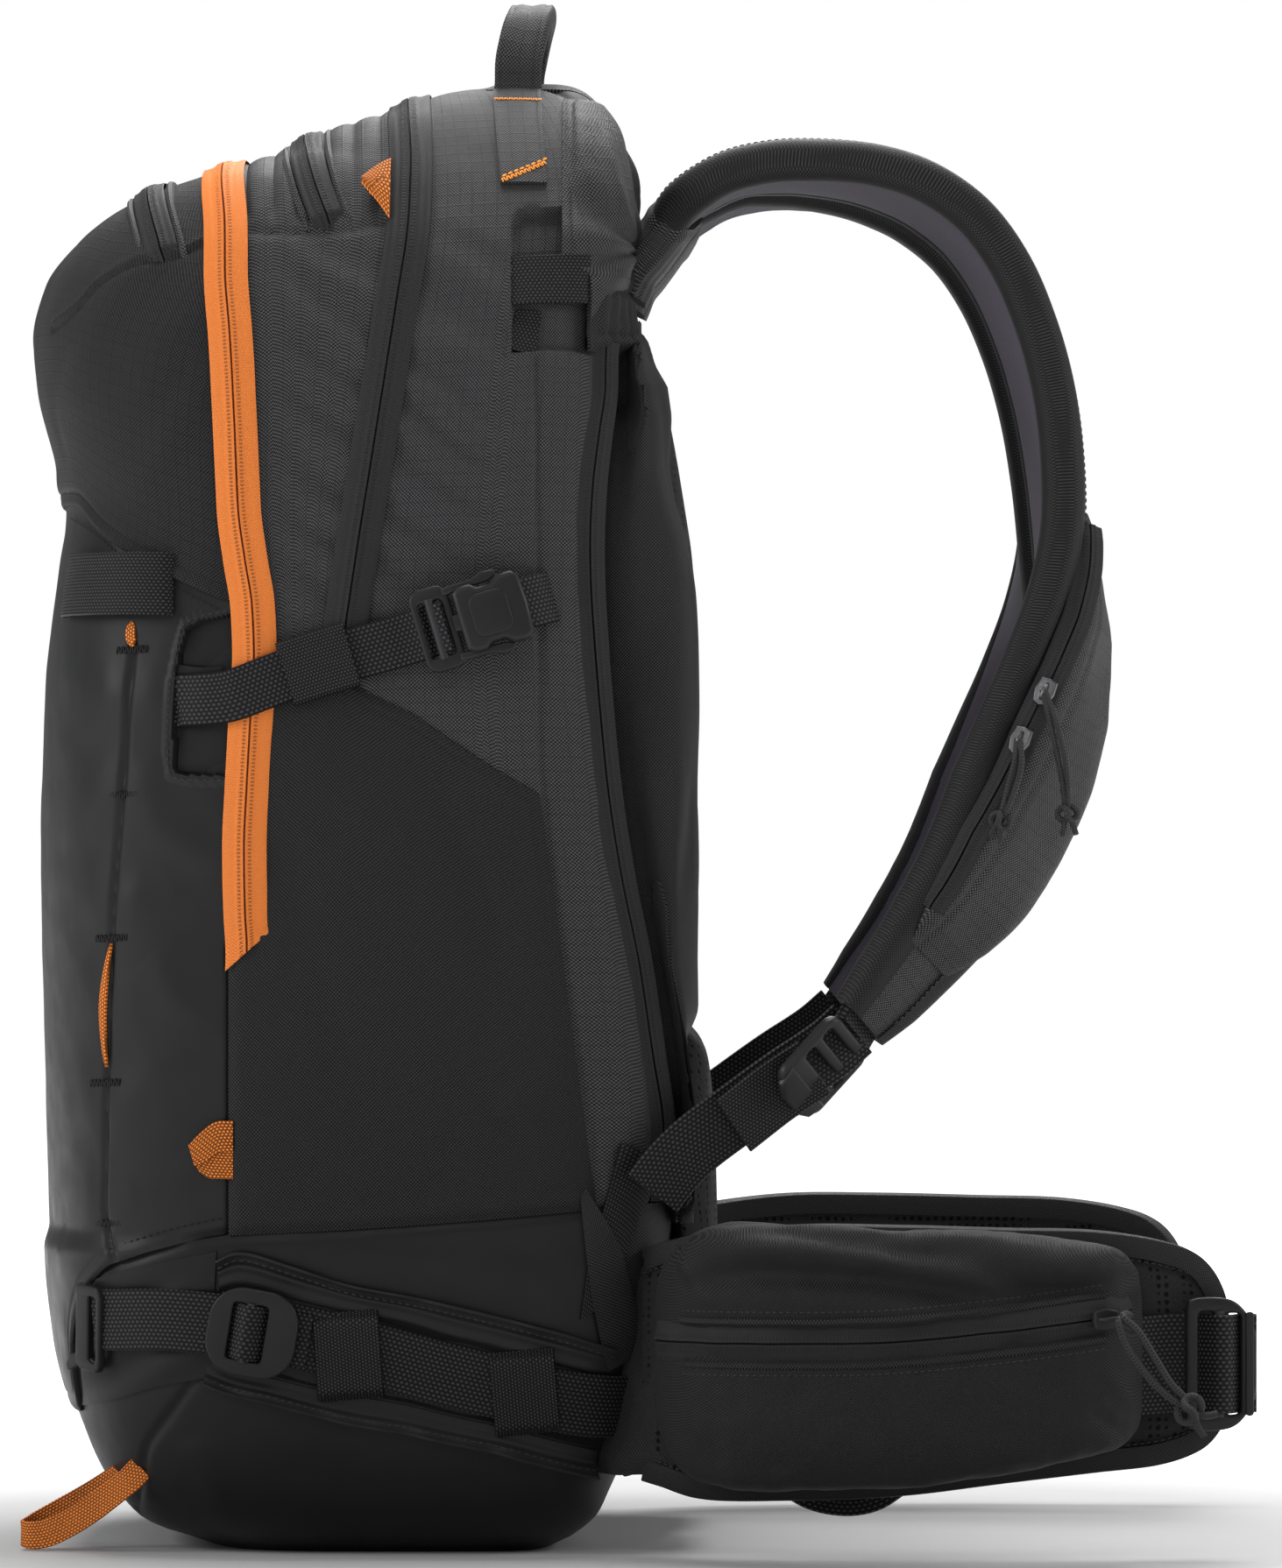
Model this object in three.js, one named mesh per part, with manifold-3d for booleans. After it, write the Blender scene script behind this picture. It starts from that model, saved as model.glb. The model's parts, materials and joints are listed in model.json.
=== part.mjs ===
// Avalanche airbag backpack, about 30 litres, standing on its base.
// Millimetres, +Z up. The wearer's side (shoulder straps, hip belt) is +X, the outer front panel
// is -X, the wearer's right is -Y. Origin: on the floor, under the middle of the pack's base.
import * as THREE from "three";
import { mergeVertices } from "three/addons/utils/BufferGeometryUtils.js";
import Module from "manifold-3d";

const wasm = await Module();
wasm.setup();

// ---------- driving dimensions ----------
const FABRIC_T = 3; // padded fabric wall
const SEAM_GAP = 1.3; // gap between neighbouring sewn panels
const HALF_GAP = SEAM_GAP / 2;
const TAPE_W = 17.5; // visible width of a large zip
const SMALL_TAPE_W = 14;
const WEB_SIDE_W = 20; // side compression webbing
const WEB_LOWER_W = 25; // shoulder strap lower webbing, ski straps, shaft loop
const WEB_BELT_W = 38; // hip belt webbing
const BOOT_TOP_Z = 122; // top edge of the coated base
const PANEL_BOTTOM_Z = BOOT_TOP_Z + 1;
const FRONT_PANEL_TOP_Z = 404.5;
const TOP_Z = 576.1;
const BACK_SEAM = 8; // from the back face forward to the seam of the side panels
const STRAP_W = 64; // shoulder pad
const STRAP_T = 16;
const FAN_R = 46;
const RIGHT = -1; // sign of y
const LEFT = 1;

// Exponents of the superelliptic sections: higher is squarer.
const FRONT_SQUARENESS = 3.4;
const BACK_SQUARENESS = 7;
const BASE_BACK_SQUARENESS = 5.5;

// Outline of the front in side view: [z, x]
const FRONT = [
  [0, -67], [2.2, -72], [5, -82], [9.2, -92], [17.2, -100], [29.5, -108.5], [44.9, -115],
  [66, -121.5], [87, -125], [109, -127.5], [139, -129.3], [192, -131.3], [262, -132],
  [332, -130.2], [360, -127.8], [384, -124.3], [405, -121.5], [421, -125], [437, -129.5],
  [454.4, -133.2], [472, -134.6], [494.6, -129.5], [510.4, -119], [524.4, -103], [533.1, -86],
  [540.8, -61], [544.6, -45.5], [551.6, -29.8], [557.6, -14], [562.2, 0], [567, 11],
  [572.3, 28], [575.5, 46], [TOP_Z, 61],
];
// Outline of the back in side view: [z, x]
const BACK = [
  [0, 71], [2.2, 76], [8.1, 84], [24, 94], [60, 106], [100, 114], [130, 119], [165, 120],
  [195, 117.5], [229, 113], [263, 107], [297, 102], [331, 98.5], [375, 96.5], [415, 96.5],
  [437, 97], [472, 98], [489, 99.5], [496, 101.5], [524, 102.4], [536.6, 101], [545.4, 98.7],
  [556, 94.5], [566.4, 88], [572, 82], [575, 74], [TOP_Z, 61.4],
];
// Half-width of the pack: [z, y]
const HALF_WIDTH = [
  [0, 100], [2.2, 106], [8, 117], [20, 129], [45, 138], [100, 143], [200, 146], [330, 146.5],
  [420, 142.5], [470, 135.5], [505, 125.5], [530, 111], [545, 97], [556, 83], [565, 66],
  [572, 43], [575, 22], [TOP_Z, 0.5],
];
// Seams and zips in side view: [z, x]
const FRONT_SEAM = [
  [118, -46.5], [236, -46], [249, -46.7], [273, -47], [297, -46], [322.6, -44.6],
  [346.6, -43.3], [366.5, -44], [384.7, -46.7], [405, -49.4], [438.8, -51], [472.5, -53.1],
  [496, -55.1], [513, -55.4], [532, -57], [545, -58],
];
const MAIN_SEAM = [
  [118, -9], [359, -8], [368, -6.8], [398, -2.4], [421, 1.3], [453.6, 6.4], [486, 11.4],
  [519, 15.5], [536.7, 15.8], [558.7, 14.8], [570, 14.5],
];
const GOGGLE_ZIP = [[514.5, -14.8], [524.6, -19.1], [534.7, -22.5], [544.8, -24.9], [553, -26]];
const TOP_POCKET_ZIP = [[501, -79], [507, -80.5], [516, -83.2], [523.6, -85.6], [535, -88]];

// ---------- curves and vectors ----------
const vec = (x, y, z) => new THREE.Vector3(x, y, z);
const radians = (degrees) => (degrees * Math.PI) / 180;
const steps = (count, make) => Array.from({ length: count }, (_, i) => make(i / (count - 1)));
const between = (start, end, count, make) =>
  steps(count, (u) => make(start + (end - start) * u));
const signedPower = (value, power) => Math.sign(value) * Math.pow(Math.abs(value), power);

// Monotone cubic through [z, value] points, constant beyond both ends.
function curve(points) {
  const last = points.length - 1;
  const spans = [];
  const slopes = [];
  for (let i = 0; i < last; i++) {
    spans.push(points[i + 1][0] - points[i][0]);
    slopes.push((points[i + 1][1] - points[i][1]) / spans[i]);
  }
  const tangents = [slopes[0]];
  for (let i = 1; i < last; i++) {
    const before = slopes[i - 1];
    const after = slopes[i];
    const weightBefore = 2 * spans[i] + spans[i - 1];
    const weightAfter = spans[i] + 2 * spans[i - 1];
    tangents.push(before * after <= 0
      ? 0
      : (weightBefore + weightAfter) / (weightBefore / before + weightAfter / after));
  }
  tangents.push(slopes[last - 1]);
  return (z) => {
    if (z <= points[0][0]) return points[0][1];
    if (z >= points[last][0]) return points[last][1];
    let i = 0;
    while (z > points[i + 1][0]) i++;
    const s = (z - points[i][0]) / spans[i];
    const s2 = s * s;
    const s3 = s2 * s;
    return (2 * s3 - 3 * s2 + 1) * points[i][1] + (s3 - 2 * s2 + s) * spans[i] * tangents[i]
      + (-2 * s3 + 3 * s2) * points[i + 1][1] + (s3 - s2) * spans[i] * tangents[i + 1];
  };
}
const xFront = curve(FRONT);
const xBack = curve(BACK);
const halfWidthAt = curve(HALF_WIDTH);
const xFrontSeam = curve(FRONT_SEAM);
const xMainSeam = curve(MAIN_SEAM);

function tangentAt(points, i) {
  const next = points[Math.min(i + 1, points.length - 1)];
  return next.clone().sub(points[Math.max(i - 1, 0)]).normalize();
}
// Turns the vector square to a unit axis, in place.
const squareTo = (axis, vector) => vector.addScaledVector(axis, -vector.dot(axis)).normalize();
// Local frame of a fitting: X along its strap, Y across it, Z outward.
function frame(position, along, outward, across = outward.clone().cross(along)) {
  return new THREE.Matrix4().makeBasis(along, across, outward).setPosition(position);
}
function smooth(points, count) {
  const path = new THREE.CatmullRomCurve3(points.map((p) => vec(...p)), false, "centripetal");
  return path.getSpacedPoints(count - 1);
}
// Points at equal distances along a polyline.
function resample(points, count) {
  const lengths = [0];
  for (let i = 1; i < points.length; i++) {
    lengths.push(lengths[i - 1] + points[i].distanceTo(points[i - 1]));
  }
  const total = lengths[lengths.length - 1];
  let j = 0;
  return Array.from({ length: count }, (_, i) => {
    const target = (total * i) / (count - 1);
    while (j < points.length - 2 && lengths[j + 1] < target) j++;
    const span = lengths[j + 1] - lengths[j];
    const share = span > 0 ? Math.min(1, (target - lengths[j]) / span) : 0;
    return points[j].clone().lerp(points[j + 1], share);
  });
}

// ---------- the pack's surface ----------
function section(z) {
  const front = xFront(z);
  const back = xBack(z);
  return {
    centreX: (front + back) / 2,
    halfDepth: Math.max((back - front) / 2, 0.05),
    halfWidth: Math.max(halfWidthAt(z), 0.05),
  };
}
const squareness = (relativeX) => (relativeX < 0 ? FRONT_SQUARENESS : BACK_SQUARENESS);
// 1 on the surface, less inside
function field(x, y, z) {
  const { centreX, halfDepth, halfWidth } = section(z);
  const relativeX = (x - centreX) / halfDepth;
  const power = squareness(relativeX);
  return Math.pow(Math.abs(relativeX), power) + Math.pow(Math.abs(y) / halfWidth, power);
}
// half-width of the pack at (x, z)
function sideY(x, z) {
  const { centreX, halfDepth, halfWidth } = section(z);
  const relativeX = (x - centreX) / halfDepth;
  const power = squareness(relativeX);
  const rest = 1 - Math.pow(Math.abs(relativeX), power);
  return rest <= 0 ? 0 : halfWidth * Math.pow(rest, 1 / power);
}
function normalAt({ x, y, z }) {
  const d = 0.4; // step of the central difference
  const gradient = vec(
    field(x + d, y, z) - field(x - d, y, z),
    field(x, y + d, z) - field(x, y - d, z),
    field(x, y, z + d) - field(x, y, z - d),
  );
  return gradient.lengthSq() < 1e-16 ? vec(0, 0, 1) : gradient.normalize();
}
function onSide(x, z, side, offset = 0) {
  const point = vec(x, side * sideY(x, z), z);
  return point.addScaledVector(normalAt(point), offset);
}
// Frame on the right side at (x, z), its X axis following the given direction.
function sideFrame(x, z, direction) {
  const point = onSide(x, z, RIGHT);
  const outward = normalAt(point);
  return frame(point, squareTo(outward, direction), outward);
}
// Arc of the section at height z, from startX on the right side, round the front, to the left.
function frontArc(z, startX, count) {
  const { centreX, halfDepth, halfWidth } = section(z);
  const relativeX = Math.min(Math.max((startX - centreX) / halfDepth, -0.9999), 0);
  const startAngle = Math.acos(Math.pow(-relativeX, FRONT_SQUARENESS / 2));
  const power = 2 / FRONT_SQUARENESS;
  const points = steps(161, (u) => {
    const angle = startAngle - 2 * startAngle * u;
    return vec(
      centreX - halfDepth * Math.pow(Math.cos(angle), power),
      -halfWidth * signedPower(Math.sin(angle), power),
      z,
    );
  });
  return resample(points, count);
}
// Arch over the pack along x = xAt(z), from startZ on the right side to startZ on the left.
function arch(xAt, startZ, count) {
  let crownZ = startZ; // highest z found on the surface, by bisection
  let above = TOP_Z;
  for (let i = 0; i < 60; i++) {
    const z = (crownZ + above) / 2;
    const { centreX, halfDepth } = section(z);
    const inside = Math.abs(xAt(z) - centreX) < halfDepth && sideY(xAt(z), z) > 0;
    if (inside) crownZ = z;
    else above = z;
  }
  const rightHalf = steps(241, (u) => {
    const z = startZ + (crownZ - startZ) * (1 - Math.pow(1 - u, 4));
    return vec(xAt(z), -sideY(xAt(z), z), z);
  });
  rightHalf[rightHalf.length - 1].y = 0;
  const leftHalf = rightHalf.slice(0, -1).reverse().map((p) => vec(p.x, -p.y, p.z));
  return resample([...rightHalf, ...leftHalf], count);
}

// ---------- meshes ----------
function signedVolume(geometry) {
  const { position } = geometry.attributes;
  const index = geometry.index.array;
  const [a, b, c] = [vec(0, 0, 0), vec(0, 0, 0), vec(0, 0, 0)];
  let volume = 0;
  for (let i = 0; i < index.length; i += 3) {
    a.fromBufferAttribute(position, index[i]);
    b.fromBufferAttribute(position, index[i + 1]);
    c.fromBufferAttribute(position, index[i + 2]);
    volume += a.dot(b.cross(c)) / 6;
  }
  return volume;
}
function flip(geometry) {
  const index = Array.from(geometry.index.array);
  for (let i = 0; i < index.length; i += 3) {
    [index[i + 1], index[i + 2]] = [index[i + 2], index[i + 1]];
  }
  geometry.setIndex(index);
  return geometry;
}
const mirror = (geometry) => flip(geometry.clone().scale(1, -1, 1));
// Closed mesh, turned to face outward.
function closedMesh(vertices, triangles) {
  const geometry = new THREE.BufferGeometry();
  const coordinates = vertices.flatMap((p) => [p.x, p.y, p.z]);
  geometry.setAttribute("position", new THREE.Float32BufferAttribute(coordinates, 3));
  geometry.setIndex(triangles.flat());
  return signedVolume(geometry) < 0 ? flip(geometry) : geometry;
}
// Closed slab between two grids of the same size.
function slab(outer, inner) {
  const lastRow = outer.length - 1;
  const columns = outer[0].length;
  const lastColumn = columns - 1;
  const triangles = [];
  const top = (i, j) => i * columns + j;
  const under = (i, j) => outer.length * columns + top(i, j);
  const quad = (a, b, c, d) => triangles.push([a, b, c], [a, c, d]);
  for (let i = 0; i < lastRow; i++) {
    for (let j = 0; j < lastColumn; j++) {
      quad(top(i, j), top(i, j + 1), top(i + 1, j + 1), top(i + 1, j));
      quad(under(i, j), under(i + 1, j), under(i + 1, j + 1), under(i, j + 1));
    }
  }
  const wall = (from, to) => quad(top(...from), top(...to), under(...to), under(...from));
  for (let i = 0; i < lastRow; i++) {
    wall([i, 0], [i + 1, 0]);
    wall([i + 1, lastColumn], [i, lastColumn]);
  }
  for (let j = 0; j < lastColumn; j++) {
    wall([0, j + 1], [0, j]);
    wall([lastRow, j], [lastRow, j + 1]);
  }
  return closedMesh([...outer.flat(), ...inner.flat()], triangles);
}
// Fabric wall, its outer face through the given rows of surface points.
function shell(rows) {
  const offset = (distance) =>
    rows.map((row) => row.map((p) => p.clone().addScaledVector(normalAt(p), distance)));
  return slab(offset(0), offset(-FABRIC_T));
}
// Flat webbing between two offsets along the outward normals.
function ribbon(points, normals, width, innerOffset, outerOffset) {
  const outer = [];
  const inner = [];
  points.forEach((point, i) => {
    const tangent = tangentAt(points, i);
    const side = tangent.clone().cross(normals[i]).normalize();
    const normal = side.clone().cross(tangent).normalize();
    if (normal.dot(normals[i]) < 0) normal.negate();
    const edges = (offset) => [-0.5, 0.5].map((s) =>
      point.clone().addScaledVector(side, s * width).addScaledVector(normal, offset));
    outer.push(edges(outerOffset));
    inner.push(edges(innerOffset));
  });
  return slab(outer, inner);
}
const surfaceRibbon = (points, ...size) => ribbon(points, points.map(normalAt), ...size);
// Closed loft through rings of equal length, capped at both ends.
function loft(rings) {
  const n = rings[0].length;
  const vertices = rings.flat();
  const triangles = [];
  for (let i = 0; i < rings.length - 1; i++) {
    for (let j = 0; j < n; j++) {
      const a = i * n + j;
      const b = i * n + ((j + 1) % n);
      triangles.push([a, b, b + n], [a, b + n, a + n]);
    }
  }
  const middle = (ring) =>
    ring.reduce((sum, p) => sum.add(p), vec(0, 0, 0)).multiplyScalar(1 / n);
  const end = (rings.length - 1) * n;
  const startCap = vertices.length;
  vertices.push(middle(rings[0]), middle(rings[rings.length - 1]));
  for (let j = 0; j < n; j++) {
    triangles.push([(j + 1) % n, j, startCap]);
    triangles.push([end + j, end + ((j + 1) % n), startCap + 1]);
  }
  return closedMesh(vertices, triangles);
}
// Rectangle with cut corners; the cut is a share of the shorter side.
function padRing(centre, side, normal, width, thickness, cornerShare = 0.32) {
  const a = width / 2;
  const b = thickness / 2;
  const corner = Math.min(b, a) * cornerShare * 2;
  const ring = [];
  for (const [signX, signY] of [[1, 1], [-1, 1], [-1, -1], [1, -1]]) {
    const ends = [[a, b - corner], [a - corner, b]];
    if (signX * signY < 0) ends.reverse();
    for (const [u, v] of ends) {
      const point = centre.clone().addScaledVector(side, signX * u);
      ring.push(point.addScaledVector(normal, signY * v));
    }
  }
  return ring;
}
function toSolid(geometry) {
  const bare = geometry.clone();
  bare.deleteAttribute("normal");
  bare.deleteAttribute("uv");
  const merged = mergeVertices(bare.index ? bare.toNonIndexed() : bare, 1e-4);
  return new wasm.Manifold(new wasm.Mesh({
    numProp: 3,
    vertProperties: merged.attributes.position.array,
    triVerts: new Uint32Array(merged.index.array),
  }));
}
function fromSolid(solid) {
  const { numProp, numVert, vertProperties, triVerts } = solid.getMesh();
  const positions = new Float32Array(numVert * 3);
  for (let i = 0; i < numVert; i++) {
    positions.set(vertProperties.subarray(i * numProp, i * numProp + 3), i * 3);
  }
  const geometry = new THREE.BufferGeometry();
  geometry.setAttribute("position", new THREE.BufferAttribute(positions, 3));
  return geometry.setIndex(new THREE.BufferAttribute(new Uint32Array(triVerts), 1));
}
const union = (...parts) => fromSolid(parts.map(toSolid).reduce((a, b) => a.add(b)));
const cut = (body, ...tools) =>
  fromSolid(tools.map(toSolid).reduce((a, b) => a.subtract(b), toSolid(body)));

const box = (x, y, z, dx, dy, dz) => new THREE.BoxGeometry(dx, dy, dz).translate(x, y, z);
const cylinderY = (radius, length, segments) =>
  new THREE.CylinderGeometry(radius, radius, length, segments);
const cylinderZ = (...size) => cylinderY(...size).rotateX(Math.PI / 2);
// Plate with rounded corners, its lower face centred on `at`.
function roundedPlate({ width, height, corner, arcSteps = 2, depth, at = [0, 0, 0] }) {
  const x = width / 2 - corner;
  const y = height / 2 - corner;
  const outline = [];
  for (const [cx, cy, start] of [[x, y, 0], [-x, y, 90], [-x, -y, 180], [x, -y, 270]]) {
    for (let i = 0; i <= arcSteps; i++) {
      const angle = radians(start + (90 * i) / arcSteps);
      const point = [cx + corner * Math.cos(angle), cy + corner * Math.sin(angle)];
      outline.push(new THREE.Vector2(...point));
    }
  }
  const options = { depth, bevelEnabled: false, steps: 1 };
  return new THREE.ExtrudeGeometry(new THREE.Shape(outline), options).translate(...at);
}
// Rounded plate with equal webbing slots, one at each slot.xs.
function slottedPlate(plate, slot) {
  const slots = slot.xs.map((x) => box(x, 0, slot.z, slot.width, slot.height, slot.depth));
  return cut(roundedPlate(plate), ...slots);
}
function tube(points, radius) {
  const sides = 6;
  const path = new THREE.CatmullRomCurve3(points.map((p) => vec(...p)), false, "centripetal");
  const outline = Array.from({ length: sides }, (_, i) => {
    const angle = (i / sides) * 2 * Math.PI;
    return new THREE.Vector2(radius * Math.cos(angle), radius * Math.sin(angle));
  });
  return new THREE.ExtrudeGeometry(new THREE.Shape(outline), {
    steps: points.length * 4,
    extrudePath: path,
    bevelEnabled: false,
  });
}

// ---------- materials ----------
const material = (options) => new THREE.MeshStandardMaterial({ metalness: 0, ...options });
const MATERIAL = {
  fabric: material({ color: 0x262628, roughness: 0.85 }),
  coated: material({ color: 0x2f3033, roughness: 0.5 }),
  zip: material({ color: 0x222224, roughness: 0.7 }),
  orange: material({ color: 0xf08a24, roughness: 0.7 }),
  web: material({ color: 0x1c1c1f, roughness: 0.8 }),
  plastic: material({ color: 0x1a1a1c, roughness: 0.45 }),
  foam: material({ color: 0x232327, roughness: 0.9 }),
  airbag: material({ color: 0xd8481c, roughness: 0.6 }),
  sheet: material({ color: 0x33363a, roughness: 0.5 }),
  alu: material({ color: 0xa9adb2, roughness: 0.35, metalness: 1 }),
  steel: material({ color: 0x55585c, roughness: 0.3, metalness: 1 }),
  module: material({ color: 0x3a3c40, roughness: 0.6, metalness: 0.9 }),
  button: material({ color: 0xd8531c, roughness: 0.5 }),
};

const pack = new THREE.Group();
function add(name, geometry, materialName) {
  const mesh = new THREE.Mesh(geometry, MATERIAL[materialName]);
  mesh.name = name;
  pack.add(mesh);
}
// Adds right-hand pieces, [name, geometry, material], and their mirror images.
function addPairs(pieces) {
  for (const [side, place] of [["right", (g) => g], ["left", mirror]]) {
    for (const [name, geometry, materialName] of pieces) {
      add(`${name}_${side}`, place(geometry), materialName);
    }
  }
}

// ---------- bag shell ----------
// Cup with an outer and an inner wall.
function coatedBase() {
  const sides = 28;
  const wallZ = [9, 20, 36, 60, 90, BOOT_TOP_Z];
  const ring = (z, inset) => {
    const { centreX, halfDepth, halfWidth } = section(z);
    return Array.from({ length: sides }, (_, i) => {
      const angle = (i / sides) * 2 * Math.PI;
      const cos = Math.cos(angle);
      const power = 2 / (cos < 0 ? FRONT_SQUARENESS : BASE_BACK_SQUARENESS);
      return vec(
        centreX + (halfDepth - inset) * signedPower(cos, power),
        (halfWidth - inset) * signedPower(Math.sin(angle), power),
        z,
      );
    });
  };
  const outer = [0, 3, ...wallZ].map((z) => ring(z, 0));
  const inner = [4, ...wallZ].map((z) => ring(z, FABRIC_T + (z < 12 ? 3 : 0)));
  return loft([...outer, ...inner.reverse()]);
}
const frontRow = (z) => frontArc(z, xFrontSeam(z) - HALF_GAP, 15);
// Band over the pack, between two lines x(z).
const band = (rowCount, from, to) => shell(steps(rowCount, (u) =>
  arch((z) => from(z) * (1 - u) + to(z) * u, PANEL_BOTTOM_Z, 33)));
// Sheet on the back face, its side edges dropped forward.
function backSheet(heights, sideMargin, edgeDrop, thickness) {
  const grid = (depth) => heights.map((z) => {
    const halfWidth = sideY(xBack(z) - BACK_SEAM, z) - sideMargin;
    return [-1, -0.5, 0, 0.5, 1].map((s) =>
      vec(xBack(z) - depth - (Math.abs(s) === 1 ? edgeDrop : 0), s * halfWidth, z));
  });
  return slab(grid(0), grid(thickness));
}
const zipArch = (xAt, startZ, width, count) =>
  surfaceRibbon(arch(xAt, startZ, count), width, 1.1, 3);

add("coated_base", coatedBase(), "coated");
add("front_panel", shell(between(PANEL_BOTTOM_Z, FRONT_PANEL_TOP_Z, 9, frontRow)), "coated");
const pocketRows = [...between(406, 532, 9, frontRow), ...between(536, 540.4, 2, frontRow)];
add("front_upper_pocket", shell(pocketRows), "fabric");
add("centre_band",
  band(4, (z) => xFrontSeam(z) + HALF_GAP, (z) => xMainSeam(z) - HALF_GAP), "fabric");
add("rear_band",
  band(6, (z) => xMainSeam(z) + HALF_GAP, (z) => xBack(z) - BACK_SEAM), "fabric");
add("harness_yoke", backSheet([491, 506, 522, 538, 552, 563], 9, 1.5, 6), "fabric");
add("front_zip", zipArch(xFrontSeam, 240, TAPE_W, 41), "orange");
add("main_zip", zipArch(xMainSeam, 372, TAPE_W - 0.5, 31), "zip");
add("goggle_zip", zipArch(curve(GOGGLE_ZIP), GOGGLE_ZIP[0][0], SMALL_TAPE_W, 25), "zip");
add("top_pocket_zip",
  zipArch(curve(TOP_POCKET_ZIP), TOP_POCKET_ZIP[0][0], SMALL_TAPE_W, 25), "zip");

// ---------- back: wall, frame, padded panel, lumbar pad ----------
const STAY_Z = [180, 240, 300, 380, 440];
function frameSheet() {
  const grid = (depth) => [14, 60, 121, 131, ...STAY_Z, 486].map((z) => [-1, 0, 1].map((s) =>
    vec(xBack(z) - depth - (z < 125 ? 4.5 : 0), s * (z < 40 ? 92 : 104), z)));
  return slab(grid(7), grid(8.2));
}
function frameStay() {
  const grid = (depth) => STAY_Z.map((z) => [-8, 8].map((y) => vec(xBack(z) - depth, y, z)));
  return slab(grid(10), grid(12.5));
}
// Crowned pad with two lobes, hollow and open at its forward (-X) face.
function backPanel() {
  // [z, share of the full crown]
  const stations = [
    [152, 0.18], [158, 0.72], [175, 1], [215, 1], [270, 1], [330, 1], [390, 1], [430, 1],
    [458, 1], [472, 0.72], [479, 0.18],
  ];
  const halfWidth = (z) => {
    if (z < 200) return 106;
    return z > 420 ? 112 - (z - 420) * 0.35 : 112;
  };
  const ring = (z, crown) => {
    const baseX = xBack(z) + 0.8;
    const outerX = 130.5 - (z > 430 ? (z - 430) * 0.28 : 0);
    const w = halfWidth(z) * (crown < 0.5 ? 0.9 : 1);
    const t = Math.max(outerX - baseX, 6) * crown;
    return [
      [0, -w], [0, w], [t * 0.55, w - 1], [t * 0.92, w * 0.86], [t, w * 0.5], [t * 0.86, 0],
      [t, -w * 0.5], [t * 0.92, -w * 0.86], [t * 0.55, -w + 1],
    ].map(([dx, y]) => vec(baseX + dx, y, z));
  };
  const hollowStations = stations.slice(1, -1);
  const hollow = hollowStations.map(([z], i) => {
    let shift = 0; // the end rings move inward
    if (i === 0) shift = 3;
    if (i === hollowStations.length - 1) shift = -3;
    return ring(z, 1).map((p, j) => {
      const x = j < 2 ? p.x - 4 : Math.max(p.x - 9, xBack(z) + 2);
      return vec(x, p.y * 0.93, z + shift);
    });
  });
  return cut(loft(stations.map(([z, crown]) => ring(z, crown))), loft(hollow));
}
function lumbarPad() {
  // [z, x of the outer face, half-width]
  const stations = [
    [34, 118, 98], [40, 124, 104], [60, 130, 104], [95, 135.5, 104], [128, 136, 104],
    [143, 133, 104], [149, 126, 98],
  ];
  return loft(stations.map(([z, outerX, w]) => {
    const baseX = xBack(z) + 1;
    const t = outerX - baseX;
    return [
      [0, -w], [0, w], [t * 0.6, w - 2], [t, w * 0.8], [t, 0], [t, -w * 0.8], [t * 0.6, -w + 2],
    ].map(([dx, y]) => vec(baseX + dx, y, z));
  }));
}
// Zip running up one side, beside the back panel: [x, z]
const BACK_ZIP = [
  [115.5, 158], [112.4, 170], [108.4, 195.3], [103.3, 229.2], [96.5, 263], [91.4, 296.9],
  [88.1, 330.8], [86, 358], [85, 375], [84.7, 395], [85.7, 415.4], [88, 436], [90.5, 450],
];
function backZip(side) {
  const points = BACK_ZIP.map(([x, z]) => onSide(Math.min(x, xBack(z) - 9.5), z, side));
  return surfaceRibbon(points, SMALL_TAPE_W, 0.8, 2.6);
}
add("back_wall", backSheet(between(PANEL_BOTTOM_Z, 489.5, 9, (z) => z), 5, 3, FABRIC_T),
  "fabric");
add("frame_sheet", frameSheet(), "sheet");
add("frame_stay", frameStay(), "alu");
add("back_panel", backPanel(), "foam");
add("lumbar_pad", lumbarPad(), "foam");
add("back_zip_right", backZip(RIGHT), "zip");
add("back_zip_left", backZip(LEFT), "zip");

// ---------- carry handle and load lifters ----------
function carryHandle() {
  const x = 52;
  const points = smooth([
    [x, -44, 581], [x + 1, -42, 592], [x + 2, -34, 603], [x + 2, -18, 607], [x + 2, 0, 608],
    [x + 2, 18, 607], [x + 2, 34, 603], [x + 1, 42, 592], [x, 44, 581],
  ], 17);
  const centre = vec(x, 0, 585);
  const normals = points.map((p, i) => {
    const normal = vec(1, 0, 0).cross(tangentAt(points, i));
    return normal.dot(p.clone().sub(centre)) < 0 ? normal.negate() : normal;
  });
  return ribbon(points, normals, 18, -1.6, 1.6);
}
function loadLifter(side) {
  const path = [[55, 493], [66, 493.5], [77, 494], [86, 494]]; // [x, z]
  return surfaceRibbon(path.map(([x, z]) => onSide(x, z, side)), WEB_SIDE_W, 0.8, 2.8);
}
add("carry_handle", carryHandle(), "web");
add("load_lifter_right", loadLifter(RIGHT), "web");
add("load_lifter_left", loadLifter(LEFT), "web");

// ---------- side compression straps and their buckles ----------
const BUCKLE = { x: 40, z: 361.5, slope: Math.atan(0.3), midHeight: 11.9 };
const buckleFrame = sideFrame(
  BUCKLE.x, BUCKLE.z, vec(Math.cos(BUCKLE.slope), 0, Math.sin(BUCKLE.slope)));
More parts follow.
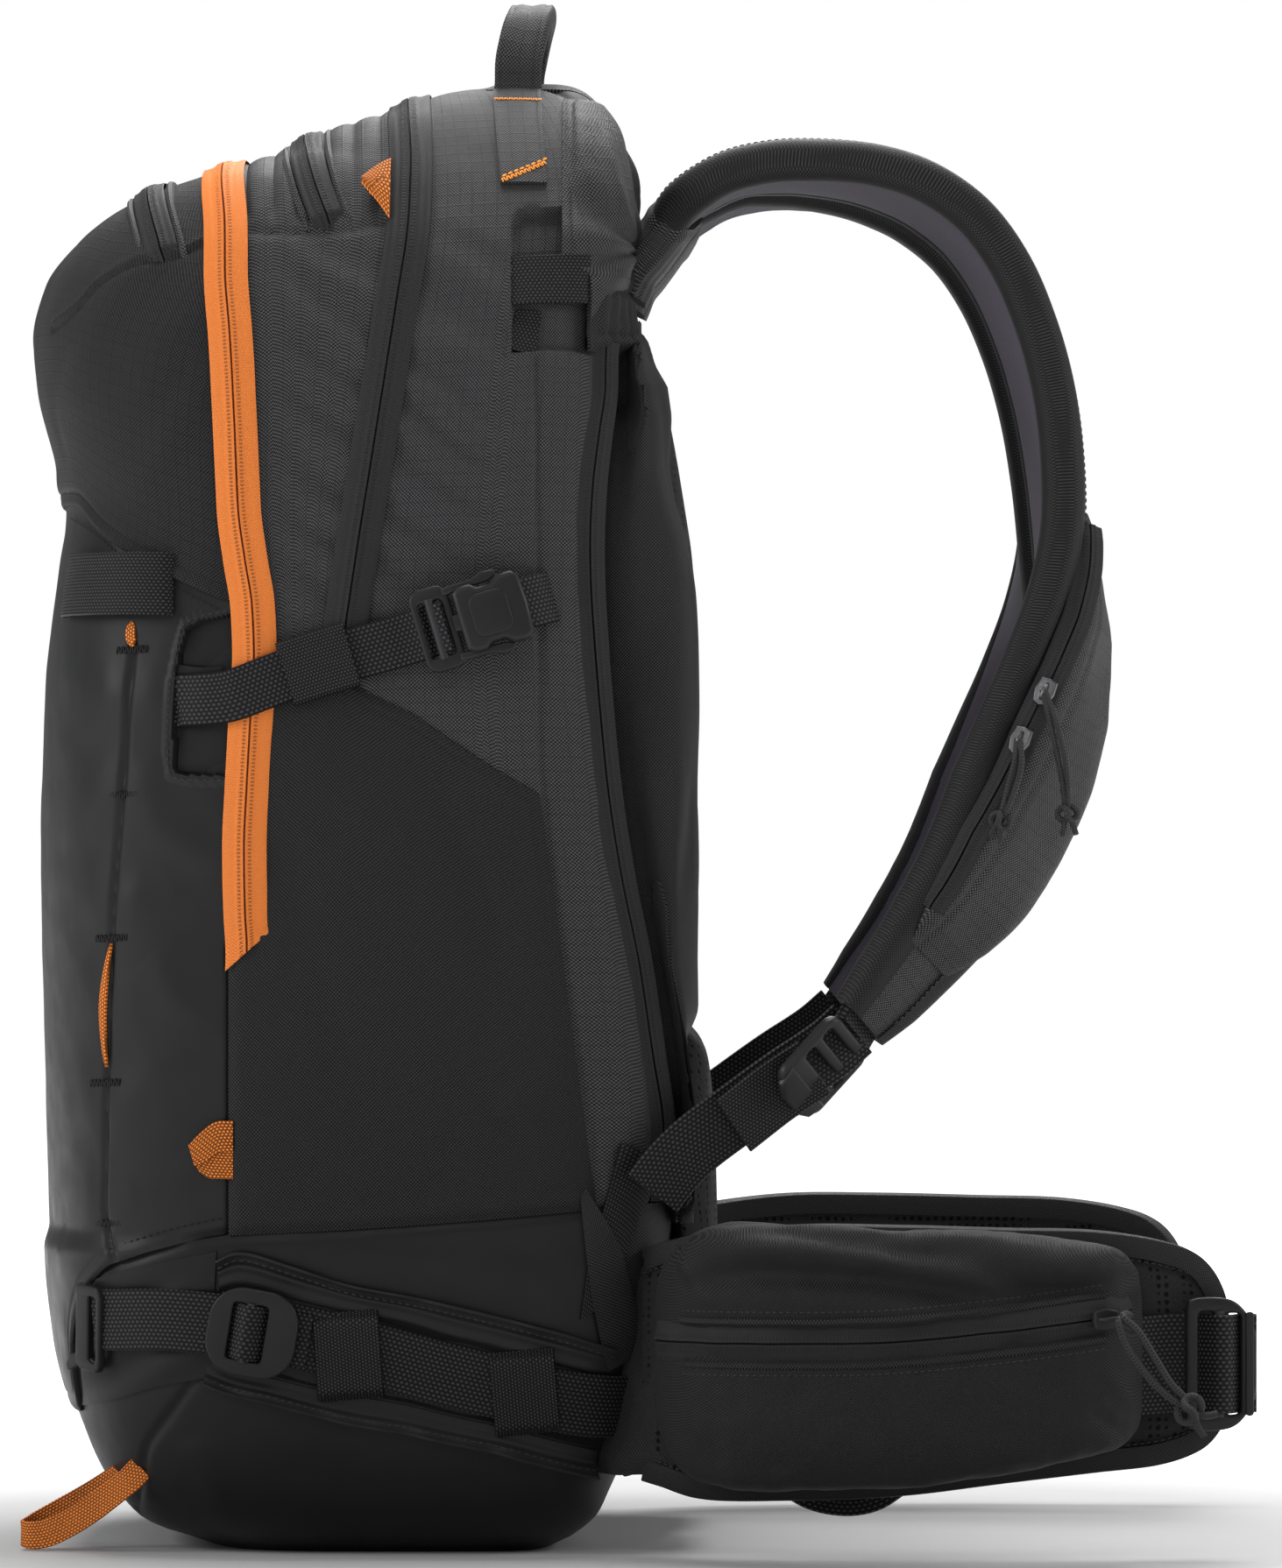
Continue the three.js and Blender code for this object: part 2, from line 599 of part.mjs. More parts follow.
// Follows the surface, then runs straight under the buckle.
function sideStrap() {
  const path = [ // [x, z]
    [-74, 333.5], [-64, 333.6], [-53, 334.2], [-42, 336.6], [-30, 340.2], [-18, 344.2],
  ];
  const curved = path.map(([x, z]) => onSide(x, z, RIGHT, 3.4));
  const straight = [-46, -36, -26, -16, -6].map((u) => vec(u, 0, 3.6).applyMatrix4(buckleFrame));
  const buckleNormal = normalAt(onSide(BUCKLE.x, BUCKLE.z, RIGHT));
  const normals = [
    ...curved.map((p) => normalAt(onSide(p.x, p.z, RIGHT))),
    ...straight.map(() => buckleNormal),
  ];
  return ribbon([...curved, ...straight], normals, WEB_SIDE_W, 0, 1.9);
}
// Hollow body, open at its front (-X) end.
function buckleSocket() {
  const body = roundedPlate({ width: 27, height: 26, corner: 2.5, depth: 9, at: [8.5, 0, 7.4] });
  return cut(body, box(2, 0, BUCKLE.midHeight, 20, 21, 5.4)).applyMatrix4(buckleFrame);
}
// Adjuster frame, tongue, and two arms outside the socket.
function bucklePlug() {
  const adjuster = slottedPlate(
    { width: 15, height: 33, corner: 3, depth: 5, at: [-13.5, 0, 9.4] },
    { xs: [-15], z: 12, width: 7, height: 22, depth: 12 });
  const tongue = box(-1.5, 0, BUCKLE.midHeight, 14, 18, 3.6);
  const arms = [14.9, -14.9].map((y) => box(4, y, BUCKLE.midHeight, 24, 2.2, 4));
  return union(adjuster, tongue, ...arms).applyMatrix4(buckleFrame);
}
addPairs([
  ["side_strap", sideStrap(), "web"],
  ["side_buckle_socket", buckleSocket(), "plastic"],
  ["side_buckle_plug", bucklePlug(), "plastic"],
]);

// ---------- lower ski straps ----------
function skiStrap() {
  const path = [ // [x, z]
    [88, 64], [72, 65], [56, 68], [38, 72], [20, 76], [2, 80], [-16, 83.6], [-34, 87.2],
    [-52, 89.6], [-68, 91.2], [-82, 92.4],
  ];
  return surfaceRibbon(path.map(([x, z]) => onSide(x, z, RIGHT)), WEB_LOWER_W, 2.2, 4);
}
// Oval plate with two slots.
function skiStrapSlider() {
  return slottedPlate(
    { width: 36, height: 34, corner: 13, arcSteps: 4, depth: 3.2, at: [0, 0, 5.2] },
    { xs: [-4.5, 3.5], z: 7, width: 5.2, height: 21, depth: 8 },
  ).applyMatrix4(sideFrame(-49, 89.3, vec(1, 0, -0.17)));
}
// Slotted plate with a finger, ahead of the strap's front (-X) end.
function skiStrapHook() {
  const plate = slottedPlate(
    { width: 17, height: 34, corner: 4, depth: 3.6, at: [0, 0, 2.4] },
    { xs: [2], z: 4, width: 5, height: 26, depth: 8 });
  const finger = box(-8.5, -13, 3.6, 10, 7, 2.6);
  return union(plate, finger).applyMatrix4(sideFrame(-103, 88, vec(1, 0, -0.02)));
}
addPairs([
  ["ski_strap", skiStrap(), "web"],
  ["ski_strap_slider", skiStrapSlider(), "plastic"],
  ["ski_strap_hook", skiStrapHook(), "plastic"],
]);

// ---------- tool loops, on the right ----------
function iceAxeLoop() {
  const anchor = onSide(-96, 22, RIGHT);
  const x = anchor.x - 4;
  const y = anchor.y - 2;
  const points = smooth(
    [[x, y, 25], [x - 9, y - 2, 19], [x - 20, y - 4, 12.5], [x - 34, y - 5, 6.4]], 7);
  return ribbon(points, points.map(() => vec(-0.35, 0, 0.94)), 11, -1.2, 3.2);
}
// Sewn at both ends and bowed out between them.
function shaftLoop() {
  const seat = frontArc(374.5, -77, 41).slice(0, 7);
  const points = seat.map((p, i) =>
    p.clone().addScaledVector(normalAt(p), 3 + 7 * Math.sin((Math.PI * i) / 6)));
  return ribbon(points, seat.map(normalAt), WEB_LOWER_W, 0, 2);
}
add("ice_axe_loop", iceAxeLoop(), "orange");
add("shaft_loop", shaftLoop(), "web");

// ---------- shoulder straps ----------
// Centre line of the right pad: [x, y, z, twist of the outer face about the line in degrees]
const STRAP = [
  [112, -52, 511, 0], [122, -56, 526, 0], [139, -62, 536.5, 0], [157, -67, 540, -2],
  [177, -72, 539.5, -4], [197, -76, 536, -7], [215, -79, 529, -9], [232, -81, 516.5, -10],
  [245.5, -83, 498, -10], [255.5, -85, 475, -9], [262.5, -87, 450, -8], [266.5, -90, 423.5, -6],
  [268, -93, 396, -2], [266.5, -97, 368.5, 8], [262.5, -102, 341.5, 22], [256.5, -107, 317, 34],
  [247.5, -112, 290, 42], [234, -117, 263, 46], [217, -121, 239, 46], [200, -125, 218, 44],
  [190, -127, 207, 42],
];
const strapPoints = STRAP.map(([x, y, z]) => vec(x, y, z));
const strapStations = strapPoints.map((point, i) => {
  const tangent = tangentAt(strapPoints, i);
  const normal = vec(tangent.z, 0, -tangent.x).normalize(); // in the side plane
  if (normal.dot(point.clone().sub(vec(160, -80, 400))) < 0) normal.negate();
  squareTo(tangent, normal).applyAxisAngle(tangent, radians(STRAP[i][3]));
  const side = tangent.clone().cross(normal).normalize();
  return { point, tangent, normal, side };
});
function shoulderPad() {
  const width = (i) => {
    if (i < 2) return 50 + 6 * i;
    return i > 16 ? STRAP_W - (i - 16) * 9 : STRAP_W;
  };
  const thickness = (i) => {
    if (i === 0) return 11;
    return i > 18 ? 12 : STRAP_T;
  };
  return loft(strapStations.map(({ point, side, normal }, i) =>
    padRing(point, side, normal, width(i), thickness(i))));
}
// Channel on the outer face of the right pad, open at both ends.
function triggerPocket() {
  const base = STRAP_T / 2 + 1.4;
  const stations = strapStations.slice(12, 18);
  const channel = (halfWidth, inset) => stations.map(({ point, side, normal }, i) => {
    const isEnd = i === 0 || i === stations.length - 1;
    const top = base + (isEnd ? 16 : 18) - inset;
    const corners = [[-halfWidth, base], [-halfWidth, top], [halfWidth, top], [halfWidth, base]];
    return corners.map(([u, v]) =>
      point.clone().addScaledVector(side, u).addScaledVector(normal, v));
  });
  return slab(channel(25, 0), channel(22.5, 2));
}
// Lower webbing, from just past the pad's end to the sewn corner.
const padEnd = strapStations[strapStations.length - 1];
const lowerPoints = [
  padEnd.point.clone().addScaledVector(padEnd.tangent, 4),
  vec(178, -130, 196), vec(160, -134, 184), vec(142, -138, 171), vec(126, -141, 159),
  vec(117, -142.5, 150),
];
const lowerNormals = lowerPoints.map((_, i) =>
  squareTo(tangentAt(lowerPoints, i), vec(0.25, -0.93, -0.1)));
function shoulderAdjuster() {
  return slottedPlate(
    { width: 34, height: 32, corner: 5, depth: 3.4, at: [0, 0, 2.8] },
    { xs: [-7, 5], z: 4, width: 6, height: 25, depth: 8 },
  ).applyMatrix4(frame(vec(172.5, -130.7, 192), tangentAt(lowerPoints, 1), lowerNormals[1]));
}
function triggerHandle() {
  const { point, side, normal } = strapStations[15];
  const centre = strapStations[14].point.clone().lerp(point, 0.5);
  centre.addScaledVector(normal, STRAP_T / 2 + 8.2);
  const grip = { width: 30, height: 26, corner: 7, arcSteps: 3, depth: 7, at: [0, 10, -3.5] };
  const stem = box(0, -14, 0, 9, 30, 5);
  return union(roundedPlate(grip), stem).applyMatrix4(frame(centre, side, normal));
}
addPairs([
  ["shoulder_pad", shoulderPad(), "fabric"],
  ["shoulder_webbing", ribbon(lowerPoints, lowerNormals, WEB_LOWER_W, -1, 1), "web"],
  ["shoulder_adjuster", shoulderAdjuster(), "plastic"],
]);
add("trigger_pocket", triggerPocket(), "fabric");
add("trigger_handle", triggerHandle(), "orange");

// ---------- hip belt ----------
// Right wing: [x, y, bottom z, top z, thickness]
const WING = [
  [116, -133, 28, 120, 12], [130, -139, 24, 124, 14], [165, -148, 24, 128, 15],
  [205, -152.5, 26, 128, 15], [245, -153.5, 31, 127, 15], [280, -151, 37, 125, 14],
  [303, -147.5, 41, 119, 13], [318, -144, 46, 110, 12], [327, -141, 56, 98, 9],
];
// Pocket on the right wing: [x, bottom z, top z, inset of the outer face]
const HIP_POCKET = [
  [118, 30, 120, 16], [124, 27, 126, 0], [150, 24, 129, 0], [200, 26, 130, 0],
  [250, 31, 128, 0], [285, 38, 124, 0], [294, 43, 118, 9],
];
const HIP_ZIP_Y = -185.6;
const BELT_WEB_Z = 76;
function hipWing() {
  const plan = WING.map(([x, y]) => vec(x, y, 0));
  return loft(WING.map(([x, y, bottom, top, thickness], i) => {
    const tangent = tangentAt(plan, i);
    const normal = vec(tangent.y, -tangent.x, 0);
    const centre = vec(x, y, (bottom + top) / 2);
    return padRing(centre, vec(0, 0, 1), normal, top - bottom, thickness);
  }));
}
// y of the wing's centre line
function wingY(x) {
  let i = 0;
  while (i < WING.length - 2 && WING[i + 1][0] < x) i++;
  const share = (x - WING[i][0]) / (WING[i + 1][0] - WING[i][0]);
  return WING[i][1] + (WING[i + 1][1] - WING[i][1]) * share;
}
function hipPocket() {
  const ring = (x, bottom, top, innerY, outerY, cornerShare) => {
    const centre = vec(x, (innerY + outerY) / 2, (bottom + top) / 2);
    const depth = innerY - outerY;
    return padRing(centre, vec(0, 0, 1), vec(0, -1, 0), top - bottom, depth, cornerShare);
  };
  const last = HIP_POCKET.length - 1;
  const body = HIP_POCKET.map(([x, bottom, top, inset], i) => {
    const innerY = wingY(x) - 9.6;
    const outerY = Math.min(-187 + inset, innerY - 8);
    return ring(x, bottom, top, innerY, outerY, i === 0 || i === last ? 0.4 : 0.3);
  });
  const endShifts = [4, 0, 0, 0, -2]; // along x, for each ring of the hollow
  const hollow = HIP_POCKET.slice(1, last).map(([x, bottom, top], i) =>
    ring(x + endShifts[i], bottom + 6, top - 6, wingY(x) - 5, -184.2, 0.12));
  return cut(loft(body), loft(hollow));
}
// Straight, over the pocket's outer face.
function hipPocketZip() {
  const points = steps(9, (u) => vec(126 + 158 * u, HIP_ZIP_Y - 2.2, 84.5 + 9.5 * u));
  return ribbon(points, points.map(() => vec(0, -1, 0)), 13, 0, 1.8);
}
function hipWebbing() {
  const path = [[301, -157.5], [312, -156], [322, -154.5], [333, -152], [343, -149.5]]; // [x, y]
  const points = path.map(([x, y]) => vec(x, y, BELT_WEB_Z));
  return ribbon(points, points.map(() => vec(0.1, -1, 0).normalize()), WEB_BELT_W, -1.1, 1.1);
}
function hipBuckle() {
  return slottedPlate(
    { width: 26, height: 49, corner: 5, depth: 4 },
    { xs: [-5.5, 6], z: 2, width: 7, height: 40, depth: 10 },
  ).applyMatrix4(frame(
    vec(328, -156.6, BELT_WEB_Z), vec(0.985, 0.17, 0), vec(0.17, -0.985, 0), vec(0, 0, 1)));
}
// At the +X end of the pocket zip.
function zipSlider() {
  return roundedPlate({ width: 9, height: 8, corner: 2, depth: 3.4 })
    .applyMatrix4(frame(vec(279, HIP_ZIP_Y - 4.6, 93.6), vec(0.998, 0, 0.06), vec(0, -1, 0)));
}
function zipCord() {
  // [x, distance outward from the zip line, z]
  const path = [
    [282, 11, 92], [287, 11.4, 86], [295, 11, 76], [303, 10.6, 66], [307, 10.4, 61.5],
  ];
  return tube(path.map(([x, outward, z]) => [x, HIP_ZIP_Y - outward, z]), 2.2);
}
addPairs([
  ["hip_wing", hipWing(), "fabric"],
  ["hip_webbing", hipWebbing(), "web"],
  ["hip_buckle", hipBuckle(), "plastic"],
]);
add("hip_pocket", hipPocket(), "fabric");
add("hip_pocket_zip", hipPocketZip(), "zip");
add("zip_slider", zipSlider(), "steel");
add("zip_cord", zipCord(), "web");

// ---------- airbag system, inside ----------
const FAN = { x: -5, z: 392 }; // the axis, along Y
const BUTTON = { x: -22, y: 34 };
const fanCylinder = (radius, length, segments, y) =>
  cylinderY(radius, length, segments).translate(FAN.x, y, FAN.z);
// Copies of a shape spaced evenly round the fan axis.
const aroundFan = (count, make, y) => Array.from({ length: count }, (_, k) =>
  make().rotateY(radians(k * (360 / count))).translate(FAN.x, y, FAN.z));
// Drum with a box-shaped outlet, both hollow.
function fanHousing() {
  const outletX = FAN.x + 26;
  return cut(
    union(fanCylinder(FAN_R, 54, 28, 0), box(outletX, 0, FAN.z + 40, 34, 46, 42)),
    fanCylinder(FAN_R - 4, 46, 28, -6),
    box(outletX, 0, FAN.z + 44, 28, 38, 44),
  );
}
function fanRotor() {
  const hub = fanCylinder(13, 34, 20, -3);
  const disc = fanCylinder(36, 2.4, 24, 9);
  return union(hub, disc, ...aroundFan(9, () => box(0, 0, 23, 2.2, 26, 22), -5));
}
function intakeGrille() {
  const holes = aroundFan(6, () => cylinderY(8, 12, 10).translate(0, 0, 27), -28.6);
  return cut(fanCylinder(FAN_R - 1, 2.4, 28, -28.8), ...holes);
}
function foldedAirbag() {
  // [z, width along y, depth along x]
  const stations = [[468, 150, 78], [474, 164, 90], [500, 164, 90], [522, 164, 90], [530, 150, 78]];
  return loft(stations.map(([z, width, depth]) =>
    padRing(vec(10, 0, z), vec(0, 1, 0), vec(1, 0, 0), width, depth, 0.18)));
}
function powerModule() {
  const body = { width: 96, height: 118, corner: 10, arcSteps: 3, depth: 38, at: [-22, 0, 9] };
  return cut(roundedPlate(body), cylinderZ(8.6, 12, 20).translate(BUTTON.x, BUTTON.y, 45));
}
const CABLE = [
  [46, -20, 446], [56, -48, 452], [68, -72, 458], [76, -90, 468], [80, -98, 482], [82, -98, 490],
];
add("fan_housing", fanHousing(), "plastic");
add("fan_rotor", fanRotor(), "plastic");
add("fan_motor", fanCylinder(18, 26, 24, 41), "steel");
add("intake_grille", intakeGrille(), "plastic");
add("folded_airbag", foldedAirbag(), "airbag");
add("power_module", powerModule(), "module");
add("power_button", cylinderZ(8, 7, 20).translate(BUTTON.x, BUTTON.y, 46.5), "button");
add("trigger_cable", tube(CABLE, 2.5), "plastic");

export default pack;
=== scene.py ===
"""Looks of the avalanche airbag backpack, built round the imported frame. Tables are in millimetres, meshes in metres.
The wearer's side is +X, the outer front panel is -X, the wearer's right is -Y."""
import bpy
import json
import math
import numpy as np
from mathutils import Vector, Matrix

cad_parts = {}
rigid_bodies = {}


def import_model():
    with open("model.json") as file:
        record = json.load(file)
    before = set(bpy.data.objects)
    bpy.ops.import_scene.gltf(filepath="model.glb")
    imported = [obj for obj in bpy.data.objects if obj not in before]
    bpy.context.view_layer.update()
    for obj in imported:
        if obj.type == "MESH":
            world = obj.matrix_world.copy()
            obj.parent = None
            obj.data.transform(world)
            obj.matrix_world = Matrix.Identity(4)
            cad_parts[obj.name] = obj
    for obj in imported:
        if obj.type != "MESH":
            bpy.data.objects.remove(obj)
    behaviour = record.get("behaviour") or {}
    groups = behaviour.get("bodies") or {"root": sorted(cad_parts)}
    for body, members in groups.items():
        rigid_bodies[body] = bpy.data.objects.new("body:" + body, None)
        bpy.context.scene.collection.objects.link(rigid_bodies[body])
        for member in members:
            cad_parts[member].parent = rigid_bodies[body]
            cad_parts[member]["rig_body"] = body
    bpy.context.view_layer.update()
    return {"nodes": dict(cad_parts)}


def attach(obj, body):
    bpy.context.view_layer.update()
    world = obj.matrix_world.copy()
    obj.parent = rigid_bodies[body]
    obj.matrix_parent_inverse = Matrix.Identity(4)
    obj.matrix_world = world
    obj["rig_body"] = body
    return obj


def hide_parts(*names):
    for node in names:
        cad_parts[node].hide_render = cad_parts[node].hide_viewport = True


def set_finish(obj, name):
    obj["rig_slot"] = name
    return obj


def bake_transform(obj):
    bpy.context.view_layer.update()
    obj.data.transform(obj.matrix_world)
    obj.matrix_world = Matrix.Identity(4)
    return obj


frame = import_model()
A = np.array
PI = math.pi

# ------------------------------------------------------------------ body surface, as in the design
FRONT = [[0, -67], [2.2, -72], [5, -82], [9.2, -92], [17.2, -100], [29.5, -108.5], [44.9, -115], [66, -121.5], [87, -125], [109, -127.5], [139, -129.3],
         [192, -131.3], [262, -132], [332, -130.2], [360, -127.8], [384, -124.3], [405, -121.5], [421, -125], [437, -129.5], [454.4, -133.2], [472, -134.6],
         [494.6, -129.5], [510.4, -119], [524.4, -103], [533.1, -86], [540.8, -61], [544.6, -45.5], [551.6, -29.8], [557.6, -14], [562.2, 0], [567, 11], [572.3, 28],
         [575.5, 46], [576.1, 61]]
BACK = [[0, 71], [2.2, 76], [8.1, 84], [24, 94], [60, 106], [100, 114], [130, 119], [165, 120], [195, 117.5], [229, 113], [263, 107], [297, 102],
        [331, 98.5], [375, 96.5], [415, 96.5], [437, 97], [472, 98], [489, 99.5], [496, 101.5], [524, 102.4], [536.6, 101], [545.4, 98.7], [556, 94.5],
        [566.4, 88], [572, 82], [575, 74], [576.1, 61.4]]
HALF = [[0, 100], [2.2, 106], [8, 117], [20, 129], [45, 138], [100, 143], [200, 146], [330, 146.5], [420, 142.5], [470, 135.5], [505, 125.5], [530, 111],
        [545, 97], [556, 83], [565, 66], [572, 43], [575, 22], [576.1, 0.5]]
ORANGE = [[118, -46.5], [236, -46], [249, -46.7], [273, -47], [297, -46], [322.6, -44.6], [346.6, -43.3], [366.5, -44], [384.7, -46.7], [405, -49.4],
          [438.8, -51], [472.5, -53.1], [496, -55.1], [513, -55.4], [532, -57], [545, -58]]
MAIN = [[118, -9], [359, -8], [368, -6.8], [398, -2.4], [421, 1.3], [453.6, 6.4], [486, 11.4], [519, 15.5], [536.7, 15.8], [558.7, 14.8], [570, 14.5]]
NF, NB = 3.4, 7.0


def curve(t):
    t = A(t, float); z, x = t[:, 0], t[:, 1]; h = np.diff(z); d = np.diff(x) / h; m = np.zeros(len(z)); m[0], m[-1] = d[0], d[-1]
    for i in range(1, len(z) - 1):
        if d[i - 1] * d[i] > 0:
            w1, w2 = 2 * h[i] + h[i - 1], h[i] + 2 * h[i - 1]
            m[i] = (w1 + w2) / (w1 / d[i - 1] + w2 / d[i])
    def f(q):
        q = np.clip(np.asarray(q, float), z[0], z[-1]); i = np.clip(np.searchsorted(z, q, side="right") - 1, 0, len(z) - 2)
        s = (q - z[i]) / h[i]; s2 = s * s; s3 = s2 * s
        return (2 * s3 - 3 * s2 + 1) * x[i] + (s3 - 2 * s2 + s) * h[i] * m[i] + (-2 * s3 + 3 * s2) * x[i + 1] + (s3 - s2) * h[i] * m[i + 1]
    return f


XF, XB, HW, XO, XM = map(curve, (FRONT, BACK, HALF, ORANGE, MAIN))


def sec(z):
    f, b = XF(z), XB(z)
    return (f + b) / 2, np.maximum((b - f) / 2, 0.05), np.maximum(HW(z), 0.05)


def field(x, y, z):
    c, a, b = sec(z); xi = (x - c) / a; n = np.where(xi < 0, NF, NB)
    return np.abs(xi) ** n + (np.abs(y) / b) ** n


def side_y(x, z):
    c, a, b = sec(z); xi = np.clip(np.abs((x - c) / a), 0, 1); n = np.where(x < c, NF, NB)
    return b * np.maximum(1 - xi ** n, 0) ** (1 / n)


def unit(v):
    return v / np.maximum(np.linalg.norm(v, axis=-1, keepdims=True), 1e-12)


def nrm(P):
    P = np.asarray(P, float); e = 0.5; x, y, z = P[..., 0], P[..., 1], P[..., 2]
    g = np.stack([field(x + e, y, z) - field(x - e, y, z), field(x, y + e, z) - field(x, y - e, z), field(x, y, z + e) - field(x, y, z - e)], -1)
    return unit(g)


def resample(P, n=None, step=None):
    P = np.asarray(P, float); L = np.r_[0, np.cumsum(np.linalg.norm(np.diff(P, axis=0), axis=1))]
    if n is None: n = max(3, int(round(L[-1] / step)) + 1)
    s = np.linspace(0, L[-1], n)
    return np.stack([np.interp(s, L, P[:, k]) for k in range(P.shape[1])], -1)


def spline(pts, n=None, step=None, sub=12):
    """centripetal Catmull-Rom through points, resampled evenly"""
    p = A(pts, float); p = np.vstack([2 * p[0] - p[1], p, 2 * p[-1] - p[-2]]); out = []
    for i in range(1, len(p) - 2):
        t = [0.0]
        for a, b in ((i - 1, i), (i, i + 1), (i + 1, i + 2)): t.append(t[-1] + max(np.linalg.norm(p[b] - p[a]), 1e-6) ** 0.5)
        for u in np.linspace(t[1], t[2], sub, endpoint=False):
            a1 = (t[1] - u) / (t[1] - t[0]) * p[i - 1] + (u - t[0]) / (t[1] - t[0]) * p[i]; a2 = (t[2] - u) / (t[2] - t[1]) * p[i] + (u - t[1]) / (t[2] - t[1]) * p[i + 1]
            a3 = (t[3] - u) / (t[3] - t[2]) * p[i + 1] + (u - t[2]) / (t[3] - t[2]) * p[i + 2]
            b1 = (t[2] - u) / (t[2] - t[0]) * a1 + (u - t[0]) / (t[2] - t[0]) * a2; b2 = (t[3] - u) / (t[3] - t[1]) * a2 + (u - t[1]) / (t[3] - t[1]) * a3
            out.append((t[2] - u) / (t[2] - t[1]) * b1 + (u - t[1]) / (t[2] - t[1]) * b2)
    out.append(p[-2])
    return resample(out, n, step)


def arc(z, x0, n):
    c, a, b = [float(v) for v in sec(z)]; xi = min(max((x0 - c) / a, -0.9999), 0); a0 = math.acos((-xi) ** (NF / 2))
    t = a0 - 2 * a0 * np.linspace(0, 1, 241); cx, sy = np.cos(t), np.sin(t)
    return resample(np.stack([c - a * cx ** (2 / NF), -np.sign(sy) * b * np.abs(sy) ** (2 / NF), np.full_like(t, z)], -1), n)


def arch(fx, z0, n=None, step=None):
    lo, hi = z0, 576.1
    for _ in range(60):
        m = (lo + hi) / 2; c, a, b = sec(m)
        if abs(fx(m) - c) < a and side_y(fx(m), m) > 0: lo = m
        else: hi = m
    u = np.linspace(0, 1, 400); z = z0 + (lo - z0) * (1 - (1 - u) ** 4); x = fx(z); y = -side_y(x, z); y[-1] = 0
    P = np.stack([x, y, z], -1)
    return resample(np.vstack([P, P[-2::-1] * [1, -1, 1]]), n, step)


def on(xz, lift=0.0, side=-1, step=2.0, smooth=True):
    """a path on the bag's side: points and outward normals"""
    q = A([[x, 0, z] for x, z in xz], float)
    q = spline(q, step=step) if smooth and len(q) > 2 else resample(q, step=step)
    P = np.stack([q[:, 0], side * side_y(q[:, 0], q[:, 2]), q[:, 2]], -1)
    N = nrm(P)
    return P + N * lift, N


# ------------------------------------------------------------------ noise, folds
def vnoise(p, seed=0):
    p = np.asarray(p, float) + seed * 17.13; i = np.floor(p).astype(np.int64); f = p - i; u = f * f * f * (f * (f * 6 - 15) + 10); r = 0
    for dx in (0, 1):
        for dy in (0, 1):
            for dz in (0, 1):
                h = ((i[..., 0] + dx) * 374761393 + (i[..., 1] + dy) * 668265263 + (i[..., 2] + dz) * 1274126177 + seed * 974711) & 0xFFFFFFFF
                h = ((h ^ (h >> 13)) * 1103515245) & 0xFFFFFFFF; h = (h ^ (h >> 16)) & 0xFFFF
                w = (u[..., 0] if dx else 1 - u[..., 0]) * (u[..., 1] if dy else 1 - u[..., 1]) * (u[..., 2] if dz else 1 - u[..., 2])
                r = r + w * (h / 32767.5 - 1)
    return r


def fbm(P, scale, seed=0, octaves=3, stretch=(1, 1, 1)):
    q = np.asarray(P, float) / scale * A(stretch, float); r, a = 0, 1.0
    for k in range(octaves): r = r + a * vnoise(q * 2 ** k, seed + k); a *= 0.5
    return r


def near(P, path):
    """distance of each point to a polyline in space, and the share along it"""
    Q = P.reshape(-1, 3); best = np.full(len(Q), 1e9); par = np.zeros(len(Q)); path = np.asarray(path, float)
    L = np.r_[0, np.cumsum(np.linalg.norm(np.diff(path, axis=0), axis=1))]
    for i in range(len(path) - 1):
        a, b = path[i], path[i + 1]; d = b - a; t = np.clip(((Q - a) @ d) / max(d @ d, 1e-9), 0, 1)
        r = np.linalg.norm(Q - a - t[:, None] * d, axis=1); k = r < best
        best[k] = r[k]; par[k] = ((L[i] + t * (L[i + 1] - L[i])) / L[-1])[k]
    return best.reshape(P.shape[:-1]), par.reshape(P.shape[:-1])


def fold(P, path, width, amp):
    """a soft fold along a path that fades at its ends"""
    r, t = near(P, path)
    return amp * np.exp(-((r / width) ** 2)) * np.sin(PI * np.clip(t, 0.02, 0.98)) ** 0.5


def groove(P, path, width, depth):
    r, _ = near(P, path)
    return -depth * np.exp(-((r / width) ** 2))


def inside(x, z, poly):
    r = np.zeros(np.shape(x), bool); n = len(poly)
    for i in range(n):
        (x1, z1), (x2, z2) = poly[i], poly[(i + 1) % n]
        if z1 == z2: continue
        k = ((z1 > z) != (z2 > z)) & (x < (x2 - x1) * (z - z1) / (z2 - z1) + x1)
        r ^= k
    return r


def smooth01(t):
    t = np.clip(t, 0, 1)
    return t * t * (3 - 2 * t)


# ------------------------------------------------------------------ meshes
def make(name, verts, faces, mat, uv=None, angle=40, body=None):
    """verts in mm; faces as index lists; uv per vertex in mm"""
    me = bpy.data.meshes.new(name)
    me.from_pydata((np.asarray(verts, float) * 0.001).tolist(), [], faces)
    if uv is not None:
        lay = me.uv_layers.new(name="UVMap"); li = np.zeros(len(me.loops), np.int32); me.loops.foreach_get("vertex_index", li)
        lay.data.foreach_set("uv", (np.asarray(uv, float)[li] * 0.001).astype(np.float32).ravel())
    me.validate(); me.update()
    o = bpy.data.objects.new(name, me); bpy.context.scene.collection.objects.link(o)
    import bmesh
    bm = bmesh.new(); bm.from_mesh(me); bmesh.ops.recalc_face_normals(bm, faces=bm.faces); bm.to_mesh(me); bm.free()
    me.polygons.foreach_set("use_smooth", [True] * len(me.polygons)); me.set_sharp_from_angle(angle=math.radians(angle))
    if mat is not None: me.materials.append(mat)
    if body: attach(o, body)
    return o


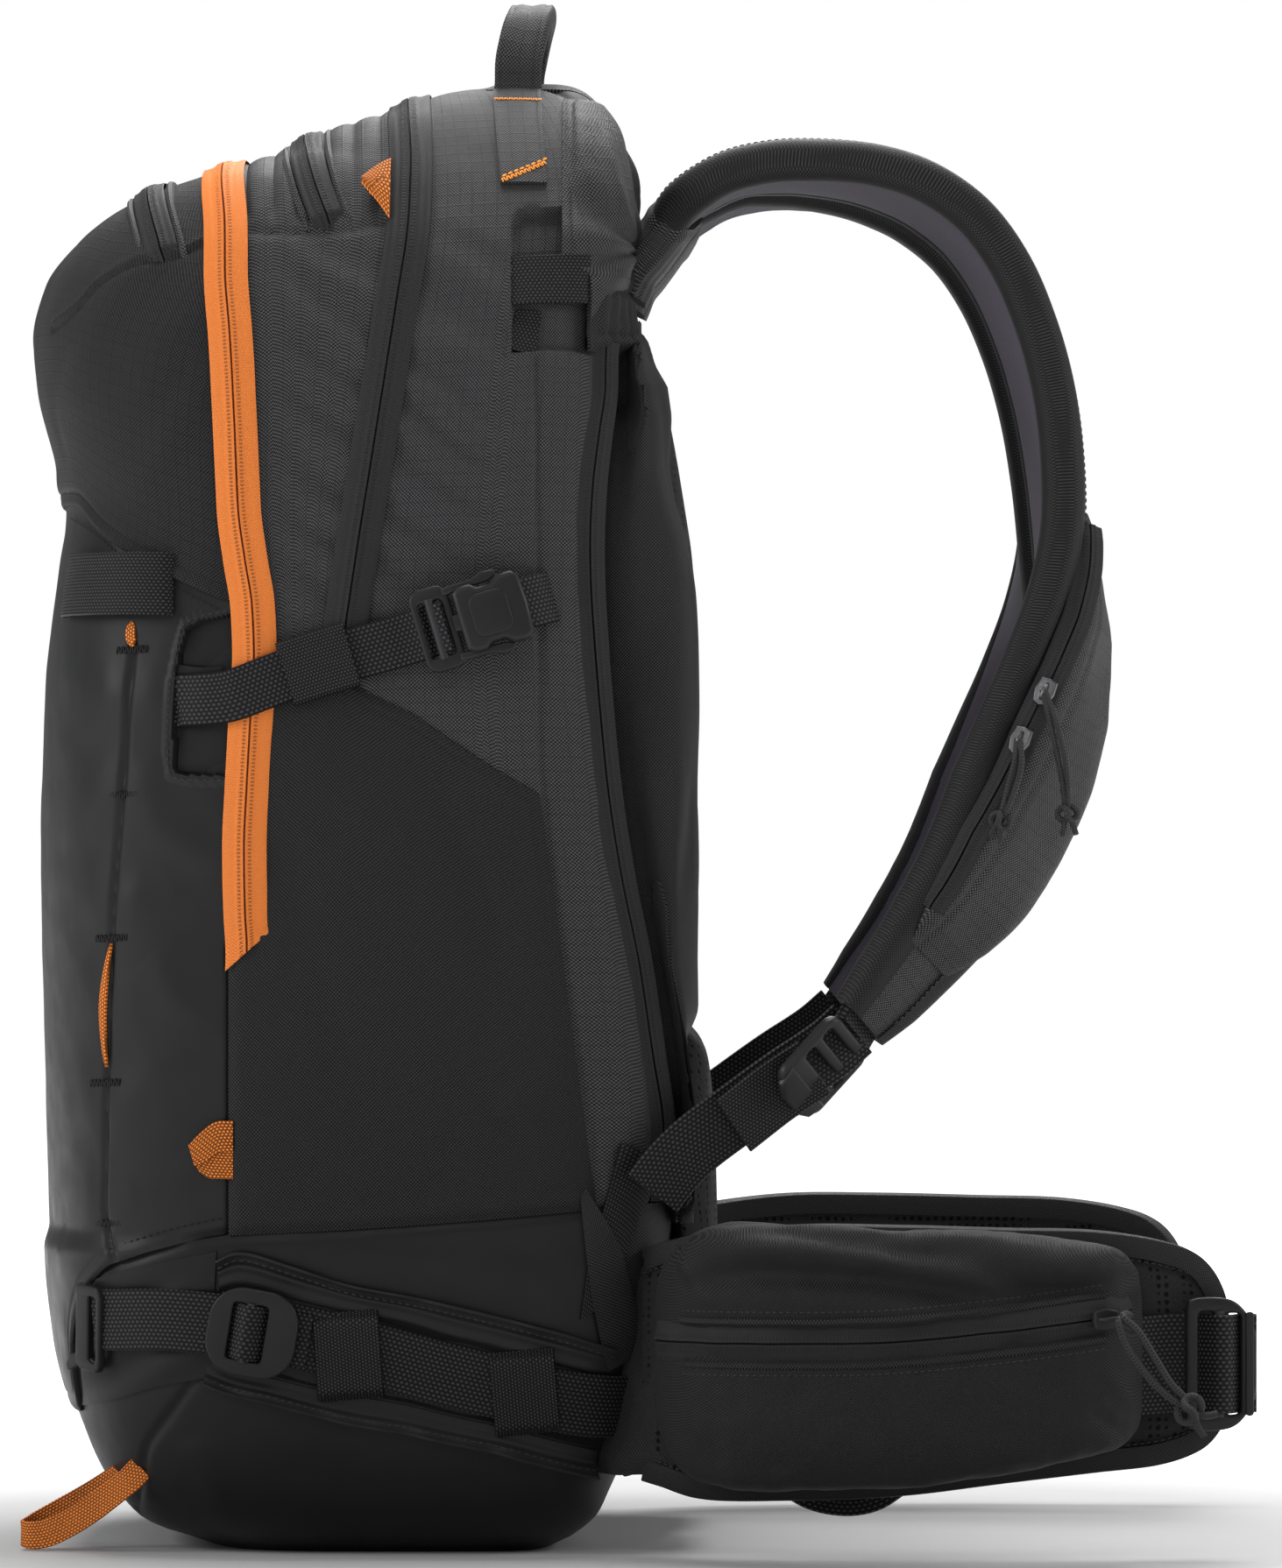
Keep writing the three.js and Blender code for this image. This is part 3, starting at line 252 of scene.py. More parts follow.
def grid_uv(P):
    du = np.linalg.norm(np.diff(P, axis=1), axis=2); u = np.concatenate([np.zeros((len(P), 1)), np.cumsum(du, 1)], 1); u -= u[:, [u.shape[1] // 2]]
    dv = np.linalg.norm(np.diff(P, axis=0), axis=2); v = np.concatenate([np.zeros((1, P.shape[1])), np.cumsum(dv, 0)], 0); v = np.repeat(v.mean(1)[:, None], P.shape[1], 1)
    return np.stack([u, v], -1)


def grid_normals(P):
    return unit(np.cross(np.gradient(P, axis=1), np.gradient(P, axis=0)))


def sheet(name, P, mat, thick=2.5, N=None, body="pack", uv=None, angle=50):
    """closed sheet from a grid of outer points"""
    P = np.asarray(P, float); r, c = P.shape[:2]; N = nrm(P) if N is None else N; inner = P - N * thick; uv = grid_uv(P) if uv is None else uv
    V = np.vstack([P.reshape(-1, 3), inner.reshape(-1, 3)]); U = np.vstack([uv.reshape(-1, 2)] * 2); o = r * c
    i, j = np.meshgrid(np.arange(r - 1), np.arange(c - 1), indexing="ij"); a = (i * c + j).ravel(); F = np.stack([a, a + 1, a + c + 1, a + c], -1)
    faces = F.tolist() + (F[:, ::-1] + o).tolist()
    for i in range(r - 1): faces += [[i * c, (i + 1) * c, o + (i + 1) * c, o + i * c], [(i + 1) * c + c - 1, i * c + c - 1, o + i * c + c - 1, o + (i + 1) * c + c - 1]]
    for j in range(c - 1): faces += [[j + 1, j, o + j, o + j + 1], [(r - 1) * c + j, (r - 1) * c + j + 1, o + (r - 1) * c + j + 1, o + (r - 1) * c + j]]
    return make(name, V, faces, mat, U, angle, body)


def frames(P, N, closed=False):
    P, N = np.asarray(P, float), np.asarray(N, float)
    T = unit(np.roll(P, -1, 0) - np.roll(P, 1, 0)) if closed else unit(np.gradient(P, axis=0))
    S = unit(np.cross(T, N)); return T, S, np.cross(S, T)


def sweep(name, P, N, section, mat, body="pack", wscale=None, closed=False, angle=40, cap=True, disp=None):
    """section: (across, up) pairs, going round; N the up direction at each point"""
    T, S, U = frames(P, N, closed); sc = np.asarray(section, float); n, k = len(P), len(sc)
    if sc.ndim == 2: sc = np.repeat(sc[None], n, 0)
    n, k = sc.shape[:2]
    if wscale is not None: sc = sc * np.stack([np.asarray(wscale), np.ones(n)], -1)[:, None, :]
    if disp is not None: sc = disp(sc)
    V = P[:, None] + S[:, None] * sc[..., :1] + U[:, None] * sc[..., 1:]
    L = np.r_[0, np.cumsum(np.linalg.norm(np.diff(P, axis=0), axis=1))]
    uv = np.stack([np.repeat(L[:, None], k, 1), sc[..., 0]], -1)
    faces = []
    a = np.arange(n - 1 if not closed else n)
    for j in range(k):
        j2 = (j + 1) % k; b = (a + 1) % n
        faces += np.stack([a * k + j, a * k + j2, b * k + j2, b * k + j], -1).tolist()
    if cap and not closed: faces += [list(range(k))[::-1], [(n - 1) * k + j for j in range(k)]]
    return make(name, V.reshape(-1, 3), faces, mat, uv.reshape(-1, 2), angle, body)


def flat_section(w, t, lift=0.0, r=0.5, m=7):
    """a webbing's cross section: flat, with soft edges"""
    x = np.linspace(-w / 2 + r, w / 2 - r, m)
    return [(-w / 2, lift + t * 0.5), *[(q, lift) for q in x], (w / 2, lift + t * 0.5), *[(q, lift + t) for q in x[::-1]]]


def round_section(r, m=10):
    return [(r * math.cos(a), r * math.sin(a)) for a in np.linspace(0, 2 * PI, m, endpoint=False)]


def tube(name, pts, r, mat, body="pack", step=1.2, m=10, closed=False):
    P = spline(pts, step=step) if len(pts) > 2 else resample(pts, step=step); T = unit(np.gradient(P, axis=0))
    n = np.cross(T[0], [0, 0, 1.0]); n = unit(n if np.linalg.norm(n) > 0.1 else np.cross(T[0], [1.0, 0, 0])); N = [n]
    for t in T[1:]: n = unit(n - t * (n @ t)); N.append(n)
    return sweep(name, P, A(N), round_section(r, m), mat, body)


def join(name, objs):
    """several made objects as one"""
    bpy.ops.object.select_all(action="DESELECT")
    for o in objs: o.select_set(True)
    bpy.context.view_layer.objects.active = objs[0]; bpy.ops.object.join(); objs[0].name = name; objs[0].data.name = name
    return objs[0]


def flipped(o, name, body=None):
    """the same piece on the other side"""
    me = o.data.copy(); co = np.zeros(len(me.vertices) * 3, np.float32); me.vertices.foreach_get("co", co); co = co.reshape(-1, 3); co[:, 1] *= -1
    me.vertices.foreach_set("co", co.ravel()); me.flip_normals(); me.update(); me.name = name
    q = bpy.data.objects.new(name, me); bpy.context.scene.collection.objects.link(q)
    b = body or o.get("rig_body")
    if b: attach(q, b.replace("_right", "_left"))
    if "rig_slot" in o: q["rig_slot"] = o["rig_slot"]
    return q


def both(o):
    """mirrors a piece named ..._right to ..._left"""
    return flipped(o, o.name.replace("_right", "_left"))


def stitches(name, P, N, mat, body="pack", pitch=3.0, length=1.9, r=0.28, lift=0.0, slant=0.0):
    """a row of thread dashes that sit half in the cloth"""
    P = np.asarray(P, float); L = np.r_[0, np.cumsum(np.linalg.norm(np.diff(P, axis=0), axis=1))]; s = np.arange(pitch / 2, L[-1], pitch)
    if not len(s): return None
    C = np.stack([np.interp(s, L, P[:, k]) for k in range(3)], -1); M = unit(np.stack([np.interp(s, L, np.asarray(N)[:, k]) for k in range(3)], -1))
    D = unit(np.stack([np.interp(s + 0.3, L, P[:, k]) - np.interp(s - 0.3, L, P[:, k]) for k in range(3)], -1)); S = np.cross(D, M)
    if slant: D = unit(D + S * slant); S = np.cross(D, M)
    prof = [(-0.5, 0.0), (-0.34, 1.0), (0.0, 1.25), (0.34, 1.0), (0.5, 0.0)]; V, F = [], []; ring = [(-1, 0), (-0.6, 0.8), (0.6, 0.8), (1, 0), (0, -0.8)]
    base = 0
    blocks = []
    for u, g in prof:
        for a, b in ring: blocks.append(C + D * (u * length) + S * (a * r * max(g, 0.25)) + M * (lift + b * r * max(g, 0.15)))
    V = np.stack(blocks, 1); k = len(ring); n = len(prof)
    one = [[i * k + j, i * k + (j + 1) % k, (i + 1) * k + (j + 1) % k, (i + 1) * k + j] for i in range(n - 1) for j in range(k)] + [list(range(k))[::-1], [(n - 1) * k + j for j in range(k)]]
    for q in range(len(C)): F += [[v + q * n * k for v in f] for f in one]
    return make(name, V.reshape(-1, 3), F, mat, None, 60, body)


def side_stitch(name, xz, mat, lift=0.0, side=-1, body="pack", pitch=3.0, **k):
    P, N = on(xz, 0, side, 1.0); return stitches(name, P, N, mat, body, pitch, lift=lift, **k)


def plate(name, outer, holes, z0, z1, bevel, mat, matrix=None, body="pack", res=2, uvscale=1.0):
    """a moulded plate: outline and holes in its own XY plane, rounded edges, between z0 and z1 (mm)"""
    cu = bpy.data.curves.new(name, "CURVE"); cu.dimensions = "2D"; cu.fill_mode = "BOTH"; cu.extrude = max((z1 - z0) / 2 - bevel, 0.01); cu.bevel_depth = bevel; cu.bevel_resolution = res; cu.offset = -bevel
    for pts in [outer, *holes]:
        s = cu.splines.new("POLY"); s.points.add(len(pts) - 1); s.use_cyclic_u = True
        for q, (x, y) in zip(s.points, pts): q.co = (x, y, 0, 1)
    o = bpy.data.objects.new(name, cu); bpy.context.scene.collection.objects.link(o); bpy.context.view_layer.update()
    me = bpy.data.meshes.new_from_object(o.evaluated_get(bpy.context.evaluated_depsgraph_get())); bpy.data.objects.remove(o); bpy.data.curves.remove(cu)
    co = np.zeros(len(me.vertices) * 3, np.float32); me.vertices.foreach_get("co", co); co = co.reshape(-1, 3).astype(float); co[:, 2] += (z0 + z1) / 2
    if matrix is not None: co = co @ matrix[:3, :3].T + matrix[:3, 3]
    faces = [list(p.vertices) for p in me.polygons]; bpy.data.meshes.remove(me)
    import bmesh
    q = make(name, co, faces, mat, None, 35, None)
    bm = bmesh.new(); bm.from_mesh(q.data); bmesh.ops.remove_doubles(bm, verts=bm.verts, dist=1e-6); bmesh.ops.recalc_face_normals(bm, faces=bm.faces); bm.to_mesh(q.data); bm.free()
    q.data.polygons.foreach_set("use_smooth", [True] * len(q.data.polygons)); q.data.set_sharp_from_angle(angle=math.radians(35))
    if body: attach(q, body)
    return q


def rrect(w, h, r, n=6, cx=0, cy=0):
    o = []
    for x, y, a0 in ((w / 2 - r, h / 2 - r, 0), (-w / 2 + r, h / 2 - r, 90), (-w / 2 + r, -h / 2 + r, 180), (w / 2 - r, -h / 2 + r, 270)):
        for i in range(n + 1):
            a = math.radians(a0 + 90 * i / n); o.append((cx + x + r * math.cos(a), cy + y + r * math.sin(a)))
    return o


def place(x, y, z, p):
    m = np.eye(4); m[:3, 0], m[:3, 1], m[:3, 2], m[:3, 3] = x, y, z, p; return m


def puff(o, voxel=5.0, pressure=4.0, cap=8.0, frames_n=20, pin=None, subdiv=True):
    """cloth simulation under a little pressure, applied, with each point's travel capped (mm)"""
    sc = bpy.context.scene; me = o.data
    bpy.ops.object.select_all(action="DESELECT"); o.select_set(True); bpy.context.view_layer.objects.active = o
    m = o.modifiers.new("r", "REMESH"); m.mode = "VOXEL"; m.voxel_size = voxel * 0.001; m.use_smooth_shade = True; bpy.ops.object.modifier_apply(modifier="r")
    rest = np.zeros(len(o.data.vertices) * 3, np.float32); o.data.vertices.foreach_get("co", rest); rest = rest.reshape(-1, 3).copy()
    if pin is not None:
        g = o.vertex_groups.new(name="pin"); w = pin(rest * 1000.0)
        for i, q in enumerate(w):
            if q > 0: g.add([i], float(q), "REPLACE")
    c = o.modifiers.new("c", "CLOTH"); s = c.settings; s.quality = 6; s.mass = 0.3; s.use_pressure = True; s.uniform_pressure_force = pressure; s.effector_weights.gravity = 0
    s.tension_stiffness = 25; s.compression_stiffness = 20; s.bending_stiffness = 2.0; c.collision_settings.use_collision = False; c.collision_settings.use_self_collision = False
    if pin is not None: s.vertex_group_mass = "pin"
    c.point_cache.frame_start, c.point_cache.frame_end = 1, frames_n
    for f in range(1, frames_n + 1): sc.frame_set(f)
    dg = bpy.context.evaluated_depsgraph_get(); ev = o.evaluated_get(dg); tmp = ev.to_mesh(); co = np.zeros(len(tmp.vertices) * 3, np.float32); tmp.vertices.foreach_get("co", co); co = co.reshape(-1, 3).copy(); ev.to_mesh_clear()
    o.modifiers.remove(c); sc.frame_set(1)
    d = co - rest; L = np.linalg.norm(d, axis=1, keepdims=True); d *= np.minimum(1, cap * 0.001 / np.maximum(L, 1e-9)); d[~np.isfinite(d)] = 0
    o.data.vertices.foreach_set("co", (rest + d).astype(np.float32).ravel()); o.data.update()
    if o.vertex_groups.get("pin"): o.vertex_groups.remove(o.vertex_groups["pin"])
    if subdiv:
        q = o.modifiers.new("s", "SUBSURF"); q.levels = q.render_levels = 1; bpy.ops.object.modifier_apply(modifier="s")
    o.data.polygons.foreach_set("use_smooth", [True] * len(o.data.polygons))
    return o


# ------------------------------------------------------------------ materials
class Nodes:
    def __init__(self, name):
        self.m = bpy.data.materials.new(name); self.m.use_nodes = True; self.t = self.m.node_tree; self.b = self.t.nodes["Principled BSDF"]
        self.uvn = None

    def new(self, kind, **k):
        n = self.t.nodes.new(kind)
        for a, v in k.items(): setattr(n, a, v)
        return n

    def put(self, sock, v):
        if hasattr(v, "is_output"): self.t.links.new(v, sock)
        elif v is not None: sock.default_value = v

    def math(self, op, a, b=None, c=None, clamp=False):
        n = self.new("ShaderNodeMath", operation=op, use_clamp=clamp)
        for s, v in zip(n.inputs, (a, b, c)): self.put(s, v)
        return n.outputs[0]

    def uv(self):
        if self.uvn is None:
            t = self.new("ShaderNodeUVMap"); s = self.new("ShaderNodeSeparateXYZ"); self.t.links.new(t.outputs[0], s.inputs[0])
            self.uvn = (self.math("MULTIPLY", s.outputs[0], 1000.0), self.math("MULTIPLY", s.outputs[1], 1000.0))
        return self.uvn

    def obj(self):
        return self.new("ShaderNodeTexCoord").outputs["Object"]

    def noise(self, scale, detail=3.0, rough=0.5, vec=None, dist=0.0):
        n = self.new("ShaderNodeTexNoise"); self.put(n.inputs["Vector"], vec if vec is not None else self.obj())
        n.inputs["Scale"].default_value = scale; n.inputs["Detail"].default_value = detail; n.inputs["Roughness"].default_value = rough; n.inputs["Distortion"].default_value = dist
        return n.outputs["Fac"] if "Fac" in n.outputs else n.outputs[0]

    def mapr(self, v, a, b, c, d, clamp=True):
        n = self.new("ShaderNodeMapRange", clamp=clamp)
        for s, q in zip(n.inputs, (v, a, b, c, d)): self.put(s, q)
        return n.outputs[0]

    def mix(self, f, a, b):
        n = self.new("ShaderNodeMix", data_type="RGBA"); self.put(n.inputs[0], f); self.put(n.inputs[6], a); self.put(n.inputs[7], b); return n.outputs[2]

    def scale_col(self, col, f):
        n = self.new("ShaderNodeMix", data_type="RGBA", blend_type="MULTIPLY"); n.inputs[0].default_value = 1.0; self.put(n.inputs[6], col)
        c = self.new("ShaderNodeCombineColor")
        for s in c.inputs: self.put(s, f)
        self.t.links.new(c.outputs[0], n.inputs[7]); return n.outputs[2]

    def bump(self, h, dist, strength=1.0, prev=None):
        n = self.new("ShaderNodeBump"); n.inputs["Strength"].default_value = strength; n.inputs["Distance"].default_value = dist; self.put(n.inputs["Height"], h)
        if prev is not None: self.t.links.new(prev, n.inputs["Normal"])
        return n.outputs[0]

    def done(self, col, rough, normal=None, sheen=0.0, sheen_rough=0.4, sheen_tint=(1, 1, 1, 1), metal=0.0, spec=0.5, coat=0.0):
        b = self.b; self.put(b.inputs["Base Color"], col); self.put(b.inputs["Roughness"], rough); b.inputs["Metallic"].default_value = metal
        b.inputs["Specular IOR Level"].default_value = spec * (1.0 if metal else 0.42); b.inputs["Sheen Weight"].default_value = sheen * 0.10; b.inputs["Sheen Roughness"].default_value = sheen_rough; b.inputs["Sheen Tint"].default_value = sheen_tint
        b.inputs["Coat Weight"].default_value = coat
        if normal is not None: self.t.links.new(normal, b.inputs["Normal"])
        return self.m


def rgb(r, g, b): return (r, g, b, 1.0)


def weave_mat(name, col, pitch=0.85, ripstop=0.0, rough=0.72, depth=0.00012, sheen=0.25, twill=False, tint=(1, 1, 1, 1), var=0.45, spec=0.35, light=1.7, low=0.28):
    """plain or twill cloth; a ripstop grid when its pitch is given. The raised yarns are painted brighter (up to light)
    and the hollows darker (down to low): a real weave pattern with painted highlight and painted shade on it.
    """
    n = Nodes(name); u, v = n.uv(); k = 2 * PI / pitch
    wob = n.noise(140, 2); uu = n.math("ADD", u, n.math("MULTIPLY", wob, 0.35)); vv = n.math("ADD", v, n.math("MULTIPLY", wob, 0.35))
    if twill:
        a = n.math("SINE", n.math("MULTIPLY", n.math("ADD", uu, n.math("MULTIPLY", vv, 0.55)), k)); b = n.math("SINE", n.math("MULTIPLY", vv, k * 1.6)); h = n.math("ADD", n.math("MULTIPLY", a, 0.38), n.math("MULTIPLY", b, 0.12))
    else:
        h = n.math("MULTIPLY", n.math("SINE", n.math("MULTIPLY", uu, k)), n.math("MULTIPLY", n.math("SINE", n.math("MULTIPLY", vv, k)), 0.5))
    h = n.math("ADD", h, 0.5, clamp=True); hp = n.math("POWER", h, 1.9)
    if ripstop:
        gu = n.math("PINGPONG", u, ripstop / 2); gv = n.math("PINGPONG", v, ripstop / 2)
        line = n.math("MAXIMUM", n.mapr(gu, 0.18, 0.42, 1.0, 0.0), n.mapr(gv, 0.18, 0.42, 1.0, 0.0))
        h2 = n.math("ADD", n.math("MULTIPLY", h, 0.8), n.math("MULTIPLY", line, 0.5))
    else: h2 = h; line = 0.0
    big = n.noise(9, 3, 0.6); fine = n.noise(1800, 2, 0.5)
    # raised yarns painted brighter and hollows darker: painted highlight and painted shade of the weave
    f = n.math("ADD", n.mapr(hp, 0, 1, low, light), n.math("MULTIPLY", n.math("SUBTRACT", big, 0.5), var))
    f = n.math("ADD", f, n.math("MULTIPLY", n.math("SUBTRACT", fine, 0.5), 0.5))
    if ripstop: f = n.math("SUBTRACT", f, n.math("MULTIPLY", line, 0.30))
    f = n.math("MAXIMUM", f, 0.12)
    c = n.scale_col(rgb(*col), f)
    r = n.math("ADD", n.math("MULTIPLY", n.math("SUBTRACT", big, 0.5), 0.15), rough)
    nb = n.bump(h2, depth, 1.0); nb = n.bump(fine, 0.00004, 0.6, nb)
    return n.done(c, r, nb, sheen, 0.45, tint, 0, spec)


def webbing_mat(name, col, row=1.6, dot=2.0, rough=0.6, light=2.4, depth=0.0002, sheen=0.2, spec=0.45):
    """woven webbing: rows of yarn along its length, each row broken into floats that alternate. The raised floats are
    painted brighter and the gaps darker: a real weave pattern with painted highlight and painted shade on it.
    """
    n = Nodes(name); u, v = n.uv(); r = n.math("DIVIDE", v, row); par = n.math("MULTIPLY", n.math("FLOORED_MODULO", n.math("FLOOR", r), 2.0), PI)
    across = n.math("ABSOLUTE", n.math("SINE", n.math("MULTIPLY", r, PI)))
    along = n.math("ADD", n.math("MULTIPLY", n.math("SINE", n.math("ADD", n.math("MULTIPLY", u, 2 * PI / dot), par)), 0.5), 0.5)
    h = n.math("MULTIPLY", across, n.math("ADD", n.math("MULTIPLY", along, 0.75), 0.25)); fine = n.noise(2200, 2); big = n.noise(25, 2)
    # raised floats painted brighter and gaps darker: painted highlight and painted shade of the weave
    f = n.math("ADD", n.mapr(n.math("POWER", h, 1.9), 0.05, 1, 0.30 if light < 3 else 0.12, light), n.math("MULTIPLY", n.math("SUBTRACT", fine, 0.5), 0.8)); f = n.math("ADD", f, n.math("MULTIPLY", n.math("SUBTRACT", big, 0.5), 0.4))
    nb = n.bump(h, depth, 1.0); nb = n.bump(fine, 0.00005, 0.6, nb)
    return n.done(n.scale_col(rgb(*col), f), rough, nb, sheen, 0.4, (1, 1, 1, 1), 0, spec)


def zip_mat(name, col, slit, rough=0.6, light=1.25, spec=0.35, half=2.1, dark=0.8):
    """zip tape: chevron weave, two stitched rows over the coil, a dark slit between the halves. The slit's colour is
    painted shade, and the stitch dents and the chevron's hollows are painted darker as their shade.
    """
    n = Nodes(name); u, v = n.uv(); av = n.math("ABSOLUTE", v)
    chev = n.math("SINE", n.math("MULTIPLY", n.math("ADD", u, n.math("MULTIPLY", n.math("PINGPONG", av, 1.4), 1.0)), 2 * PI / 0.95))
    row = n.mapr(n.math("ABSOLUTE", n.math("SUBTRACT", av, half)), 0.35, 0.95, 1.0, 0.0); dots = n.math("MULTIPLY", row, n.math("ADD", n.math("MULTIPLY", n.math("SINE", n.math("MULTIPLY", u, 2 * PI / 1.45)), 0.5), 0.5))
    cut = n.mapr(av, 0.16, 0.42, 1.0, 0.0); fine = n.noise(2000, 2)
    h = n.math("ADD", n.math("MULTIPLY", chev, 0.22), n.math("MULTIPLY", dots, -0.9)); h = n.math("ADD", h, n.math("MULTIPLY", cut, -1.0))
    # chevron hollows and stitch dents painted darker, and the slit painted near black: painted shade
    f = n.math("ADD", n.mapr(chev, -1, 1, dark, light), n.math("MULTIPLY", dots, -0.62)); f = n.math("ADD", f, n.math("MULTIPLY", n.math("SUBTRACT", fine, 0.5), 0.25))
    c = n.mix(cut, n.scale_col(rgb(*col), f), rgb(*slit)); nb = n.bump(h, 0.00022, 0.9); nb = n.bump(fine, 0.00004, 0.5, nb)
    return n.done(c, rough, nb, 0.15, 0.4, (1, 1, 1, 1), 0, spec)


def coated_mat(name, col, rough=0.46):
    """smooth coated cloth: faint weave under a satin skin, soft mottling"""
    n = Nodes(name); big = n.noise(7, 4, 0.55); mid = n.noise(60, 3, 0.6); fine = n.noise(2600, 2, 0.5)
    f = n.math("ADD", n.mapr(big, 0.3, 0.7, 0.9, 1.12), n.math("MULTIPLY", n.math("SUBTRACT", mid, 0.5), 0.14))
    r = n.math("ADD", n.mapr(mid, 0.3, 0.7, rough - 0.05, rough + 0.06), n.math("MULTIPLY", n.math("SUBTRACT", fine, 0.5), 0.1))
    nb = n.bump(fine, 0.00003, 0.55); nb = n.bump(mid, 0.0004, 0.25, nb)
    return n.done(n.scale_col(rgb(*col), f), r, nb, 0.05, 0.5, (0.9, 0.93, 1, 1), 0, 0.42)


def plastic_mat(name, col, rough=0.4, spec=0.5):
    """moulded plastic: fine spark-eroded grain, edges a little lighter from handling"""
    n = Nodes(name); g = n.noise(2600, 2, 0.6); b = n.noise(30, 3); p = n.new("ShaderNodeNewGeometry").outputs["Pointiness"]
    e = n.mapr(p, 0.52, 0.62, 0.0, 1.0); f = n.math("ADD", n.mapr(b, 0.3, 0.7, 0.9, 1.15), n.math("MULTIPLY", e, 1.6))
    r = n.math("SUBTRACT", n.mapr(g, 0.3, 0.7, rough - 0.04, rough + 0.08), n.math("MULTIPLY", e, 0.1))
    return n.done(n.scale_col(rgb(*col), f), r, n.bump(g, 0.00004, 0.5), 0, 0.5, (1, 1, 1, 1), 0, spec)


def mesh_mat(name, col, pitch=3.2):
    """open spacer mesh: staggered round holes in a knitted face, the holes painted near black as the shade inside them
    """
    n = Nodes(name); v = n.new("ShaderNodeTexVoronoi", feature="F1", distance="EUCLIDEAN"); n.put(v.inputs["Vector"], n.obj()); v.inputs["Scale"].default_value = 1000.0 / pitch; v.inputs["Randomness"].default_value = 0.12
    d = v.outputs["Distance"]; hole = n.mapr(d, 0.22, 0.36, 1.0, 0.0); fine = n.noise(2400, 2); big = n.noise(12, 3)
    # hole colour near black: painted shade inside the holes
    c = n.mix(hole, n.scale_col(rgb(*col), n.math("ADD", n.mapr(fine, 0.3, 0.7, 0.7, 1.5), n.math("MULTIPLY", n.math("SUBTRACT", big, 0.5), 0.5))), rgb(0.002, 0.002, 0.002))
    nb = n.bump(n.math("SUBTRACT", 1.0, hole), 0.0006, 0.8); nb = n.bump(fine, 0.00006, 0.7, nb)
    return n.done(c, 0.8, nb, 0.3, 0.4, (1, 1, 1, 1), 0, 0.3)


def cord_mat(name, col):
    # the braid's raised strands are painted brighter and its hollows darker: painted highlight and painted shade on the
    # braid's pattern
    n = Nodes(name); u, v = n.uv(); a = n.math("SINE", n.math("MULTIPLY", n.math("ADD", u, n.math("MULTIPLY", v, 1.4)), 2 * PI / 1.3)); b = n.math("SINE", n.math("MULTIPLY", n.math("SUBTRACT", u, n.math("MULTIPLY", v, 1.4)), 2 * PI / 1.3))
    h = n.math("ADD", n.math("MULTIPLY", n.math("MAXIMUM", a, b), 0.5), 0.5); fine = n.noise(2600, 2)
    return n.done(n.scale_col(rgb(*col), n.math("ADD", n.mapr(h, 0, 1, 0.4, 2.2), n.math("MULTIPLY", n.math("SUBTRACT", fine, 0.5), 0.5))), 0.6, n.bump(h, 0.0002, 0.9), 0.2)


def thread_mat(name, col, rough=0.55):
    n = Nodes(name); w = n.noise(3000, 2)
    return n.done(n.scale_col(rgb(*col), n.mapr(w, 0.3, 0.7, 0.75, 1.3)), rough, n.bump(w, 0.00005, 0.6), 0.1)


def metal_mat(name, col, rough=0.3):
    n = Nodes(name); w = n.noise(900, 3); s = n.noise(60, 2)
    return n.done(n.scale_col(rgb(*col), n.mapr(s, 0.3, 0.7, 0.85, 1.1)), n.mapr(w, 0.3, 0.7, rough - 0.08, rough + 0.12), n.bump(w, 0.00003, 0.5), 0, 0.5, (1, 1, 1, 1), 1.0)


BLK = (0.0125, 0.0125, 0.0140)
m_rip = weave_mat("ripstop_cloth", (0.0150, 0.0147, 0.0155), 1.4, 5.6, 0.58, depth=0.00022, sheen=0.22, light=7.0, low=0.12)
m_rip_dark = weave_mat("ripstop_cloth_dark", (0.0095, 0.0094, 0.0100), 1.3, 5.2, 0.64, depth=0.0002, sheen=0.18, light=4.8, low=0.15)
m_side = weave_mat("side_panel_cloth", (0.0070, 0.0069, 0.0074), 1.35, 0, 0.60, depth=0.00022, sheen=0.18, light=6.2, low=0.12)
m_cloth = weave_mat("pack_cloth", (0.0082, 0.0082, 0.0088), 1.3, 0, 0.62, depth=0.0002, sheen=0.18, light=6.4, low=0.12)
m_twill = weave_mat("pocket_twill", (0.0080, 0.0080, 0.0090), 0.8, 0, 0.66, sheen=0.16, twill=True, light=1.9, low=0.6)
m_bind = weave_mat("binding_tape", (0.0105, 0.0105, 0.0112), 1.25, 0, 0.6, depth=0.00009, sheen=0.25, light=3.4, low=0.35)
m_lining = weave_mat("strap_lining", (0.082, 0.072, 0.098), 0.6, 0, 0.8, sheen=0.5, light=1.2, depth=0.00006)
m_coat = coated_mat("coated_cloth", (0.0128, 0.0130, 0.0140), 0.42)
m_coat_dark = coated_mat("coated_cloth_dark", (0.0085, 0.0086, 0.0092), 0.46)
m_boot = coated_mat("boot_coated_cloth", (0.0082, 0.0084, 0.0092), 0.42)
m_web = webbing_mat("black_webbing", (0.0056, 0.0056, 0.0062), light=9.5)
m_web_fine = webbing_mat("fine_webbing", (0.0062, 0.0062, 0.0067), 1.25, 1.6, light=8.0)
m_elastic = webbing_mat("elastic_keeper", (0.0062, 0.0062, 0.0068), 1.25, 1.3, light=8.0)
m_orange_web = webbing_mat("orange_webbing", (0.66, 0.190, 0.034), 1.1, 1.5, light=1.9, rough=0.65, spec=0.3)
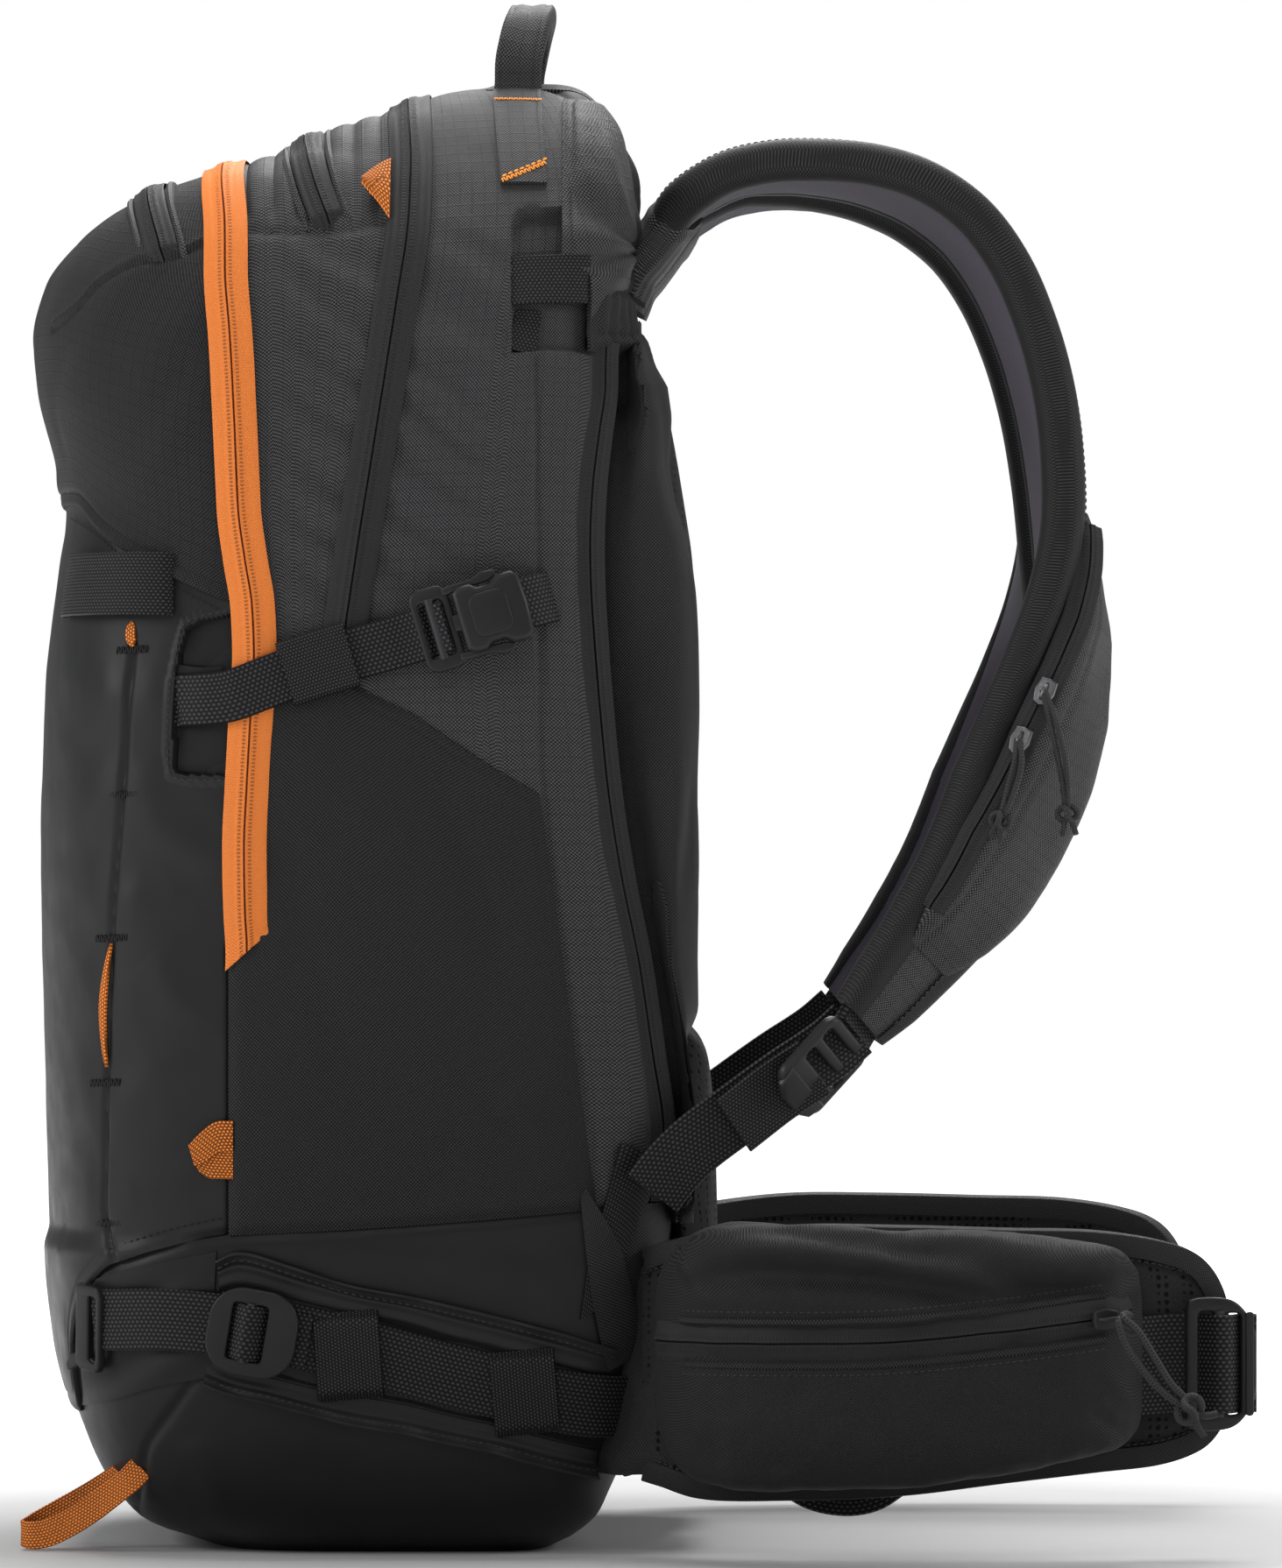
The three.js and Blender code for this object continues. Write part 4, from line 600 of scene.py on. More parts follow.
# the last colour of each zip is the painted shade in the slit between its halves
m_zip = zip_mat("black_zip_tape", (0.0105, 0.0105, 0.0112), (0.0015, 0.0015, 0.0015), light=3.4, dark=0.5)
m_orange_zip = zip_mat("orange_zip_tape", (0.64, 0.175, 0.034), (0.16, 0.03, 0.006), light=1.3)
m_plastic = plastic_mat("buckle_plastic_black", (0.0110, 0.0110, 0.0118))
m_mesh = mesh_mat("spacer_mesh", (0.0150, 0.0150, 0.0160))
m_cord = cord_mat("braided_cord", (0.0150, 0.0150, 0.0155))
m_thread = thread_mat("black_thread", (0.0075, 0.0075, 0.008))
m_thread_lit = thread_mat("grey_black_thread", (0.028, 0.028, 0.029))
m_orange_thread = thread_mat("orange_thread", (0.85, 0.30, 0.035))
m_metal = metal_mat("zip_pull_metal", (0.13, 0.13, 0.135), 0.38)
# cloth for the strap channel, made darker than the other cloth: painted shade of the recess
m_recess_shade_cloth = weave_mat("recess_painted_shade_cloth", (0.0075, 0.0075, 0.0082), 1.0, 0, 0.8, sheen=0.1)


# ------------------------------------------------------------------ the bag's shell
def wrap_sheet(name, P, mat, thick=2.5, N=None, body="pack", uv=None, angle=50):
    """closed shell from rings of outer points; rows are rings, open at both ends"""
    P = np.asarray(P, float); r, c = P.shape[:2]; N = nrm(P) if N is None else N; inner = P - N * thick
    if uv is None: uv = grid_uv(np.concatenate([P, P[:, :1]], 1))[:, :c]
    V = np.vstack([P.reshape(-1, 3), inner.reshape(-1, 3)]); U = np.vstack([uv.reshape(-1, 2)] * 2); o = r * c
    i, j = np.meshgrid(np.arange(r - 1), np.arange(c), indexing="ij"); j2 = (j + 1) % c
    F = np.stack([(i * c + j).ravel(), (i * c + j2).ravel(), ((i + 1) * c + j2).ravel(), ((i + 1) * c + j).ravel()], -1)
    faces = F.tolist() + (F[:, ::-1] + o).tolist()
    for j in range(c):
        k = (j + 1) % c; faces += [[k, j, o + j, o + k], [(r - 1) * c + j, (r - 1) * c + k, o + (r - 1) * c + k, o + (r - 1) * c + j]]
    return make(name, V, faces, mat, U, angle, body)


def edge_roll(r, c, dist_rows, dist_cols, depth=1.3, width=2.6):
    """how far a panel dips at its sewn edges; distances in mm from each grid line to the panel's edge"""
    d = np.minimum(dist_rows, dist_cols); return -depth * np.exp(-(d / width) ** 2)


def edge_dist(P, sides="lrtb"):
    r, c = P.shape[:2]; D = np.full((r, c), 1e3)
    u = np.concatenate([np.zeros((r, 1)), np.cumsum(np.linalg.norm(np.diff(P, axis=1), axis=2), 1)], 1)
    v = np.concatenate([np.zeros((1, c)), np.cumsum(np.linalg.norm(np.diff(P, axis=0), axis=2), 0)], 0)
    if "l" in sides: D = np.minimum(D, u)
    if "r" in sides: D = np.minimum(D, u[:, -1:] - u)
    if "t" in sides: D = np.minimum(D, v)
    if "b" in sides: D = np.minimum(D, v[-1:] - v)
    return D


def surf(xz, side=-1):
    x, z = xz; return A([x, side * float(side_y(x, z)), z])


def line(pts, side=-1, step=3.0):
    return on(pts, 0, side, step)[0]


def ring_at(z, n):
    c, a, b = [float(v) for v in sec(z)]; t = np.linspace(PI, 3 * PI, 1441); cs, sn = np.cos(t), np.sin(t); e = np.where(cs < 0, NF, NB)
    P = np.stack([c + a * np.sign(cs) * np.abs(cs) ** (2 / e), b * np.sign(sn) * np.abs(sn) ** (2 / e), np.full_like(t, z)], -1)
    L = np.r_[0, np.cumsum(np.linalg.norm(np.diff(P, axis=0), axis=1))]; s = np.linspace(0, L[-1], n + 1)[:-1]
    return np.stack([np.interp(s, L, P[:, k]) for k in range(3)], -1)


BOOT_TOP = [(-135, 121), (-101, 112.1), (-84, 118.1), (-68.7, 122.2), (-52.9, 124.9), (-6.3, 127.6), (40.9, 131), (89.8, 135.7), (130, 137)]
bt_x, bt_z = A(BOOT_TOP).T


def boot_top(x): return np.interp(x, bt_x, bt_z)


ZT = np.arange(46.0, 541.3, 1.5); NT = 301
TF = np.stack([arc(z, float(XO(z)), NT) for z in ZT])


def front_at(z, s):
    i = np.clip((np.asarray(z, float) - ZT[0]) / 1.5, 0, len(ZT) - 1.0001); j = np.clip(np.asarray(s, float) * (NT - 1), 0, NT - 1.0001)
    i0, j0 = i.astype(int), j.astype(int); a, b = (i - i0)[..., None], (j - j0)[..., None]
    return (TF[i0, j0] * (1 - a) + TF[i0 + 1, j0] * a) * (1 - b) + (TF[i0, j0 + 1] * (1 - a) + TF[i0 + 1, j0 + 1] * a) * b


HEM = [(-140, 407.5), (-118, 407.5), (-112.6, 406.5), (-104.1, 396.8), (-95.7, 390), (-87.3, 384.6), (-73.8, 377.2), (-60.3, 370.4), (-51.9, 367.2), (-40, 363.5)]
LOWX = [(-100.8, 112.1), (-83.9, 118.1), (-68.7, 122.2), (-52.9, 125.2), (-40, 126)]
LOWY = [(0, 53), (87.5, 53.4), (90.5, 60), (92, 74), (97, 84.4), (107, 98), (121.7, 112.1)]


def front_edges(n):
    s = np.linspace(0, 1, n); q = front_at(np.full(n, 100.0), s); q2 = front_at(np.full(n, 118.0), s); q3 = front_at(np.full(n, 388.0), s)
    lo = np.where(q2[:, 0] > -100.8, np.interp(q2[:, 0], *A(LOWX).T), np.interp(np.abs(q[:, 1]), *A(LOWY).T))
    k = np.ones(7) / 7; pad = np.pad(lo, 3, mode="edge"); lo = np.convolve(pad, k, "valid")
    hem = np.interp(q3[:, 0], *A(HEM).T); hem = np.convolve(np.pad(hem, 4, mode="edge"), np.ones(9) / 9, "valid")
    return s, lo, hem


def base_piece():
    """coated boot: flat bottom, rounded foot, slanted top edge"""
    n = 460; q = ring_at(110.0, n); top = boot_top(q[:, 0]); R = [ring_at(z, n) for z in np.arange(0, 139.1, 1.5)]; R = np.stack(R); zs = np.arange(0, 139.1, 1.5)
    rows = []
    for v in np.linspace(0, 1, 82) ** 0.8:
        z = top * v; i = np.clip(z / 1.5, 0, len(zs) - 1.001); i0 = i.astype(int); f = (i - i0)[:, None]; rows.append(R[i0, np.arange(n)] * (1 - f) + R[i0 + 1, np.arange(n)] * f)
    P = np.stack(rows); N = nrm(P)
    D = edge_dist(P, "b"); h = -1.2 * np.exp(-(D / 2.6) ** 2)
    h += 0.5 * fbm(P, 46, 3, 3) * smooth01(P[..., 2] / 40)
    for sd in (-1, 1):
        h += groove(P, line([(-60.3, 79.3), (-64.3, 72.3), (-68.7, 65.9), (-77.2, 54), (-85.6, 42.2), (-88.3, 30.4), (-92, 14)], sd), 1.6, 1.3)
        h += fold(P, line([(-70, 46), (-62, 33), (-58, 18)], sd), 7, 1.3) + fold(P, line([(-30, 40), (-10, 26), (-2, 12)], sd), 10, -0.8) + fold(P, line([(60, 34), (76, 24), (88, 12)], sd), 6, 1.0)
        h += fold(P, line([(-46, 121), (-10, 117), (30, 112), (70, 108)], sd), 7, 0.7)
    P = P + N * h[..., None]; P[..., 2] = np.maximum(P[..., 2], 0.0)
    flat = []
    ctr = A([0.0, 0.0, 0.0])
    for k in np.linspace(1, 0.02, 26)[1:]:
        q = P[0] * [k, k, 1]; q[:, 2] = 0.0 + 0.0 * q[:, 2]; flat.append(q)
    # outer skin, floor, and the inner skin as one closed cup
    outer = np.concatenate([np.stack(flat)[::-1], P]); Nn = np.concatenate([np.tile([0, 0, -1.0], (len(flat), n, 1)), N]); Nn[len(flat)] = unit(Nn[len(flat)] + A([0, 0, -1.0]))
    inner = outer - Nn * 3.0; inner[..., 2] = np.maximum(inner[..., 2], 3.0); r = len(outer)
    V = np.vstack([outer.reshape(-1, 3), inner.reshape(-1, 3), [[0, 0, 0], [0, 0, 3.0]]]); o = r * n; j = np.arange(n); j2 = (j + 1) % n
    F = []
    for i in range(r - 1): F.append(np.stack([i * n + j, i * n + j2, (i + 1) * n + j2, (i + 1) * n + j], -1)); F.append(np.stack([o + i * n + j2, o + i * n + j, o + (i + 1) * n + j, o + (i + 1) * n + j2], -1))
    F.append(np.stack([(r - 1) * n + j, (r - 1) * n + j2, o + (r - 1) * n + j2, o + (r - 1) * n + j], -1)); F = np.concatenate(F).tolist()
    F += [[2 * o, int(b), int(a)] for a, b in zip(j, j2)] + [[2 * o + 1, o + int(a), o + int(b)] for a, b in zip(j, j2)]
    uv = np.stack([np.arctan2(V[:, 1], V[:, 0]) * 120, V[:, 2]], -1)
    return make("boot", V, F, m_boot, uv, 45, "pack")


SEAM_F = [(-90.6, 352.6), (-93, 320.5), (-94.7, 295.2), (-97.4, 266.6), (-99.1, 239.6), (-100.4, 212.6), (-101.4, 183.9), (-101.8, 155.2), (-101.4, 128.3), (-97.4, 114.8)]
SLOT_O = [(-46, 368), (-52.9, 367.1), (-65.3, 364.4), (-71.4, 361.7), (-74.5, 350.9), (-77.2, 337.4), (-78.5, 323.9), (-78.5, 310.4), (-76.8, 300.3), (-65.3, 298.6), (-46, 298.6)]
SLOT_I = [(-44, 364.4), (-52.9, 363.4), (-64.3, 361.2), (-69.4, 358), (-72.1, 349.2), (-73.8, 337.4), (-74.5, 320.5), (-74.3, 305), (-72.5, 302.6), (-52.9, 302), (-44, 302)]


def front_piece():
    """coated front: one wide panel that wraps round the front, with its slot for the compression strap"""
    n, r = 421, 236; s, lo, hem = front_edges(n); v = np.linspace(0, 1, r)[:, None]; Z = lo[None] + (hem[None] + 6 - lo[None]) * v; P = front_at(Z, np.broadcast_to(s, Z.shape)); N = nrm(P)
    sd = np.minimum(s, 1 - s); D = edge_dist(P, "lrt"); h = -1.1 * np.exp(-(D / 2.4) ** 2)
    skirt = smooth01((126 - P[..., 2]) / 10) * smooth01((-P[..., 0] - 60) / 14); Db = edge_dist(P, "t"); h += 2.4 * skirt
    h += -1.1 * np.exp(-(Db / 2.4) ** 2) * (1 - smooth01((-P[..., 0] - 60) / 20)) + 0.5 * np.exp(-((Db - 1.5) / 1.5) ** 2) * skirt - 0.45 * np.exp(-((Db - 6.5) / 1.0) ** 2) * skirt
    big = smooth01(D / 25); h += 0.9 * big * fbm(P, 70, 11, 2, (1, 1, 0.6)) + 0.22 * fbm(P, 16, 5, 2, (1, 1, 0.8)) * smooth01(D / 8)
    for y in (-1, 1):
        q = line(SEAM_F, y); rr, tt = near(P, q); h += -1.5 * np.exp(-(rr / 1.5) ** 2)
        puffy = np.exp(-((rr - 9) / 8) ** 2) * np.sin(np.clip(tt, 0, 1) * PI * 6) ** 2; h += 0.7 * puffy
        h += fold(P, line([(-86, 232), (-70, 214), (-58, 204)], y), 9, 0.8) + fold(P, line([(-88, 290), (-74, 276), (-56, 268)], y), 8, 0.8) + fold(P, line([(-94, 170), (-76, 186), (-58, 196)], y), 10, 0.7)
        h += fold(P, line([(-92, 140), (-76, 146), (-58, 158)], y), 7, -0.7)
    h -= 1.7 * smooth01((P[..., 0] + 55.4) / 2.2) * smooth01((240 - P[..., 2]) / 6)
    # the pocket below the upper front pocket opens along the hem: the panel sinks a little there
    x, z = P[..., 0], P[..., 2]; hole = (np.abs(P[..., 1]) > 60) & inside(x, z, SLOT_I); rim = (np.abs(P[..., 1]) > 60) & inside(x, z, SLOT_O) & ~hole
    h = np.where(hole, h - 4.2, h); h = np.where(rim, np.maximum(h, -0.6) + 0.7, h)
    P = P + N * h[..., None]
    return sheet("front_panel_shell", P, m_coat, 2.2, N, uv=grid_uv(P), angle=42)


def upper_pocket_piece():
    n, r = 421, 190; s, lo, hem = front_edges(n); v = np.linspace(0, 1, r)[:, None]; Z = hem[None] + (541.0 - hem[None]) * v; P = front_at(Z, np.broadcast_to(s, Z.shape)); N = nrm(P)
    D = edge_dist(P, "lrb"); Dt = edge_dist(P, "t"); near_zip = smooth01((edge_dist(P, "lr") - 9) / 12); h = -1.0 * np.exp(-(D / 2.4) ** 2) + near_zip * (1.4 * np.exp(-(Dt / 14) ** 2) + 0.5 * np.exp(-((Dt - 1.8) / 1.6) ** 2) - 0.5 * np.exp(-((Dt - 6.0) / 0.9) ** 2))
    h += 1.0 * fbm(P, 60, 21, 3, (1, 0.8, 0.8)) * smooth01(D / 16) + 0.10 * fbm(P, 14, 9, 2) * smooth01(D / 6)
    for y in (-1, 1):
        q = line([(-124, 476), (-114.3, 482.4), (-104.1, 492.6), (-90.6, 499.3), (-73.8, 502.7), (-63, 507.7), (-56, 510)], y); h += groove(P, q, 1.5, 1.2) + groove(P, q + [0, 0, 3.2], 2.5, -0.5)
        h += fold(P, line([(-70, 520), (-86, 505), (-104, 480), (-112, 452)], y), 9, 1.1) + fold(P, line([(-62, 500), (-76, 470), (-92, 440)], y), 10, 0.9) + fold(P, line([(-66, 456), (-80, 426), (-96, 408)], y), 9, 1.0)
        h += fold(P, line([(-116, 470), (-124, 448), (-119, 424)], y), 6, -1.0)
    for yy in (-52, -18, 20, 55):
        q = np.stack([np.full(9, 0.0), np.linspace(yy - 6, yy + 8, 9), np.linspace(512, 470, 9)], -1); q[:, 0] = [float(XF(z)) for z in q[:, 2]]; h += fold(P, q, 8, 0.9)
    q = np.stack([np.zeros(13), np.linspace(-90, 90, 13), np.full(13, 416.0)], -1); q[:, 0] = [float(XF(416.0))] * 13; h += fold(P, q, 6, 1.2)
    P = P + N * h[..., None]
    return sheet("upper_pocket_shell", P, m_rip_dark, 2.4, N, uv=grid_uv(P))


SP_TOP = [(-43.8, 333), (-30, 337), (-18, 341), (-9, 341.5), (-4, 337), (0.4, 333.7), (17.3, 325.6), (34.2, 313.8), (51, 303), (66.5, 294.5)]
SP_BOT = [(-45.4, 124.6), (-6.3, 126.8), (40.9, 130.2), (88.6, 134.6)]


def under(x, z):
    """1 where the side panel covers the bands"""
    return smooth01((np.interp(x, *A(SP_TOP).T) - z) / 7) * smooth01((np.interp(z, [136, 294.5], [88.5, 66.5]) - x) / 4)


def bands():
    """the two wide gussets over the top: between the front zip and the main zip, and behind the main zip"""
    out = []
    for name, fa, fb, ga, gb, rows, mat in (("centre_band_shell", XO, XM, 0.7, -0.7, 62, m_rip), ("rear_band_shell", XM, lambda z: XB(z) - 9.0, 0.7, 0.0, 96, m_rip)):
        P = []
        for w in np.linspace(0, 1, rows):
            f = lambda z, w=w: (fa(z) + ga) * (1 - w) + (fb(z) + gb) * w
            z0 = float(boot_top(float(f(126.0)))); P.append(arch(f, z0, 520))
        P = np.stack(P); N = nrm(P); x, y, z = P[..., 0], P[..., 1], P[..., 2]
        D = edge_dist(P, "tb"); De = edge_dist(P, "lr"); h = -1.2 * np.exp(-(D / 2.4) ** 2) - 1.2 * np.exp(-(De / 2.4) ** 2)
        h += 0.9 * fbm(P, 55, 31, 2, (1, 1, 0.7)) * smooth01(D / 14) + 0.22 * fbm(P, 13, 33, 2) * smooth01(D / 5)
        # diagonal drag folds, rising to the back
        ph = (z + 0.62 * x + 10 * fbm(P, 60, 41, 2)) / 23.0; k = smooth01((z - 330) / 60) * smooth01((520 - z) / 30) * (smooth01((x + 40) / 20) if name[0] == "c" else smooth01((62 - x) / 22)); h += 0.95 * k * smooth01(D / 9) * np.sin(2 * PI * ph)
        if name[0] == "c":
            k = smooth01((z - 514) / 8); arcl = np.abs(y); sx = (x - XO(z)) / np.maximum(XM(z) - XO(z), 1); h += 1.7 * k * np.abs(np.sin(PI * (sx * 7 + 0.15))) ** 0.6 - 0.9 * k
            for sgn in (-1, 1): h += groove(P, line([(-45.8, 512.8), (-26.6, 512.1), (-6.3, 513.5), (6.2, 516.2)], sgn), 1.4, 1.2)
        else:
            for sgn in (-1, 1):
                h += groove(P, line([(-6, 335.7), (0.4, 333.7), (17.3, 325.6), (34.2, 313.8), (51, 303), (64, 296)], sgn), 1.5, 1.1)
                h += groove(P, line([(65.2, 463), (66.2, 398.1), (66.9, 330.6), (69.6, 280), (76.3, 229.5), (83.1, 182.2), (89.5, 140)], sgn), 1.8, 1.5)
                h += fold(P, line([(20, 300), (44, 262), (60, 212)], sgn), 16, 0.9) + fold(P, line([(6, 240), (30, 200), (56, 158)], sgn), 16, 0.8) + fold(P, line([(4, 180), (24, 160), (52, 142)], sgn), 12, 0.7)
                # recess for the load lifter
                cr = np.where((x < 64) & (z > 513.5), smooth01((9.6 - np.hypot(x - 64, z - 513.5)) / 1.5), 1.0)
                h += -4.0 * smooth01((x - 55.0) / 1.6) * smooth01((z - 465.2) / 1.6) * smooth01((522.5 - z) / 1.6) * cr * (np.sign(y) == sgn)
        cov = under(x, z); h = h * (1 - cov) - 0.9 * cov; P = P + N * h[..., None]
        out.append(sheet(name, P, mat, 2.2, N, uv=grid_uv(P)))
    return out


def side_panel():
    """one piece of cloth from the front zip to the rear seam, between the compression strap and the boot"""
    a, b = resample([(x, 0, z) for x, z in SP_TOP], 110), resample([(x, 0, z) for x, z in SP_BOT], 110); v = np.linspace(0, 1, 150)[:, None, None]; Q = a[None] * (1 - v) + b[None] * v
    left = np.interp(Q[:, :1, 2], [231, 243], [-53.4, -46.0]); Q[..., 0] += (left - Q[:, :1, 0]) * (1 - np.linspace(0, 1, 110)[None]) ** 7
    P = np.stack([Q[..., 0], -side_y(Q[..., 0], Q[..., 2]), Q[..., 2]], -1); N = nrm(P); D = edge_dist(P, "lrtb"); h = 1.5 * smooth01(D / 4.5) ** 0.7 - 0.5 * np.exp(-((edge_dist(P, "rt") - 5.2) / 0.9) ** 2); k = smooth01(D / 16)
    h += k * (1.5 * fbm(P, 62, 31, 2, (1, 1, 0.7)) + 0.3 * fbm(P, 17, 33, 2)); L = lambda q: line(q)
    h += fold(P, L([(-36, 322), (-6, 296), (18, 262)]), 13, 1.3) + fold(P, L([(20, 312), (40, 268), (56, 216)]), 11, -1.4) + fold(P, L([(34, 304), (54, 262), (66, 226)]), 9, 1.2) + fold(P, L([(-38, 240), (-8, 222), (30, 178), (58, 146)]), 15, 1.2)
    h += fold(P, L([(-36, 172), (-10, 150), (24, 138)]), 10, 1.2) + fold(P, L([(-40, 280), (-24, 250), (-16, 210)]), 9, -0.9) + fold(P, L([(48, 200), (66, 168), (78, 144)]), 8, 1.1)
    return sheet("side_panel_right", P + N * np.maximum(h, 0.05 + 0 * h)[..., None], m_side, 1.5, N, uv=grid_uv(P))


def back_at(z, w, n=81):
    """a point of the back surface: w from 0 (right rear edge) to 1 (left rear edge)"""
    c, a, b = [float(v) for v in sec(z)]; x0 = float(XB(z)) - 9.0; xi = min(max((x0 - c) / a, 0.0), 0.99999); t0 = math.acos(xi ** (NB / 2)); t = np.linspace(-t0, t0, 361)
    P = np.stack([c + a * np.cos(t) ** (2 / NB), b * np.sign(np.sin(t)) * np.abs(np.sin(t)) ** (2 / NB), np.full_like(t, z)], -1)
    return resample(P, n)


def back_piece():
    """the back wall and the yoke that the straps come out of, pleated towards their roots"""
    zs = np.concatenate([np.arange(137, 560, 2.2), 560 + 15.2 * (1 - (1 - np.linspace(0, 1, 22)) ** 2)]); P = np.stack([back_at(float(z), None, 241) for z in zs]); N = nrm(P); x, y, z = P[..., 0], P[..., 1], P[..., 2]
    D = edge_dist(P, "lr"); h = -1.2 * np.exp(-(D / 2.4) ** 2)
    yoke = smooth01((z - 486) / 10) * smooth01((570 - z) / 12)
    for sg in (-1, 1):
        d = np.hypot(y - sg * 52, (z - 508) * 0.8); an = np.arctan2(z - 508, (y - sg * 52) * sg); h += 1.5 * yoke * np.exp(-((d - 34) / 20) ** 2) * np.sin(an * 7 + 0.6 * sg) + 2.2 * yoke * np.exp(-((d - 24) / 12) ** 2)
    h += 1.0 * yoke * fbm(P, 26, 51, 2) * smooth01(D / 8) + 0.5 * fbm(P, 40, 53, 2) * smooth01(D / 8)
    q = np.stack([np.zeros(9), np.linspace(-100, 100, 9), np.full(9, 486.0)], -1); q[:, 0] = float(XB(486.0)); h += groove(P, q, 1.8, 1.6)
    P = P + N * h[..., None]
    return sheet("back_shell", P, m_cloth, 2.2, N, uv=grid_uv(P))


def crown():
    """reinforcing patch under the carry handle, over the very top of the bag"""
    X, Y = np.meshgrid(np.linspace(44, 93, 56), np.linspace(-37, 37, 80), indexing="ij"); lo, hi = np.full(X.shape, 470.0), np.full(X.shape, 576.05)
    for _ in range(40):
        m = (lo + hi) / 2; k = field(X, Y, m) <= 1; lo, hi = np.where(k, m, lo), np.where(k, hi, m)
    P = np.stack([X, Y, lo], -1)
    for _ in range(6): P[1:-1, 1:-1, 2] = (P[:-2, 1:-1, 2] + P[2:, 1:-1, 2] + P[1:-1, :-2, 2] + P[1:-1, 2:, 2] + 2 * P[1:-1, 1:-1, 2]) / 6
    N = grid_normals(P); N *= np.sign(N[..., 2:]); D = edge_dist(P, "lrtb"); h = 0.5 + 1.1 * smooth01(D / 5) - 0.5 * np.exp(-((D - 4.5) / 0.9) ** 2) + 0.35 * fbm(P, 22, 161, 2) * smooth01(D / 6)
    return sheet("crown_patch", P + N * h[..., None], m_rip, 2.0, N, uv=grid_uv(P))


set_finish(crown(), "bag_fabric")
boot = base_piece(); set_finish(boot, "coated_fabric"); boot.data.materials.append(m_cloth)
bc = np.zeros(len(boot.data.polygons) * 3, np.float32); boot.data.polygons.foreach_get("center", bc); bc = bc.reshape(-1, 3) * 1000; boot.data.polygons.foreach_set("material_index", ((bc[:, 0] > 98 - 0.12 * (bc[:, 2] - 100)) & (bc[:, 2] > 66)).astype(np.int32))
front = front_piece(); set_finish(front, "coated_fabric")
upper = upper_pocket_piece(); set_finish(upper, "bag_fabric")
centre_band, rear_band = bands(); side_p = side_panel(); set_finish(side_p, "bag_fabric"); both(side_p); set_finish(centre_band, "bag_fabric"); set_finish(rear_band, "bag_fabric")
back_shell = back_piece(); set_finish(back_shell, "bag_fabric")
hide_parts("coated_base"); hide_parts("front_panel"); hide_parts("front_upper_pocket"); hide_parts("centre_band"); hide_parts("rear_band"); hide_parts("harness_yoke", "back_wall")


# ------------------------------------------------------------------ helpers for sewn-on pieces
def strip(name, a, b, mat, lift=0.8, thick=1.0, side=-1, cols=None, rows=14, body="pack", amp=None, angle=45):
    """cloth laid on the bag's side between two lines a and b; lift may be a function of (along, across)"""
    a, b = spline([(x, 0, z) for x, z in a], 60) if len(a) > 2 else resample([(x, 0, z) for x, z in a], 60), spline([(x, 0, z) for x, z in b], 60) if len(b) > 2 else resample([(x, 0, z) for x, z in b], 60)
    n = cols or max(6, int(np.linalg.norm(np.diff(a, axis=0), axis=1).sum() / 1.6)); a, b = resample(a, n), resample(b, n)
    v = np.linspace(0, 1, rows)[:, None, None]; Q = a[None] * (1 - v) + b[None] * v
    P = np.stack([Q[..., 0], side * side_y(Q[..., 0], Q[..., 2]), Q[..., 2]], -1); N = nrm(P)
    u = np.broadcast_to(np.linspace(0, 1, n)[None], P.shape[:2]); w = np.broadcast_to(v[..., 0], P.shape[:2]); L = lift(u, w) if callable(lift) else np.full(P.shape[:2], float(lift))
    if amp is not None: L = L + amp(P, u, w)
    return sheet(name, P + N * L[..., None], mat, thick, N, body, grid_uv(P), angle)


def webbing_path(name, P, N, w, t, mat, body="pack", lift=0.0, step=1.5, ends=None, uvmid=True):
    n = max(4, int(np.linalg.norm(np.diff(P, axis=0), axis=1).sum() / step)); P2, N2 = resample(P, n), unit(resample(N, n)) if len(N) == len(P) else N
    N2 = unit(np.stack([np.interp(np.linspace(0, 1, n), np.linspace(0, 1, len(N)), np.asarray(N)[:, k]) for k in range(3)], -1))
    return sweep(name, P2, N2, flat_section(w, t, lift, 0.5, 15), mat, body, angle=35)


def side_webbing(name, xz, w, t, lift, mat, body="pack", side=-1, step=1.5):
    P, N = on(xz, 0, side, step); s = np.linspace(0, 1, len(P)); L = np.interp(s, np.linspace(0, 1, len(lift)), lift) if np.ndim(lift) else lift
    return webbing_path(name, P + N * (np.asarray(L)[..., None] if np.ndim(L) else L), N, w, t, mat, body, 0.0, step)


